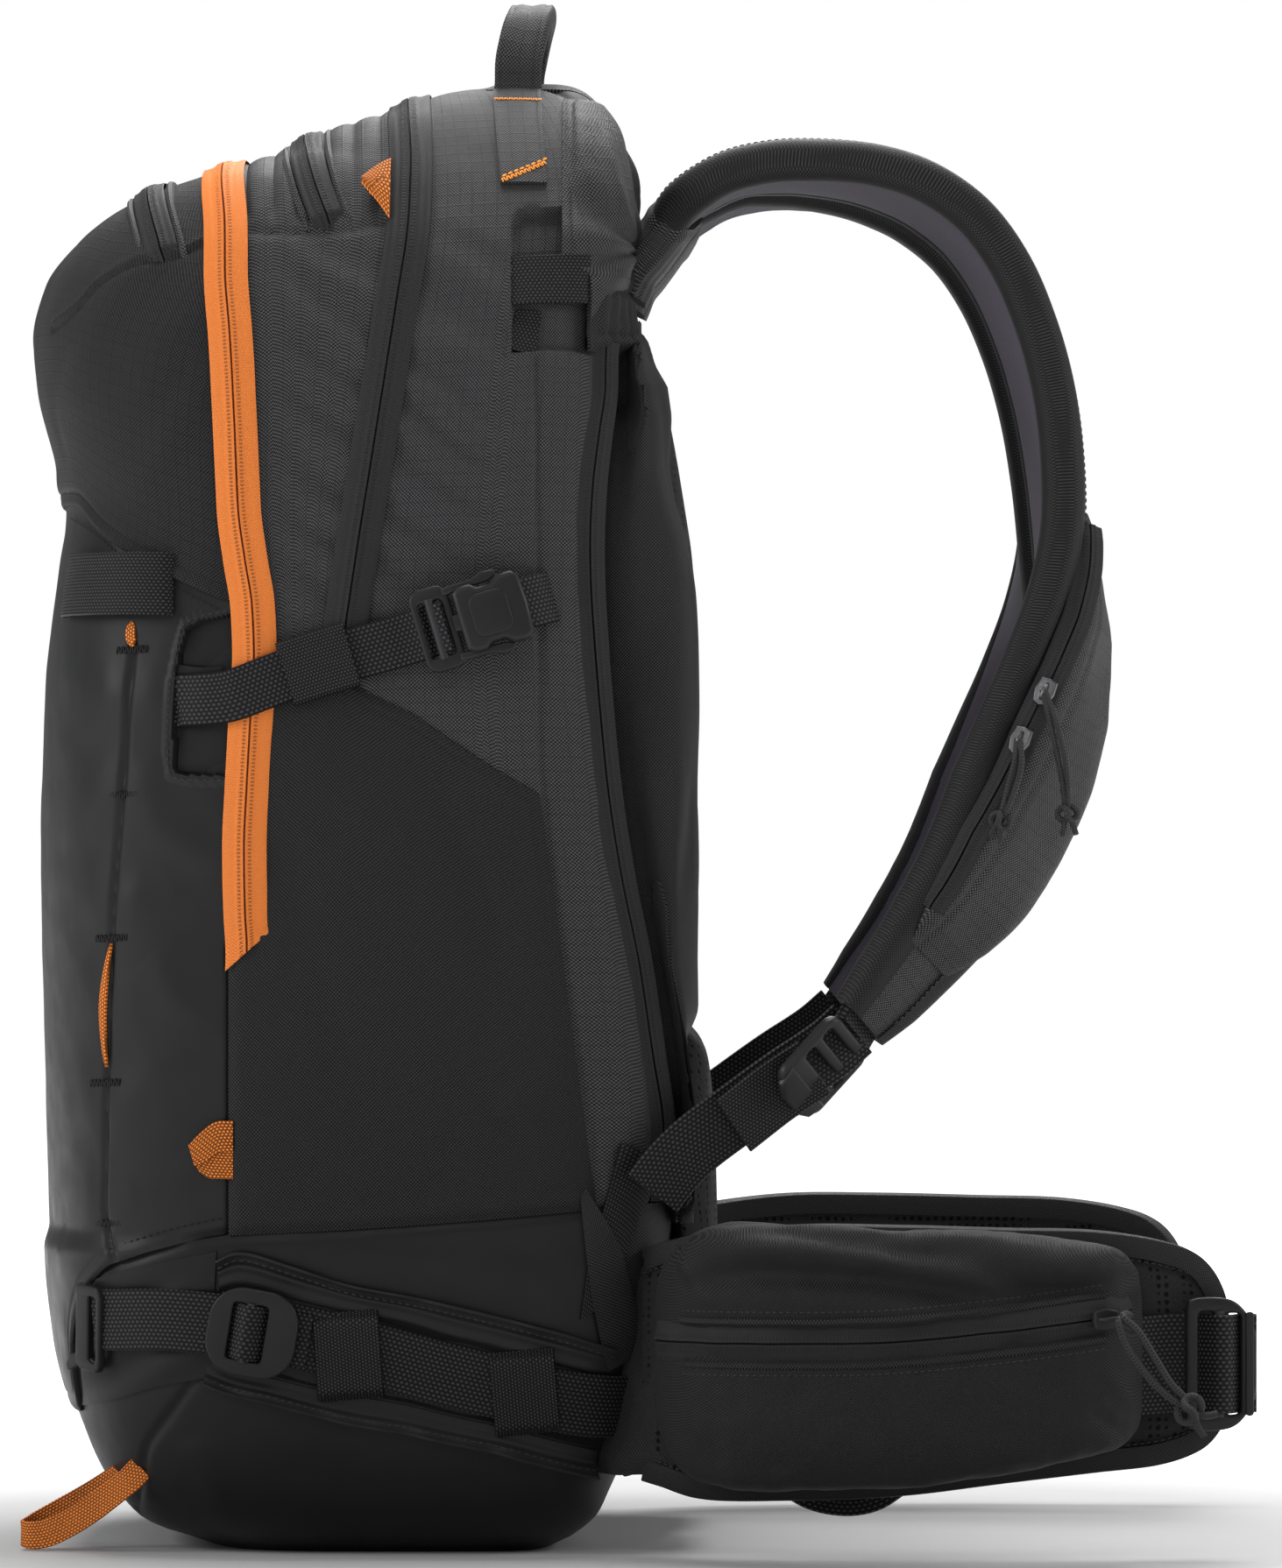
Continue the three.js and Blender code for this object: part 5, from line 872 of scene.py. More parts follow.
def zip_strip(name, P, N, w, mat, lift=0.9, step=0.62, coil=3.5, skew=(0, 0), body="pack", scale=1.0, fade=0.0):
    n = int(np.linalg.norm(np.diff(P, axis=0), axis=1).sum() / step); t = np.linspace(0, 1, n); P2 = resample(P, n)
    N2 = unit(np.stack([np.interp(t, np.linspace(0, 1, len(N)), N[:, k]) for k in range(3)], -1))
    xs = A([-w / 2, -w / 2 + 0.5, -coil - 1.5, -coil, -2.75, -2.1, -1.45, -0.42, -0.15, 0.15, 0.42, 1.45, 2.1, 2.75, coil, coil + 1.5, w / 2 - 0.5, w / 2])
    up = A([0.2, 0.75, 0.8, 1.25, 1.8, 1.9, 2.0, 2.15, 1.2, 1.2, 2.15, 2.0, 1.9, 1.8, 1.25, 0.8, 0.75, 0.2]) * scale
    top = np.stack([xs, up], -1)[::-1]; bot = np.stack([np.linspace(-w / 2, w / 2, 6), np.full(6, -0.5)], -1); sc = np.concatenate([bot[1:-1], top]); sc = np.repeat(sc[None], n, 0)
    L = np.r_[0, np.cumsum(np.linalg.norm(np.diff(P2, axis=0), axis=1))]; dent = 0.3 * np.cos(2 * PI * L / 1.45)
    k = np.isin(np.round(np.abs(sc[0, :, 0]), 2), [2.1, 1.45, 2.75]) & (sc[0, :, 1] > 0.5); sc[:, k, 1] += dent[:, None] * 0.5 - 0.15
    wav = 0.22 * fbm(P2, 30, 71, 2); sc[..., 0] += wav[:, None]
    sc[..., 1] += lift
    if fade: sc[..., 1] -= (3.4 * (2 - smooth01(L / fade) - smooth01((L[-1] - L) / fade)))[:, None]
    T, S, U = frames(P2, N2); V = P2[:, None] + S[:, None] * sc[..., :1] + U[:, None] * sc[..., 1:]
    f0 = np.exp(-(L / 7.0) ** 2); f1 = np.exp(-((L[-1] - L) / 7.0) ** 2); V += T[:, None] * (sc[..., :1] / w * (skew[0] * f0 + skew[1] * f1)[:, None, None])
    m = sc.shape[1]; a = np.arange(n - 1); F = []
    for j in range(m): F += np.stack([a * m + j, a * m + (j + 1) % m, (a + 1) * m + (j + 1) % m, (a + 1) * m + j], -1).tolist()
    F += [list(range(m))[::-1], [(n - 1) * m + j for j in range(m)]]
    uv = np.stack([np.repeat(L[:, None], m, 1), sc[..., 0]], -1)
    return make(name, V.reshape(-1, 3), F, mat, uv.reshape(-1, 2), 50, body)


def across_stitches(name, P, N, mat, pitch=1.15, length=2.8, r=0.32, lift=0.0, body="pack"):
    """a bartack: short threads laid across a line"""
    P = np.asarray(P, float); T = unit(np.gradient(P, axis=0)); S = unit(np.cross(T, N)); L = np.r_[0, np.cumsum(np.linalg.norm(np.diff(P, axis=0), axis=1))]; s = np.arange(pitch / 2, L[-1], pitch); objs = []
    V, F, b = [], [], 0
    for i, q in enumerate(s):
        c = A([np.interp(q, L, P[:, k]) for k in range(3)]); t = unit(A([np.interp(q, L, T[:, k]) for k in range(3)])); n = unit(A([np.interp(q, L, np.asarray(N)[:, k]) for k in range(3)])); d = unit(np.cross(t, n) + t * (0.22 if i % 2 else -0.22)); sd = np.cross(d, n)
        for u, g in ((-0.5, 0.3), (-0.3, 1.0), (0.3, 1.0), (0.5, 0.3)):
            for a, h in ((-1, -0.2), (-0.6, 0.8), (0.6, 0.8), (1, -0.2), (0, -0.8)): V.append(c + d * u * length + sd * a * r * g + n * (lift + h * r * g + (0.25 if abs(u) < 0.4 else -0.3) * r))
        F += [[b + i2 * 5 + j, b + i2 * 5 + (j + 1) % 5, b + (i2 + 1) * 5 + (j + 1) % 5, b + (i2 + 1) * 5 + j] for i2 in range(3) for j in range(5)] + [[b + 4, b + 3, b + 2, b + 1, b], [b + 15 + j for j in range(5)]]; b += 20
    return make(name, V, F, mat, None, 60, body)


def sides(fn, *names):
    """builds a piece on the right, then mirrors it to the left"""
    o = fn(); o.name = names[0] + "_right"; both(o); return o


# ------------------------------------------------------------------ zips over the top
def arch_zip(name, f, z0, w, mat, lift=0.9, skew=(0, 0), scale=1.0, fade=0.0):
    P = arch(f, z0, step=2.0); return zip_strip(name, P, nrm(P), w, mat, lift, skew=skew, scale=scale, fade=fade)


XG = curve([[514.5, -14.8], [524.6, -19.1], [534.7, -22.5], [544.8, -24.9], [553, -26]]); XA = curve([[501, -79], [507, -80.5], [516, -83.2], [523.6, -85.6], [535, -88]])
z_o = arch_zip("front_zip_tape", XO, 234.0, 17.2, m_orange_zip, 1.0, skew=(15, -15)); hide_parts("front_zip"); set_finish(z_o, "orange_textile")
z_m = arch_zip("main_zip_tape", XM, 345.0, 17.0, m_zip, 1.0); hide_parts("main_zip"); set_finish(z_m, "zip_tape")
z_g = arch_zip("goggle_zip_tape", XG, 513.5, 13.0, m_zip, 1.5, scale=0.9, fade=7.0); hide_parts("goggle_zip"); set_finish(z_g, "zip_tape")
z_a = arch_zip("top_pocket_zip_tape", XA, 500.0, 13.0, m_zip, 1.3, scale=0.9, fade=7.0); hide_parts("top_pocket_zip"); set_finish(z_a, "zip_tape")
for nm, f, z0, off, lift in (("goggle", XG, 513.5, 8.6, 1.2), ("top_pocket", XA, 500.0, 8.4, 1.0)):
    for k, sg in (("front", -1), ("rear", 1)):
        q = arch(lambda z, f=f, sg=sg, off=off: f(z) + sg * off, z0, step=2.2)
        if len(q) > 8:
            e = np.minimum(np.arange(len(q)), np.arange(len(q))[::-1]) * 2.2; o = sweep(f"{nm}_zip_piping_{k}", q - nrm(q) * (1.8 * (1 - smooth01(e / 8)))[:, None], nrm(q), [(-1.7, -0.5), (-1.2, 1.2), (0, 1.75), (1.2, 1.2), (1.7, -0.5)], m_rip, "pack")


BZ = [[115.5, 158], [112.4, 170], [108.4, 195.3], [103.3, 229.2], [96.5, 263], [91.4, 296.9], [88.1, 330.8], [86, 358], [85, 375], [84.7, 395], [85.7, 415.4], [88, 436], [90.5, 450], [95.2, 462], [99, 470]]


def back_zip():
    q = spline([(min(x, float(XB(z)) - 7.5), 0, z) for x, z in BZ], step=2.0); P = np.stack([q[:, 0], -side_y(q[:, 0], q[:, 2]), q[:, 2]], -1); N = nrm(P)
    N = unit(N * [0.35, 1, 1] + A([0.05, -0.15, 0])); return zip_strip("back_zip_right", P, N, 13.6, m_zip, 1.2)


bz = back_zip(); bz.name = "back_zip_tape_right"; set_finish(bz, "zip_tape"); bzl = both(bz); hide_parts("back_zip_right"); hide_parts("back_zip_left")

# ------------------------------------------------------------------ boot: flaps, channel, ski strap
UT = [(-57.5, 115), (-49.8, 118.5), (-27.6, 112.7), (-8.3, 106.3), (14.6, 101.9), (27.4, 99.2), (52.4, 93.2), (79, 86.1), (94.2, 80.7)]
UB = [(-57, 105.5), (-49, 107.3), (-23.2, 100.3), (-2, 95.5), (14.6, 92.2), (30, 87.5), (52.4, 82), (81, 74.3), (94, 71.0)]
LT = [(-61.3, 77.3), (-52, 73.2), (-37.4, 69.6), (-17.8, 64.8), (14.6, 59.1), (32, 54.8), (52.4, 50.3), (72, 45), (88, 40.9)]
LB = [(-62.3, 66.9), (-52, 63), (-37.4, 59.8), (-8.3, 52), (14, 48.2), (27.4, 45.3), (52.4, 40.2), (68, 36), (86, 31.4)]


def flap(name, a, b, up):
    def lift(u, v):
        w = 1 - v if up else v; wave = 0.9 * np.sin(u * 31 + 1.3) + 0.6 * np.sin(u * 57); return 0.9 + 3.4 * smooth01((w - 0.2) / 0.8) + 0.45 * wave * smooth01((w - 0.5) / 0.5) - 0.55 * np.exp(-((w - 0.55) / 0.07) ** 2) + 0.8 * np.exp(-((w - 0.93) / 0.08) ** 2)
    return strip(name, a, b, m_coat, lift, 2.1, rows=26, cols=190)


sides(lambda: flap("f", UT, UB, True), "boot_flap_upper"); sides(lambda: flap("f", LT, LB, False), "boot_flap_lower")
sides(lambda: side_stitch("s", [(x, z - 3.3) for x, z in UT], m_thread_lit, 3.3, pitch=3.0, length=2.0, r=0.26), "flap_stitch_upper")
sides(lambda: side_stitch("s", [(x, z + 3.0) for x, z in LB], m_thread_lit, 3.3, pitch=3.0, length=2.0, r=0.26), "flap_stitch_lower")
# the strap channel between the flaps uses the darker cloth as painted shade of the recess
sides(lambda: strip("c", [(x, z - 1.0) for x, z in UB], [(x, z + 1.0) for x, z in LT], m_recess_shade_cloth, lambda u, v: 0.5 - 1.2 * np.sin(PI * v) ** 0.5, 1.4, rows=20, cols=120), "strap_channel")
SKI = [(-57, 91.2), (-52.9, 90.5), (-29.9, 86.4), (0.4, 79.3), (27.4, 71.9), (52.4, 65.9), (74.6, 60.8), (90, 58.6), (101, 58.2)]
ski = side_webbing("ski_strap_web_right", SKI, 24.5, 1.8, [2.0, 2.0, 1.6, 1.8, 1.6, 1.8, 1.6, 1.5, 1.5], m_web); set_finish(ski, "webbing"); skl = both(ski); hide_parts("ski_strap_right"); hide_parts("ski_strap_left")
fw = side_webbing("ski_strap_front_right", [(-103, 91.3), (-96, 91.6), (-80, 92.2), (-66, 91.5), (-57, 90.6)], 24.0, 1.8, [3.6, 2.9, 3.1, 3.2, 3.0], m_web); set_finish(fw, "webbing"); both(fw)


def keeper(name, x, zc, h, w, lift, mat, tilt=0.0):
    n = 34; t = np.linspace(-1, 1, n); z = zc + t * h / 2; xx = x + tilt * t; P = np.stack([xx, -side_y(xx, z), z], -1); N = nrm(P)
    L = 0.6 + (lift - 0.6) * smooth01((1 - np.abs(t)) / 0.22); P = P + N * L[:, None]
    return sweep(name, P, N, flat_section(w, 1.3, 0, 0.5, 17), mat, "pack", angle=35)


sides(lambda: keeper("k", -7.3, 78.4, 32.5, 25.5, 4.4, m_elastic, -1.2), "strap_keeper_front"); sides(lambda: keeper("k", 60.5, 64.2, 31, 25, 4.4, m_elastic, -1.2), "strap_keeper_rear")
# ruffled cloth between the front hem and the slider
def ruffle():
    return strip("r", [(-108, 106), (-92, 110.5), (-74, 115), (-58, 118.5)], [(-112, 56), (-98, 60), (-80, 66), (-60, 70)], m_coat_dark, lambda u, v: 1.0 + 1.1 * np.sin(u * 6 + v * 11) * np.sin(PI * v), 1.2, rows=60, cols=44)
sides(ruffle, "front_gusset")


def P3(*v): return A(v, float)


def oval_slider():
    U, Nn = A([0.980563, -0.090971, -0.173842]), nrm(A([-49.0, -141.162, 89.3])); W = unit(np.cross(Nn, U)); p = A([-43.5, 0, 87.6]); p[1] = -float(side_y(p[0], p[2])); M = place(U, W, unit(np.cross(U, W)), p)
    o = plate("s", rrect(35, 34, 13, 10), [rrect(5.0, 22, 1.6, 4, -6.2, 0), rrect(5.0, 22, 1.6, 4, 2.6, 0)], 4.6, 8.0, 0.9, m_plastic, M, "ski_strap_slider_right", 3)
    b = sweep("b", A([[-1.8, -11.5, 8.3], [-1.8, 11.5, 8.3]]) @ M[:3, :3].T + M[:3, 3], np.tile(M[:3, 2], (2, 1)), round_section(1.5, 12), m_plastic, "ski_strap_slider_right")
    return join("oval_slider_right", [o, b])


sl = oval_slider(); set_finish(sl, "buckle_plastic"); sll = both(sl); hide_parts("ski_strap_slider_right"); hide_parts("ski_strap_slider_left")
# the webbing that doubles back through the slider
def slider_web():
    U, Nn = A([0.980563, -0.090971, -0.173842]), nrm(A([-49.0, -141.162, 89.3])); W = unit(np.cross(Nn, U)); p = A([-43.5, 0, 87.6]); p[1] = -float(side_y(p[0], p[2])); Z = unit(np.cross(U, W))
    q = [(-20, 3.4), (-12, 4.0), (-8.6, 4.6), (-6.2, 7.0), (-3.6, 9.6), (-1.8, 10.3), (0.2, 9.6), (2.6, 7.0), (5.4, 4.2), (12, 3.3), (22, 3.0)]
    P = spline([p + U * a + Z * b for a, b in q], step=1.0); T = unit(np.gradient(P, axis=0)); N = unit(np.cross(W[None], T)); N *= np.sign((N @ Z))[:, None]
    return sweep("w", P, N, flat_section(21.5, 1.6, -0.8, 0.5, 15), m_web, "pack", angle=35)
sides(slider_web, "slider_webbing")


def hook():
    H = A([-103.0, 0, 88.0]); H[1] = -float(side_y(H[0], H[2])); HU, HN = A([0.65024, -0.742855, -0.159231]), nrm(H); HW_ = unit(np.cross(HN, HU)); Z = unit(np.cross(HU, HW_)); M = place(HU, HW_, Z, H)
    o = plate("h", rrect(15, 34, 4, 5, -1.5, 0), [rrect(4.6, 26, 1.4, 4, 1.2, 0)], 3.4, 7.0, 0.9, m_plastic, M, "ski_strap_hook_right", 3)
    n = plate("n", [(-6, -17), (3, -17), (3.5, -13), (-2, -11.5), (-7, -10.5), (-13, -12.5), (-16.5, -17), (-15, -19.5), (-10.5, -17.5), (-8.6, -16.2)], [], 2.2, 6.0, 0.7, m_plastic, M, "ski_strap_hook_right", 3)
    c = plate("c", [(-9, 16.5), (-4, 17.5), (-3, 13), (-8, 10), (-11, 13)], [], 2.6, 6.4, 0.7, m_plastic, M, "ski_strap_hook_right", 3)
    return join("strap_hook_right", [o, n, c])


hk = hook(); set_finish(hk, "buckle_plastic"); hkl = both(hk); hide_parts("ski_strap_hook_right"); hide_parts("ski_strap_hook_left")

# ------------------------------------------------------------------ front: hem stitching, daisy seam, loops
def seam_tacks():
    o = []
    for z in (350.5, 294.5, 239, 183, 128.5):
        x = float(np.interp(z, [p[1] for p in SEAM_F][::-1], [p[0] for p in SEAM_F][::-1])); q, N = on([(x - 6.3, z - 0.3), (x, z), (x + 6.3, z + 0.4)], 0.5, -1, 1.0); o.append(across_stitches("t", q, N, m_thread, 1.1, 3.0, 0.38))
    return join("seam_bartacks", o)
sides(seam_tacks, "seam_bartacks")
sides(lambda: side_stitch("h", [(x, z + 6.2) for x, z in [(-100.8, 112.1), (-83.9, 118.1), (-68.7, 122.2), (-54.5, 125.2)]], m_thread, 1.0, pitch=2.9, length=1.9, r=0.27), "hem_stitch")


def orange_peek(z0, z1, w, dx, name):
    z = np.linspace(z0, z1, 40); x = np.interp(z, [p[1] for p in SEAM_F][::-1], [p[0] for p in SEAM_F][::-1]) + dx * np.sin(PI * (z - z0) / (z1 - z0)); P = np.stack([x, -side_y(x, z), z], -1); N = nrm(P)
    return sweep(name, P + N * 0.4, N, [(-0.5, -0.8), (0.5, -0.8), (0.5, 0.35), (0, 0.8), (-0.5, 0.35)], m_orange_web, "pack", wscale=np.maximum(w * np.sin(PI * np.linspace(0.02, 0.98, 40)) ** 0.7, 0.3))
sides(lambda: orange_peek(189, 237, 3.4, -2.2, "o"), "seam_webbing_lower"); sides(lambda: orange_peek(351.5, 361.5, 4.6, -0.8, "o"), "seam_webbing_upper"); sides(lambda: orange_peek(383.5, 388.8, 3.4, 0, "o"), "seam_webbing_top")


def shaft_loop():
    q, N = on([(-75.5, 375.5), (-80, 375.4), (-88, 375.3), (-96, 375.1), (-104, 375), (-110.5, 375), (-115.5, 375)], 0, -1, 1.2); t = np.linspace(0, 1, len(q)); L = 0.8 + 6.2 * np.clip(np.sin(PI * t), 0, 1) ** 0.45
    return sweep("l", q + N * L[:, None], N, flat_section(24.5, 1.9, 0, 0.5, 17), m_web_fine, "pack", angle=35)
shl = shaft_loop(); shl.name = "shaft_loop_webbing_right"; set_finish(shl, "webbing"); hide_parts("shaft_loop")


def slot_parts():
    o = [strip("p", [(-71, 360), (-60, 362), (-46, 364)], [(-74, 303.5), (-60, 302.8), (-46, 302)], m_coat_dark, lambda u, v: -3.6 + 0.8 * np.sin(v * 9 + u * 3), 0.8, rows=40, cols=24)]
    s = strip("q", [(-75, 345), (-64, 343.5), (-56, 344)], [(-74, 327.5), (-64, 326.5), (-56, 326)], m_coat, lambda u, v: -1.5 - 1.0 * v, 0.8, rows=14, cols=20); o.append(s)
    return join("slot_lining", o)
sides(slot_parts, "slot_lining")
sides(lambda: side_stitch("s", [(-53, 365.4), (-64.5, 362.9), (-70.7, 359.6), (-73.3, 350), (-75.6, 337.4), (-76.6, 323.9), (-76.6, 310.4), (-75.2, 302), (-65.3, 300.3), (-53, 300.3)], m_thread_lit, 1.0, pitch=2.9, length=1.8, r=0.25), "slot_stitch")
sides(lambda: side_stitch("s", [(-116, 402.5), (-104.1, 394.3), (-95.7, 387.4), (-87.3, 382), (-73.8, 374.5), (-60.3, 367.7), (-56, 366)], m_thread, 1.6, pitch=2.6, length=1.8, r=0.25), "pocket_hem_stitch")
sides(lambda: side_stitch("s", [(-124, 479), (-114.3, 485.4), (-104.1, 495.6), (-90.6, 502.3), (-73.8, 505.7), (-64, 510.4)], m_thread_lit, 1.0, pitch=2.6, length=1.8, r=0.24), "pocket_arc_stitch")


# ------------------------------------------------------------------ orange tabs
def zip_tab():
    return strip("t", [(8.2, 540.6), (3.5, 536.6), (-2.9, 530.4)], [(8.2, 516.8), (3.5, 522.4), (-2.9, 528.6)], m_orange_web, lambda u, v: 2.6 + 4.2 * u ** 0.8 + 1.3 * np.sin(PI * v), 1.5, rows=22, cols=18)
sides(zip_tab, "zip_pull_tab")


def side_tab():
    a = strip("a", [(-51.5, 168.9), (-58, 168.6), (-63.5, 164.5), (-67.9, 159.6)], [(-51.5, 157.4), (-57, 156.8), (-61.5, 153.4), (-65.6, 151.6)], m_orange_web, lambda u, v: 1.6 + 2.4 * u, 1.4, rows=16, cols=22)
    b = strip("b", [(-67.9, 159.6), (-62, 158.6), (-56, 157.6), (-51.5, 157.4)], [(-64.4, 149.4), (-60.3, 146.8), (-56, 146.6), (-51.5, 146.4)], m_orange_web, lambda u, v: 2.6 - 1.6 * u, 1.3, rows=16, cols=22)
    return join("side_pull_tab", [a, b])
sides(side_tab, "side_pull_tab")


def axe_loop():
    q = [(-88.5, -111.5, 33), (-94, -110.5, 27.5), (-104, -106.5, 19.5), (-115, -103, 12), (-126, -99.5, 6.6), (-133.4, -96.2, 5.6), (-135.8, -91.5, 6.4), (-132, -87.2, 8.2), (-122, -86, 13.5), (-110, -88, 20.5), (-100, -93, 27.5), (-93, -100.5, 33.5), (-89.5, -107, 37)]
    P = spline(q, step=1.0); T = unit(np.gradient(P, axis=0)); N = unit(np.cross(A([0, 0, 1.0]), T)); N = unit(N + A([0, 0, 0.28]) * np.linspace(1, -1, len(P))[:, None])
    w = np.interp(np.linspace(0, 1, len(P)), [0, 0.42, 0.5, 0.6, 1], [10.8, 10.8, 9.8, 10.4, 10.4]) / 10.8
    return sweep("axe_loop_ribbon", P, N, flat_section(10.8, 1.5, -0.75, 0.4, 9), m_orange_web, None, wscale=w, angle=35)


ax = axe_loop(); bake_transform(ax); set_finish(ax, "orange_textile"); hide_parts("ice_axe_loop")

# ------------------------------------------------------------------ compression strap and its side-release buckle
BP, BU = A([40.0, -145.731, 361.5]), A([0.957676, 0.028818, 0.286402]); BN = A([0.019015, -0.999136, 0.03695]); BW = unit(np.cross(BN, BU)); BM = place(BU, BW, unit(np.cross(BU, BW)), BP)


def bpt(u, n, w=0.0): return BP + BU * u + BM[:3, 2] * n + BW * w


def compression_web():
    a, Na = on([(-76.5, 329.6), (-73.8, 330.6), (-64, 331.1), (-52.9, 332.3), (-42, 336.2), (-29.9, 340.8), (-18, 344.6), (-6.3, 348.2)], 0, -1, 1.5); t = np.linspace(0, 1, len(a)); a = a + Na * np.interp(t, [0, 0.06, 0.2, 0.36, 0.75, 1], [-2.6, -1.2, 2.0, 3.7, 3.3, 3.2])[:, None]
    b = A([bpt(u, n) for u, n in ((-34, 3.6), (-26, 4.0), (-20, 5.8), (-15.5, 9.4), (-12.5, 12.4), (-9.8, 13.2))]); P = spline(np.vstack([a[::3], b]), step=1.2)
    N = np.vstack([Na[::3], np.tile(BM[:3, 2], (len(b), 1))]); N = unit(np.stack([np.interp(np.linspace(0, 1, len(P)), np.linspace(0, 1, len(N)), N[:, k]) for k in range(3)], -1)); T = unit(np.gradient(P, axis=0)); N = unit(N - T * (N * T).sum(1)[:, None])
    return sweep("c", P, N, flat_section(20, 1.8, -0.4, 0.5, 15), m_web, "pack", angle=35)
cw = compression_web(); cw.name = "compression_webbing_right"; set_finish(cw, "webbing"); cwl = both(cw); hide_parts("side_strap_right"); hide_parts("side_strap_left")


def comp_keeper():
    q, N = on([(-31.2, 340.4), (-18.5, 344.6), (-5.8, 348.4)], 0, -1, 1.0); sc = flat_section(25.6, 4.6, 2.4, 1.4, 19); return sweep("k", q, N, sc, m_elastic, "pack", angle=35)
sides(comp_keeper, "compression_keeper")


def tail_web():
    P = spline([bpt(12, 8.5), bpt(21, 8.0), bpt(26, 5.6), bpt(30, 2.5), bpt(32.5, -1.5)], step=1.2); T = unit(np.gradient(P, axis=0)); N = unit(np.cross(BW[None], T)); N *= np.sign(N @ BM[:3, 2])[:, None]
    return sweep("t", P, N, flat_section(20, 1.8, -0.9, 0.5, 15), m_web, "pack", angle=35)
sides(tail_web, "buckle_tail")


def socket():
    out = [(-4.5, -11.2), (-4.5, 11.2), (-1.5, 13.2), (3.0, 13.2), (5.5, 11.2), (10.5, 11.2), (13.5, 13.6), (19.5, 13.8), (22.2, 11.5), (22.8, 0), (22.2, -11.5), (19.5, -13.8), (13.5, -13.6), (10.5, -11.2), (5.5, -11.2), (3.0, -13.2), (-1.5, -13.2)]
    o = plate("s", out, [], 7.4, 16.4, 2.2, m_plastic, BM, "pack", 4); o2 = plate("s2", rrect(15, 17, 4, 6, 8.0, 0), [], 15.6, 16.9, 0.6, m_plastic, BM, "pack", 3)
    return join("buckle_socket_right", [o, o2])


def plug():
    o = [plate("p", rrect(15.5, 33, 5, 8, -13.5, 0), [rrect(3.0, 21.6, 1.2, 4, -17.1, 0), rrect(3.0, 21.6, 1.2, 4, -10.6, 0)], 9.4, 13.2, 1.2, m_plastic, BM, "side_buckle_plug_right", 3)]
    for s in (-1, 1): o.append(plate("a", [(-8, s * 14.6), (-8, s * 11.4), (4, s * 12.0), (10.2, s * 12.2), (14.2, s * 13.4), (13.4, s * 16.0), (8.6, s * 16.6), (4, s * 14.9)][::s], [], 9.9, 13.9, 1.0, m_plastic, BM, "side_buckle_plug_right", 3))
    o.append(plate("t", [(-8, -3.2), (-8, 3.2), (5.5, 3.2), (5.5, -3.2)], [], 10.2, 13.2, 0.7, m_plastic, BM, "side_buckle_plug_right", 2))
    o.append(sweep("bar", A([bpt(-13.8, 12.2, -12), bpt(-13.8, 12.2, 12)]), np.tile(BM[:3, 2], (2, 1)), round_section(1.8, 12), m_plastic, "side_buckle_plug_right"))
    return join("buckle_plug_right", o)


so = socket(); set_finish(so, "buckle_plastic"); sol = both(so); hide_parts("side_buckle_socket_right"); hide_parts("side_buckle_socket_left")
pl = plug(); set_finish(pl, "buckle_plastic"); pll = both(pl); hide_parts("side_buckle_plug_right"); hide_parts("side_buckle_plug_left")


# ------------------------------------------------------------------ carry handle
def sup(a, b, n, m=44, e2=None):
    t = np.linspace(0, 2 * PI, m, endpoint=False); c, s = np.cos(t), np.sin(t); e2 = e2 or n
    return np.stack([a * np.sign(c) * np.abs(c) ** (2 / n), b * np.sign(s) * np.abs(s) ** (2 / e2)], -1)


def handle():
    q = [(56.6, -46.5, 568.5), (57, -44.8, 576), (57.2, -44, 584), (58.5, -41.5, 591), (60.5, -34, 599.5), (62, -20, 604), (62.4, 0, 605.4), (62, 20, 604), (60.5, 34, 599.5), (58.5, 41.5, 591), (57.2, 44, 584), (57, 44.8, 576), (56.6, 46.5, 568.5)]
    P = spline(q, step=1.4); T = unit(np.gradient(P, axis=0)); N = unit(np.cross(T, A([1.0, 0, 0]))); N *= np.sign((N * (P - A([57, 0, 560]))).sum(1))[:, None]
    k = np.abs(np.linspace(-1, 1, len(P))); sc = np.stack([sup(9.3, 2.6 + 1.6 * (1 - smooth01((v - 0.55) / 0.4)), 5, 56, 2.6) for v in k]); x = sc[..., 0]
    sc[..., 1] += np.where(sc[..., 1] > 0, -0.75 * np.exp(-(x / 1.0) ** 2) + 0.5 * np.exp(-((np.abs(x) - 8.0) / 1.0) ** 2) - 0.3 * np.exp(-((np.abs(x) - 6.4) / 0.7) ** 2), 0)
    sc[..., 1] += 0.35 * fbm(np.stack([x * 1.0, np.repeat(np.linspace(0, 160, len(P))[:, None], x.shape[1], 1), sc[..., 1]], -1), 14, 61, 2)
    o = sweep("carry_handle_grip", P, N, sc, m_rip, None, angle=50); st = []
    for off in (0.0,):
        T2, S2, U2 = frames(P, N); st.append(stitches("hs", P + S2 * off + U2 * 3.4 * (1 - 0.25 * k[:, None]), U2, m_thread_lit, None, 2.6, 1.7, 0.26, -0.45))
    return o, st


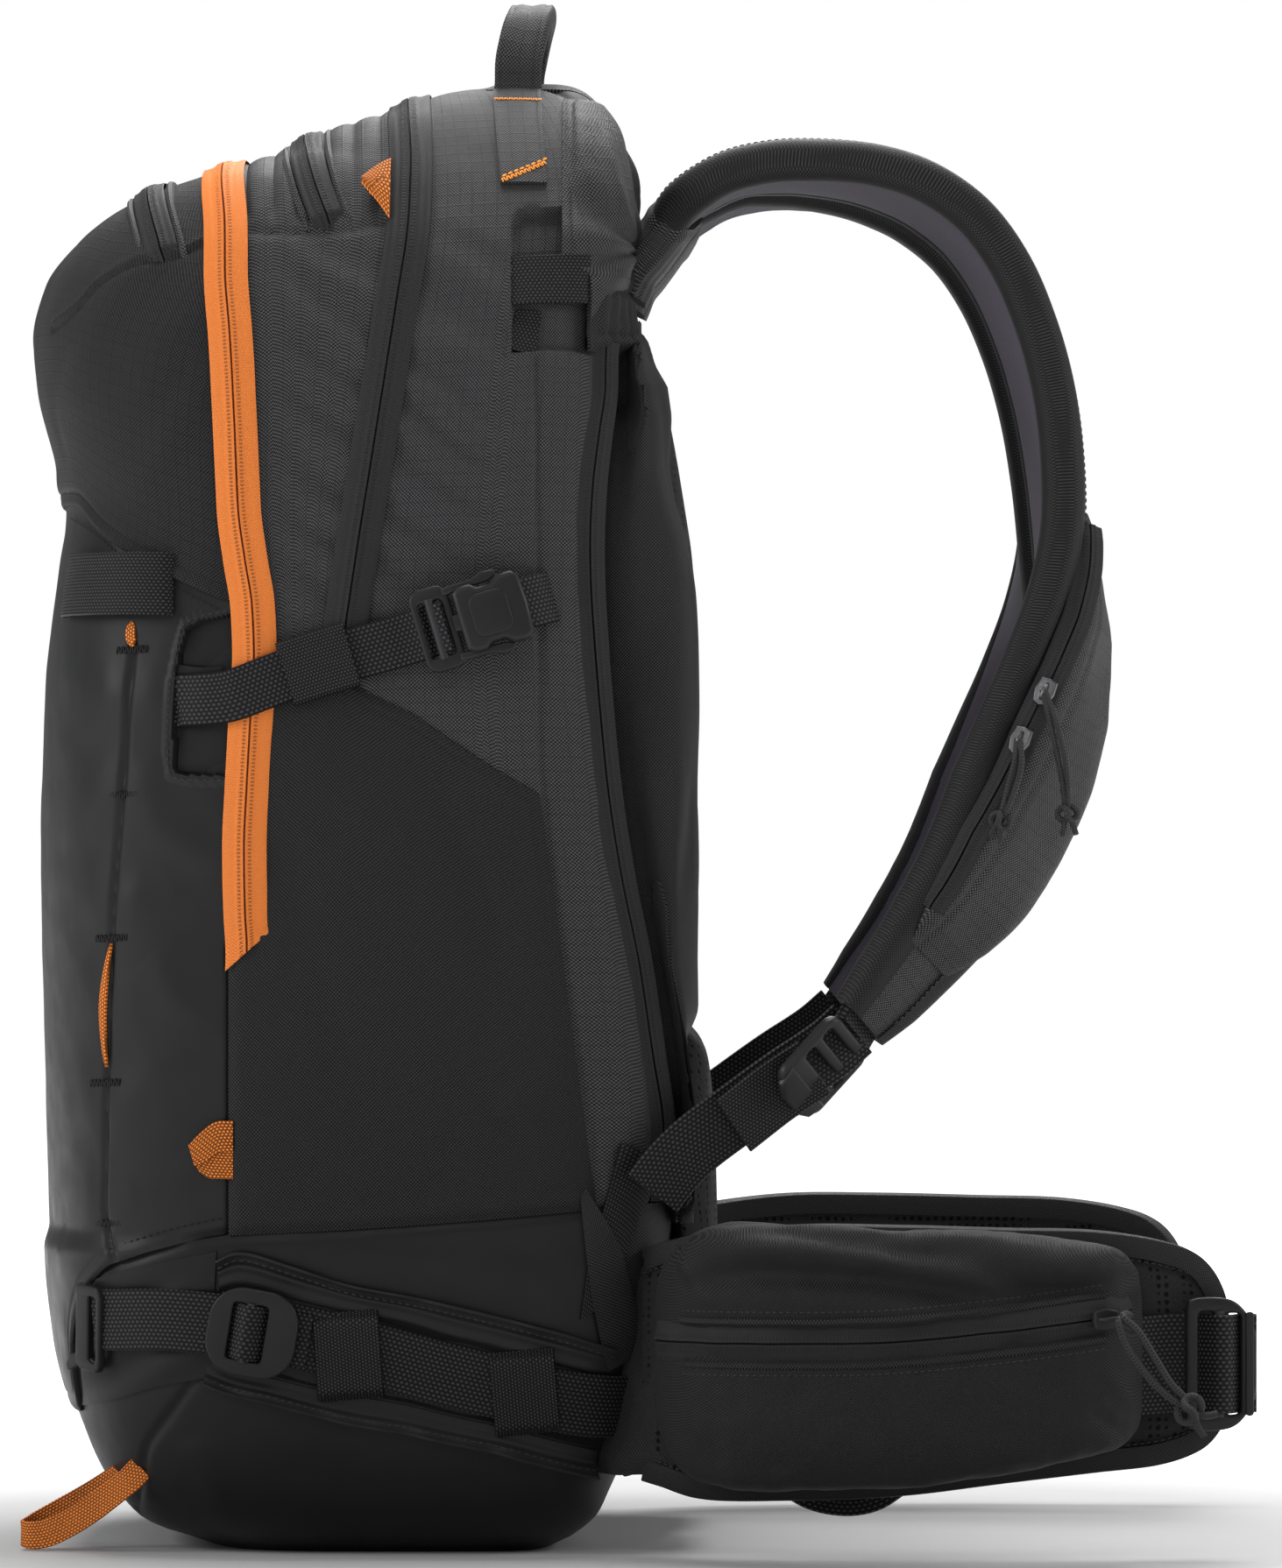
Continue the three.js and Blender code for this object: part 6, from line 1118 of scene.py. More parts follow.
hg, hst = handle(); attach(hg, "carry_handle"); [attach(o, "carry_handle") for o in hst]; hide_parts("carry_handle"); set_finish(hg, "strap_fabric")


def handle_tail():
    a = strip("handle_tail_right", [(47.4, 571.0), (47.6, 565.1), (49.2, 548), (51.0, 531.3)], [(66.0, 571.4), (66.3, 565.1), (67.6, 548), (68.8, 531.3)], m_rip, lambda u, v: 1.9 + 0.5 * np.sin(PI * v) + 0.35 * np.exp(-((np.abs(v - 0.5) - 0.45) / 0.04) ** 2), 1.6, rows=26, cols=60)
    return a
sides(handle_tail, "handle_tail")
def obt():
    q, N = on([(47.8, 565.6), (57, 565.5), (66.4, 565.2)], 2.6, -1, 0.8); a = across_stitches("o", q, N, m_orange_thread, 0.95, 1.9, 0.34)
    q, N = on([(51.3, 531.6), (60, 535.2), (68.4, 539.0)], 2.5, -1, 0.8); b = across_stitches("o", q, N, m_orange_thread, 1.0, 2.2, 0.34); q, N = on([(51.3, 533.1), (60, 536.7), (68.0, 540.2)], 2.5, -1, 0.8); c = stitches("o", q, N, m_orange_thread, "pack", 2.6, 2.0, 0.4)
    return join("handle_bartack", [a, b, c])
sides(obt, "handle_bartack")

# ------------------------------------------------------------------ load lifter in its recess, yoke panel
def lifter():
    w = side_webbing("l", [(53.6, 493.6), (60, 493.9), (68, 494.1), (78, 494.3), (86, 494.3)], 19.6, 1.8, [-3.0, -1.6, -1.3, -1.0, -1.0], m_web_fine)
    b = strip("b", [(57.8, 482.8), (62, 482.6), (67.6, 482.2)], [(53.9, 467.3), (60, 465.6), (65.4, 464.2)], m_web_fine, lambda u, v: -3.2 + 1.6 * v, 1.6, rows=16, cols=12); return join("load_lifter_web_right", [w, b])
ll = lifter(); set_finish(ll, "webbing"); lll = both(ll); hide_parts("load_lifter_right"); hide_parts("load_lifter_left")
sides(lambda: side_stitch("r", [(52.9, 463.5), (52.9, 480), (52.9, 500), (53.2, 514), (56.5, 522), (63.5, 525), (73, 525)], m_thread_lit, -0.1, pitch=2.7, length=1.8, r=0.24), "recess_stitch")


def yoke_side():
    z = np.linspace(479, 567, 72); out = []
    for zz in z:
        q = back_at(float(zz), None, 241); x0 = 74.8 + 10.4 * (1 - float(smooth01((zz - 495.5) / 4))); c, a, b = [float(v) for v in sec(zz)]
        xs = np.linspace(x0, float(XB(zz)) - 9.5, 26) if float(XB(zz)) - 9.5 > x0 + 1 else np.linspace(x0, x0 + 1, 26)
        front = np.stack([xs, -side_y(xs, zz), np.full_like(xs, zz)], -1); k = q[q[:, 1] < -26]; out.append(resample(np.vstack([front[:-1], k]), 90))
    P = np.stack(out); N = nrm(P); x, y, zc = P[..., 0], P[..., 1], P[..., 2]; D = edge_dist(P, "lrtb")
    d = np.hypot(x - 104, (zc - 507) * 1.0); an = np.arctan2(zc - 507, 104 - x)
    h = 1.2 + 1.3 * smooth01(D / 5) + 1.5 * np.exp(-((d - 18) / 20) ** 2) * np.sin(an * 6.5 + 0.4) + 0.8 * fbm(P, 22, 81, 2) * smooth01(D / 5)
    h += fold(P, line([(80, 560), (83, 540), (92, 518)]), 5, 2.4) + fold(P, line([(90, 553), (92, 536), (98, 516)]), 4, 1.8) - 0.9 * np.exp(-((D - 3.5) / 0.8) ** 2) * (x < 80)
    return sheet("yoke_panel_right", P + N * h[..., None], m_rip, 1.6, N, uv=grid_uv(P))


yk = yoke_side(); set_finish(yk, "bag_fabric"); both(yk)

# ------------------------------------------------------------------ shoulder straps
STRAP = A([[112, -52, 511, 0], [122, -56, 526, 0], [139, -62, 536.5, 0], [157, -67, 540, -2], [177, -72, 539.5, -4], [197, -76, 536, -7], [215, -79, 529, -9], [232, -81, 516.5, -10], [245.5, -83, 498, -10],
           [255.5, -85, 475, -9], [262.5, -87, 450, -8], [266.5, -90, 423.5, -6], [268, -93, 396, -2], [266.5, -97, 368.5, 8], [262.5, -102, 341.5, 22], [256.5, -107, 317, 34], [247.5, -112, 290, 42],
           [234, -117, 263, 46], [217, -121, 239, 46], [200, -125, 218, 44], [190, -127, 207, 42]], float)
NS = 340
S4 = spline(STRAP, NS); SC = S4[:, :3]; Ls = np.r_[0, np.cumsum(np.linalg.norm(np.diff(STRAP[:, :3], axis=0), axis=1))]; SI = np.interp(np.linspace(0, 1, NS), Ls / Ls[-1], np.arange(21))
ST = unit(np.gradient(SC, axis=0)); sn = np.stack([ST[:, 2], 0 * ST[:, 2], -ST[:, 0]], -1); sn *= np.sign(((SC - A([160, -80, 400])) * sn).sum(1))[:, None]; sn = unit(sn - ST * (sn * ST).sum(1)[:, None])
tw = np.radians(S4[:, 3])[:, None]; SN = sn * np.cos(tw) + np.cross(ST, sn) * np.sin(tw); SS = unit(np.cross(ST, SN))
SW = np.interp(SI, [0, 1, 2, 16, 17, 18, 19, 20], [50, 56, 64, 64, 55, 46, 37, 29]); SH = np.interp(SI, [0, 1.2, 17.5, 18.5, 20], [12, 16, 16, 13, 11])


def strap_section(i, grow=0.0, m=72):
    a, b = SW[i] / 2 + grow, SH[i] / 2 + grow; return sup(a, b, 7, m, 3.0)


def strap_pad():
    sc = np.stack([strap_section(i) for i in range(NS)]); x, n = sc[..., 0], sc[..., 1]; q = np.stack([np.repeat(np.linspace(0, 700, NS)[:, None], x.shape[1], 1), x, n], -1)
    sc[..., 1] += np.where(n > 0, 1.5 + 0.6 * fbm(q, 30, 91, 2), 0.5 * fbm(q, 40, 92, 2)) * smooth01((SW[:, None] / 2 - 12.0 - np.abs(x)) / 6)
    o = sweep("shoulder_pad_cover_right", SC, SN, sc, m_rip, None, angle=60); o.data.materials.append(m_lining)
    co = np.zeros(len(o.data.polygons) * 3, np.float32); o.data.polygons.foreach_get("center", co); c = co.reshape(-1, 3) * 1000; from_ = SC[None, ::4]; idx = np.argmin(((c[:, None, :] - SC[None, ::4]) ** 2).sum(2), 1) * 4; hh = ((c - SC[idx]) * SN[idx]).sum(1)
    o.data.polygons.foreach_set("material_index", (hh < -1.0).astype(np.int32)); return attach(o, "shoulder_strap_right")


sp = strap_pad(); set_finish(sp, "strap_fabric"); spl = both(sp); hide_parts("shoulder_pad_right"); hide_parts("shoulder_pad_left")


def strap_binding(side):
    """a twill tape folded round the pad's edge"""
    out = []
    for i in range(NS):
        c = strap_section(i, 0.0, 240); c = c if side > 0 else c * [-1, 1]; r = np.roll(c, 60, 0); a = SW[i] / 2; top, bot = min(13.0, a * 0.5), min(9.0, a * 0.4)
        k = r[(r[:, 0] > 0) & (((r[:, 1] >= 0) & (r[:, 0] > a - top)) | ((r[:, 1] < 0) & (r[:, 0] > a - bot)))] if side > 0 else None
        if k is None: r2 = strap_section(i, 0.0, 240); r2 = np.roll(r2, 60, 0); k = r2[(r2[:, 0] > 0) & (((r2[:, 1] >= 0) & (r2[:, 0] > a - top)) | ((r2[:, 1] < 0) & (r2[:, 0] > a - bot)))]
        k = k[np.argsort(np.arctan2(k[:, 1], k[:, 0]))]; k = resample(k, 18); t = np.gradient(k, axis=0); nn = unit(np.stack([t[:, 1], -t[:, 0]], -1)); o = k + nn * 1.1; o[0] = k[0] + nn[0] * 0.3; o[-1] = k[-1] + nn[-1] * 0.9 + [0, 0.3]
        q = np.vstack([o, (k - nn * 0.4)[::-1]]); out.append(q * ([1, 1] if side > 0 else [-1, 1]))
    sc = np.stack(out)
    if side < 0: sc = sc[:, ::-1]
    L = np.linspace(0, 700, NS)[:, None]; sc[..., 0] += 0.3 * np.sin(L / 21.0) * np.sign(side)
    o = sweep("strap_binding", SC, SN, sc, m_bind, None, angle=60)
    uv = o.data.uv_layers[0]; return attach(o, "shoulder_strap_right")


for sd, nm in ((1, "outer"), (-1, "inner")):
    o = strap_binding(sd); o.name = f"strap_binding_{nm}_right"; both(o)
    off = sd * (SW / 2 - np.minimum(11.5, SW / 4)); st = stitches(f"strap_stitch_{nm}_right", (SC + SS * off[:, None] + SN * (SH / 2 + 1.25)[:, None])[6:-6], SN[6:-6], m_thread_lit, "shoulder_strap_right", 2.8, 1.9, 0.26, 0.0); both(st)

# pod with the trigger handle: a soft pocket along the outer face
PI0, PI1 = 11.6, 18.3
pk = (SI >= PI0) & (SI <= PI1); pidx = np.where(pk)[0]; pu = (SI[pk] - PI0) / (PI1 - PI0)
PH = np.interp(pu, [0, 0.05, 0.12, 0.25, 0.42, 0.59, 0.72, 0.86, 0.94, 1.0], [2.5, 6, 10, 15.0, 16.0, 15.4, 12.8, 9.0, 6.0, 2.0]); PWD = np.minimum(SW[pk] - 7, np.interp(pu, [0, 0.06, 0.2, 0.85, 1], [34, 46, 54, 50, 30]))


def pod():
    sc = []
    for i, h, w in zip(pidx, PH, PWD):
        t = np.linspace(0, PI, 40); c, s = np.cos(t), np.sin(t); x = w / 2 * np.sign(c) * np.abs(c) ** 0.42; n = SH[i] / 2 - 0.5 + h * np.abs(s) ** 0.62; sc.append(np.vstack([np.stack([x, n], -1), np.stack([np.linspace(-w / 2, w / 2, 8)[1:-1], np.full(6, SH[i] / 2 - 1.0)], -1)]))
    sc = np.stack(sc); q = np.stack([np.repeat(np.linspace(0, 200, len(pidx))[:, None], sc.shape[1], 1), sc[..., 0], sc[..., 1]], -1); k = (sc[..., 1] > SH[pidx][:, None] / 2 + 1)
    sc[..., 1] += np.where(k, 1.3 * fbm(q, 34, 101, 3) - 0.9 * np.exp(-((sc[..., 0] - PWD[:, None] * 0.30) / 1.2) ** 2), 0); sc[..., 0] += np.where(k, 0.5 * fbm(q, 26, 103, 2), 0)
    return sweep("trigger_pod", SC[pidx], SN[pidx], sc, m_rip, "shoulder_strap_right", angle=55)


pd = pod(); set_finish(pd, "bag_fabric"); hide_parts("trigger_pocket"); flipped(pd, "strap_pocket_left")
jz = pidx[(pu > 0.03) & (pu < 0.93)]; uz = (SI[jz] - PI0) / (PI1 - PI0); wz = np.interp(SI[jz], SI[pidx], PWD); hz = np.interp(SI[jz], SI[pidx], PH)
ZP = SC[jz] + SS[jz] * (wz / 2 - 1.2)[:, None] + SN[jz] * (SH[jz] / 2 + hz * 0.42)[:, None]; ZN = unit(SS[jz] * 0.93 + SN[jz] * 0.36)
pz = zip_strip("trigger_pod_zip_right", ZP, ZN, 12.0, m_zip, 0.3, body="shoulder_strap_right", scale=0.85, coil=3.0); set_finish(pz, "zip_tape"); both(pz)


def pull(name, base, n, t, cord_pts, body, knot=True):
    """a zip slider with a wire bail, a looped cord and its knot"""
    s = unit(np.cross(t, n)); M = place(t, s, n, base); o = [plate("b", [(-5.2, -3.4), (-5.8, 0), (-5.2, 3.4), (0, 4.1), (4.6, 2.6), (5.6, 0), (4.6, -2.6), (0, -4.1)], [], 1.2, 3.6, 0.8, m_metal, M, None, 3)]
    br = spline([base + t * a + n * b for a, b in ((-3.4, 3.2), (-2.4, 5.4), (0, 6.2), (2.4, 5.4), (3.2, 3.2))], step=0.5); o.append(sweep("a", br, np.tile(s, (len(br), 1)), round_section(0.7, 8), m_metal, None))
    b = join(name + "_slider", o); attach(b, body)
    c1 = A(cord_pts, float); side = s * 1.5; c = [tube("c", np.vstack([[c1[0] + side * 0.3], c1[1:-1] + side, [c1[-1] + side * 0.4]]), 1.15, m_cord, None, 0.9, 9), tube("c", np.vstack([[c1[0] - side * 0.3], c1[1:-1] - side, [c1[-1] - side * 0.4]]), 1.15, m_cord, None, 0.9, 9)]
    if knot:
        e = c1[-1]; d = unit(c1[-1] - c1[-2]); k1 = unit(np.cross(d, n)); k2 = np.cross(d, k1); t_ = np.linspace(0, 2 * PI, 40, endpoint=False)
        K = [e + d * (2.6 * math.sin(2 * a) + 1.8) + k1 * (2.9 * math.cos(a) + 0.9 * math.cos(3 * a)) + k2 * (2.3 * math.sin(a) - 0.9 * math.sin(3 * a)) for a in t_]; c.append(tube("k", np.vstack([K, K[:1]]), 1.25, m_cord, None, 0.8, 9))
        for sg in (-1, 1): c.append(tube("e", A([e + d * 3 + k1 * sg * 1.0, e + d * 7 + k1 * sg * 1.9, e + d * 10 + k1 * sg * 2.6 + k2 * sg]), 1.1, m_cord, None, 0.8, 9))
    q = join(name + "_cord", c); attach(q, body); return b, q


def at_zip(z):
    i = int(np.argmin(np.abs(ZP[:, 2] - z))); return ZP[i] + ZN[i] * 1.6, ZN[i], unit(np.gradient(ZP, axis=0)[i])


b1, n1, t1 = at_zip(333); pull("pod_pull_upper", b1, n1, t1, [b1 + n1 * 5.6, b1 + n1 * 8 + A([3.5, 0, -12]), b1 + n1 * 7 + A([7.5, 0, -30]), b1 + n1 * 6.5 + A([9, 0, -46])], "shoulder_strap_right")
b2, n2, t2 = at_zip(314); pull("pod_pull_lower", b2, n2, t2, [b2 + n2 * 5.6, b2 + n2 * 8 + A([0.5, 0, -9]), b2 + n2 * 7 + A([-2.5, 0, -20]), b2 + n2 * 6.5 + A([-6, 0, -30])], "shoulder_strap_right")


def strap_root():
    """cloth collar where the strap leaves the yoke"""
    Q = spline([(97, -52, 493), (101.5, -52, 500.5), (107, -52, 506.5), (113.5, -52.8, 514.5), (120.5, -55.3, 524.3)], step=1.0); T = unit(np.gradient(Q, axis=0)); N = unit(np.cross(A([0, 1.0, 0]), T)); N *= np.sign(N[:, :1] * -1); N = unit(N - T * (N * T).sum(1)[:, None])
    u = np.linspace(0, 1, len(Q)); sc = np.stack([sup(np.interp(v, [0, 0.3, 1], [31, 28.5, 28.6]), np.interp(v, [0, 0.3, 1], [12.0, 10.4, 9.3]), 4.5, 90, 2.6) for v in u]); an = np.arctan2(sc[..., 1] * 2.5, sc[..., 0]); r = 1 + (0.045 * np.sin(an * 11 + 1.5 * u[:, None]) + 0.03 * np.sin(an * 23)) * (1 - 0.85 * u[:, None]); sc[..., 1] *= r + 0.08 * np.exp(-((u[:, None] - 0.9) / 0.07) ** 2); sc[..., 0] *= 1 + (r - 1) * 0.3
    return sweep("strap_root_right", Q, N, sc, m_rip, None, angle=60)


def collar():
    """gathered cloth band under the strap root, over the top of the rear gusset"""
    out = []
    for zz in np.linspace(466, 492, 30):
        q = back_at(float(zz), None, 241); xs = np.linspace(85.0, float(XB(zz)) - 9.5, 14); front = np.stack([xs, -side_y(xs, zz), np.full_like(xs, zz)], -1); k = q[q[:, 1] < -62]; out.append(resample(np.vstack([front[:-1], k[:]]), 90))
    P = np.stack(out); N = nrm(P); u = np.broadcast_to(np.linspace(0, 1, 90)[None], P.shape[:2]); v = np.broadcast_to(np.linspace(0, 1, len(P))[:, None], P.shape[:2]); D = edge_dist(P, "lrtb")
    h = 1.6 + (2.2 + 6.0 * smooth01((u - 0.18) / 0.3) * (1 - v) ** 1.2) + 0.9 * np.sin(u * 58 + 2.0 * np.sin(v * 3)) * (0.4 + 0.6 * (1 - v)) * smooth01(D / 3) + 0.7 * fbm(P, 14, 151, 2) + 0.9 * np.exp(-((v - 0.12) / 0.07) ** 2) - 1.0 * np.exp(-((v - 0.3) / 0.05) ** 2)
    return sheet("strap_collar_right", P + N * (h * (0.35 + 0.65 * smooth01(D / 5)))[..., None], m_cloth, 1.8, N, uv=grid_uv(P))


both(collar())
sr = strap_root(); srl = flipped(sr, "strap_root_left")
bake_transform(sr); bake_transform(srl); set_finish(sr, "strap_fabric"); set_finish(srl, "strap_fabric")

# lower webbing, ladder lock, tab at the seam
LW = [tuple(SC[-1] + ST[-1] * 4.0), (178, -130, 196), (160, -134, 184), (142, -138, 171), (126, -141, 159), (117, -142.5, 150), (110, -143.5, 141)]


def lower_web():
    P = spline(LW, step=1.4); N = np.tile(unit(A([0.25, -0.93, -0.1])), (len(P), 1)); T = unit(np.gradient(P, axis=0)); N = unit(N - T * (N * T).sum(1)[:, None]); a = sweep("a", P, N, flat_section(25, 1.8, -0.9, 0.5, 15), m_web, None, angle=35)
    k = (P[:, 0] < 172) & (P[:, 0] > 139); Q = P[k] + N[k] * np.interp(np.linspace(0, 1, k.sum()), [0, 0.5, 1], [3.6, 3.0, 5.0])[:, None] + A([0, 0, -2.0]); b = sweep("b", Q, N[k], flat_section(25, 1.8, -0.9, 0.5, 15), m_web_fine, None, angle=35)
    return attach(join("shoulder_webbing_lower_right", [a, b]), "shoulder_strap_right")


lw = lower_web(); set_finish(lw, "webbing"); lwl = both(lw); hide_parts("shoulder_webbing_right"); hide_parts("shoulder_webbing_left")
def strap_end():
    """the loop of webbing that holds the ladder lock under the pad's tip"""
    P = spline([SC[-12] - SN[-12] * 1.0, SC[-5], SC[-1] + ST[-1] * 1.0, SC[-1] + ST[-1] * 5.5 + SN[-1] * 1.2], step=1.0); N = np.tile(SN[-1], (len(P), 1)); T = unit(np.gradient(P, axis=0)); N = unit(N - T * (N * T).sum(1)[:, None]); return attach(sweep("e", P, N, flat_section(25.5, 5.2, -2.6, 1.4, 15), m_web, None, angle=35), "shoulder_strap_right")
o = strap_end(); o.name = "strap_end_loop_right"; both(o)


def ladder():
    t, s, n = ST[-1], SS[-1], SN[-1]; M = place(t, -s, np.cross(t, -s), A([172.5, -130.7, 192])); z = np.sign(np.cross(t, -s) @ n)
    o = plate("l", rrect(34, 32, 6, 8), [rrect(5.2, 25.5, 1.6, 4, -9.4, 0), rrect(5.2, 25.5, 1.6, 4, 0.6, 0)], z * 4.5 - 2.2, z * 4.5 + 2.2, 1.4, m_plastic, M, None, 3); p = plate("m", [(9.5, -15), (9.5, 15), (17.5, 12.5), (20.5, 6), (20.5, -6), (17.5, -12.5)], [], z * 5.8 - 1.8, z * 5.8 + 1.8, 1.2, m_plastic, M, None, 3)
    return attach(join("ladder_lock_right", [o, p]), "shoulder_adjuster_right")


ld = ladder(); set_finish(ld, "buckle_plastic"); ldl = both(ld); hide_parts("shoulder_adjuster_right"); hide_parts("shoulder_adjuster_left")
sides(lambda: strip("t", [(118, 153), (108, 141), (100, 122), (93, 100)], [(97, 160), (92, 140), (86, 118), (82, 92)], m_web_fine, lambda u, v: 2.8 - 1.0 * u, 1.6, rows=20, cols=50), "anchor_tab")
sides(lambda: strip("t", [(84, 143), (97, 118), (101, 96), (99, 76)], [(82, 140), (84, 118), (87, 96), (92, 72)], m_cloth, lambda u, v: 1.8 + 1.4 * np.sin(PI * u) + 1.2 * (1 - v) * np.sin(u * 9), 1.4, rows=18, cols=50), "corner_gusset")


# ------------------------------------------------------------------ hip belt
HP = A([[108, -129, 30, 118, 9], [116, -133, 28, 121, 12], [130, -139, 24, 124, 14], [165, -148, 24, 128, 15], [205, -152.5, 26, 128, 15], [245, -153.5, 31, 127, 15], [280, -151, 35, 126, 14], [303, -147.5, 37.5, 122.5, 13],
        [315, -144.7, 41, 118.5, 12], [322.5, -142.4, 45.5, 112.5, 11], [328, -140.7, 53, 103, 9.5], [330.6, -139.8, 63, 90, 7]], float)
H5 = spline(HP, 190); HC = np.stack([H5[:, 0], H5[:, 1], (H5[:, 2] + H5[:, 3]) / 2], -1); HT = unit(np.gradient(HC[:, :2], axis=0)); HN = np.stack([HT[:, 1], -HT[:, 0], 0 * HT[:, 0]], -1); HN *= np.sign(HN[:, 1:2] * -1)


def wing():
    Pm = np.stack([H5[:, 0], H5[:, 1], 0 * H5[:, 0] + 76], -1); t = np.linspace(0, 2 * PI, 96, endpoint=False); c, s = np.cos(t), np.sin(t); V = []
    for i in range(len(H5)):
        zc, hz, th = (H5[i, 2] + H5[i, 3]) / 2, (H5[i, 3] - H5[i, 2]) / 2, H5[i, 4] / 2; zz = zc + hz * np.sign(c) * np.abs(c) ** (2 / 6.5); nn = th * np.sign(s) * np.abs(s) ** (2 / 2.6); d = hz - np.abs(zz - zc)
        nn = nn + np.where(s > 0, -0.9, 0.9) * np.exp(-((d - 9.5) / 1.3) ** 2) * (np.abs(s) > 0.3)
        V.append(Pm[i] + HN[i] * nn[:, None] + np.stack([0 * zz, 0 * zz, zz - 76], -1))
    V = np.stack(V); n, k = V.shape[:2]; V = V + HN[:, None] * (0.6 * fbm(V, 26, 111, 2) * (np.abs(s) > 0.2))[..., None]; F = []; a = np.arange(n - 1)
    for j in range(k): F += np.stack([a * k + j, a * k + (j + 1) % k, (a + 1) * k + (j + 1) % k, (a + 1) * k + j], -1).tolist()
    F += [list(range(k))[::-1], [(n - 1) * k + j for j in range(k)]]; o = make("hip_wing_cover_right", V.reshape(-1, 3), F, m_mesh, np.stack([V[..., 0], V[..., 2]], -1).reshape(-1, 2), 60, "hip_wing_right"); return o


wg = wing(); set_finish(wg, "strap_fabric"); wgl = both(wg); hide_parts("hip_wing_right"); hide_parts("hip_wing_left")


def wing_outline(off, nn, m=400):
    top = np.stack([H5[:, 0], H5[:, 1], H5[:, 3] - off], -1); bot = np.stack([H5[:, 0], H5[:, 1], H5[:, 2] + off], -1); k = (H5[:, 3] - H5[:, 2]) > 2 * off + 4; kk = np.where(k)[0][-1]
    q = np.vstack([top[:kk + 1] + HN[:kk + 1] * nn, bot[:kk + 1][::-1] + HN[:kk + 1][::-1] * nn]); return resample(q, m)


def wing_binding():
    q = wing_outline(0.0, 0.0, 460); th = np.interp(q[:, 0], H5[:, 0], H5[:, 4]) / 2; c = A([215, -150, 77]); T = unit(np.gradient(q, axis=0)); Nn = np.stack([np.interp(q[:, 0], H5[:, 0], HN[:, k]) for k in range(3)], -1); O = unit(np.cross(T, Nn)); O *= np.sign((O * (q - c)).sum(1))[:, None]; O = unit(O)
    sc = []
    for h in th:
        t = np.linspace(-0.5 * PI, 0.5 * PI, 15); a = np.stack([(h + 0.9) * np.sin(t), 1.1 + 0.9 * np.cos(t) - 0.9], -1); a = np.vstack([[-(h + 0.7), -7.5], a, [h + 0.7, -7.5]]); b = np.vstack([[h - 0.6, -7.5], [[(h - 0.8) * math.sin(v), -0.8 + 0.4 * math.cos(v)] for v in t[::-1]], [-(h - 0.6), -7.5]]); sc.append(np.vstack([a, b]))
    sc = np.stack(sc); V = q[:, None] + Nn[:, None] * sc[..., :1] + O[:, None] * sc[..., 1:]; n, k = V.shape[:2]; a = np.arange(n - 1); F = []
    for j in range(k): F += np.stack([a * k + j, a * k + (j + 1) % k, (a + 1) * k + (j + 1) % k, (a + 1) * k + j], -1).tolist()
    F += [list(range(k))[::-1], [(n - 1) * k + j for j in range(k)]]; L = np.r_[0, np.cumsum(np.linalg.norm(np.diff(q, axis=0), axis=1))]; uv = np.stack([np.repeat(L[:, None], k, 1), sc[..., 1]], -1)
    return make("hip_wing_binding_right", V.reshape(-1, 3), F, m_bind, uv.reshape(-1, 2), 60, "hip_wing_right")


o = wing_binding(); both(o)
q = wing_outline(8.6, 0.0, 420); Nn = np.stack([np.interp(q[:, 0], H5[:, 0], HN[:, k]) for k in range(3)], -1); th = np.interp(q[:, 0], H5[:, 0], H5[:, 4]) / 2
o = stitches("hip_wing_stitch_right", q + Nn * (th - 0.2)[:, None], Nn, m_thread_lit, "hip_wing_right", 2.8, 1.9, 0.26); both(o)


def hip_root(sign):
    """cloth that joins the lumbar side to the wing"""
    rows = []
    for z in np.linspace(32, 118, 40):
        x0 = float(XB(z)) - 6; p = spline([(x0 - 4, sign * float(side_y(x0 - 4, z)) * 0.995, z), (x0 + 4, sign * 131, z), (116, sign * 139.0, z), (128, sign * 145.0, z), (140, sign * 149.0, z)], 30); rows.append(p)
    P = np.stack(rows); N = grid_normals(P); N *= np.sign(N[..., 1:2] * sign); D = edge_dist(P, "tb"); P = P + N * (0.8 + 0.9 * fbm(P, 20, 121, 2) - 3.0 * np.exp(-(D / 4) ** 2))[..., None]
    return sheet("hip_root_" + ("right" if sign < 0 else "left"), P, m_cloth, 2.0, N, None, grid_uv(P))


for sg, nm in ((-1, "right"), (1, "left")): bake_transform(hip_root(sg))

KX = A([110, 112.5, 118, 126, 140, 160, 200, 240, 270, 285, 292, 296.5, 298.5]); KT = A([98, 112, 120.5, 127, 131.5, 131.8, 128.5, 126.5, 123.5, 121.5, 118.5, 112, 98]); KB = A([62, 48, 37, 31, 28.4, 28.2, 30.0, 34.5, 39.5, 42.5, 45.5, 52, 64]); KD = A([4, 15, 23, 28.5, 32.5, 34.5, 35.5, 34, 30.5, 27.0, 22, 14, 4])


def pocket():
    X = np.concatenate([np.linspace(110, 122, 14)[:-1], np.linspace(122, 286, 110)[:-1], np.linspace(286, 298.5, 14)]); T, B, D = [np.interp(X, KX, v) for v in (KT, KB, KD)]; yin = np.interp(X, H5[:, 0], H5[:, 1] - H5[:, 4] / 2) + 1.0; t = np.linspace(0, 2 * PI, 110, endpoint=False); c, s = np.cos(t), np.sin(t); V = []
    for x, tp, bt, d, yi in zip(X, T, B, D, yin):
        zc, hz = (tp + bt) / 2, (tp - bt) / 2; z = zc + hz * np.sign(c) * np.abs(c) ** (2 / 4.2); y = yi - d / 2 - d / 2 * np.sign(s) * np.abs(s) ** (2 / 3.6); V.append(np.stack([np.full_like(z, x), y, z], -1))
    V = np.stack(V); n, k = V.shape[:2]; a = np.arange(n - 1); F = []
    for j in range(k): F += np.stack([a * k + j, a * k + (j + 1) % k, (a + 1) * k + (j + 1) % k, (a + 1) * k + j], -1).tolist()
    F += [list(range(k))[::-1], [(n - 1) * k + j for j in range(k)]]
    return make("hip_pocket_cover", V.reshape(-1, 3), F, None, None, 60, None)


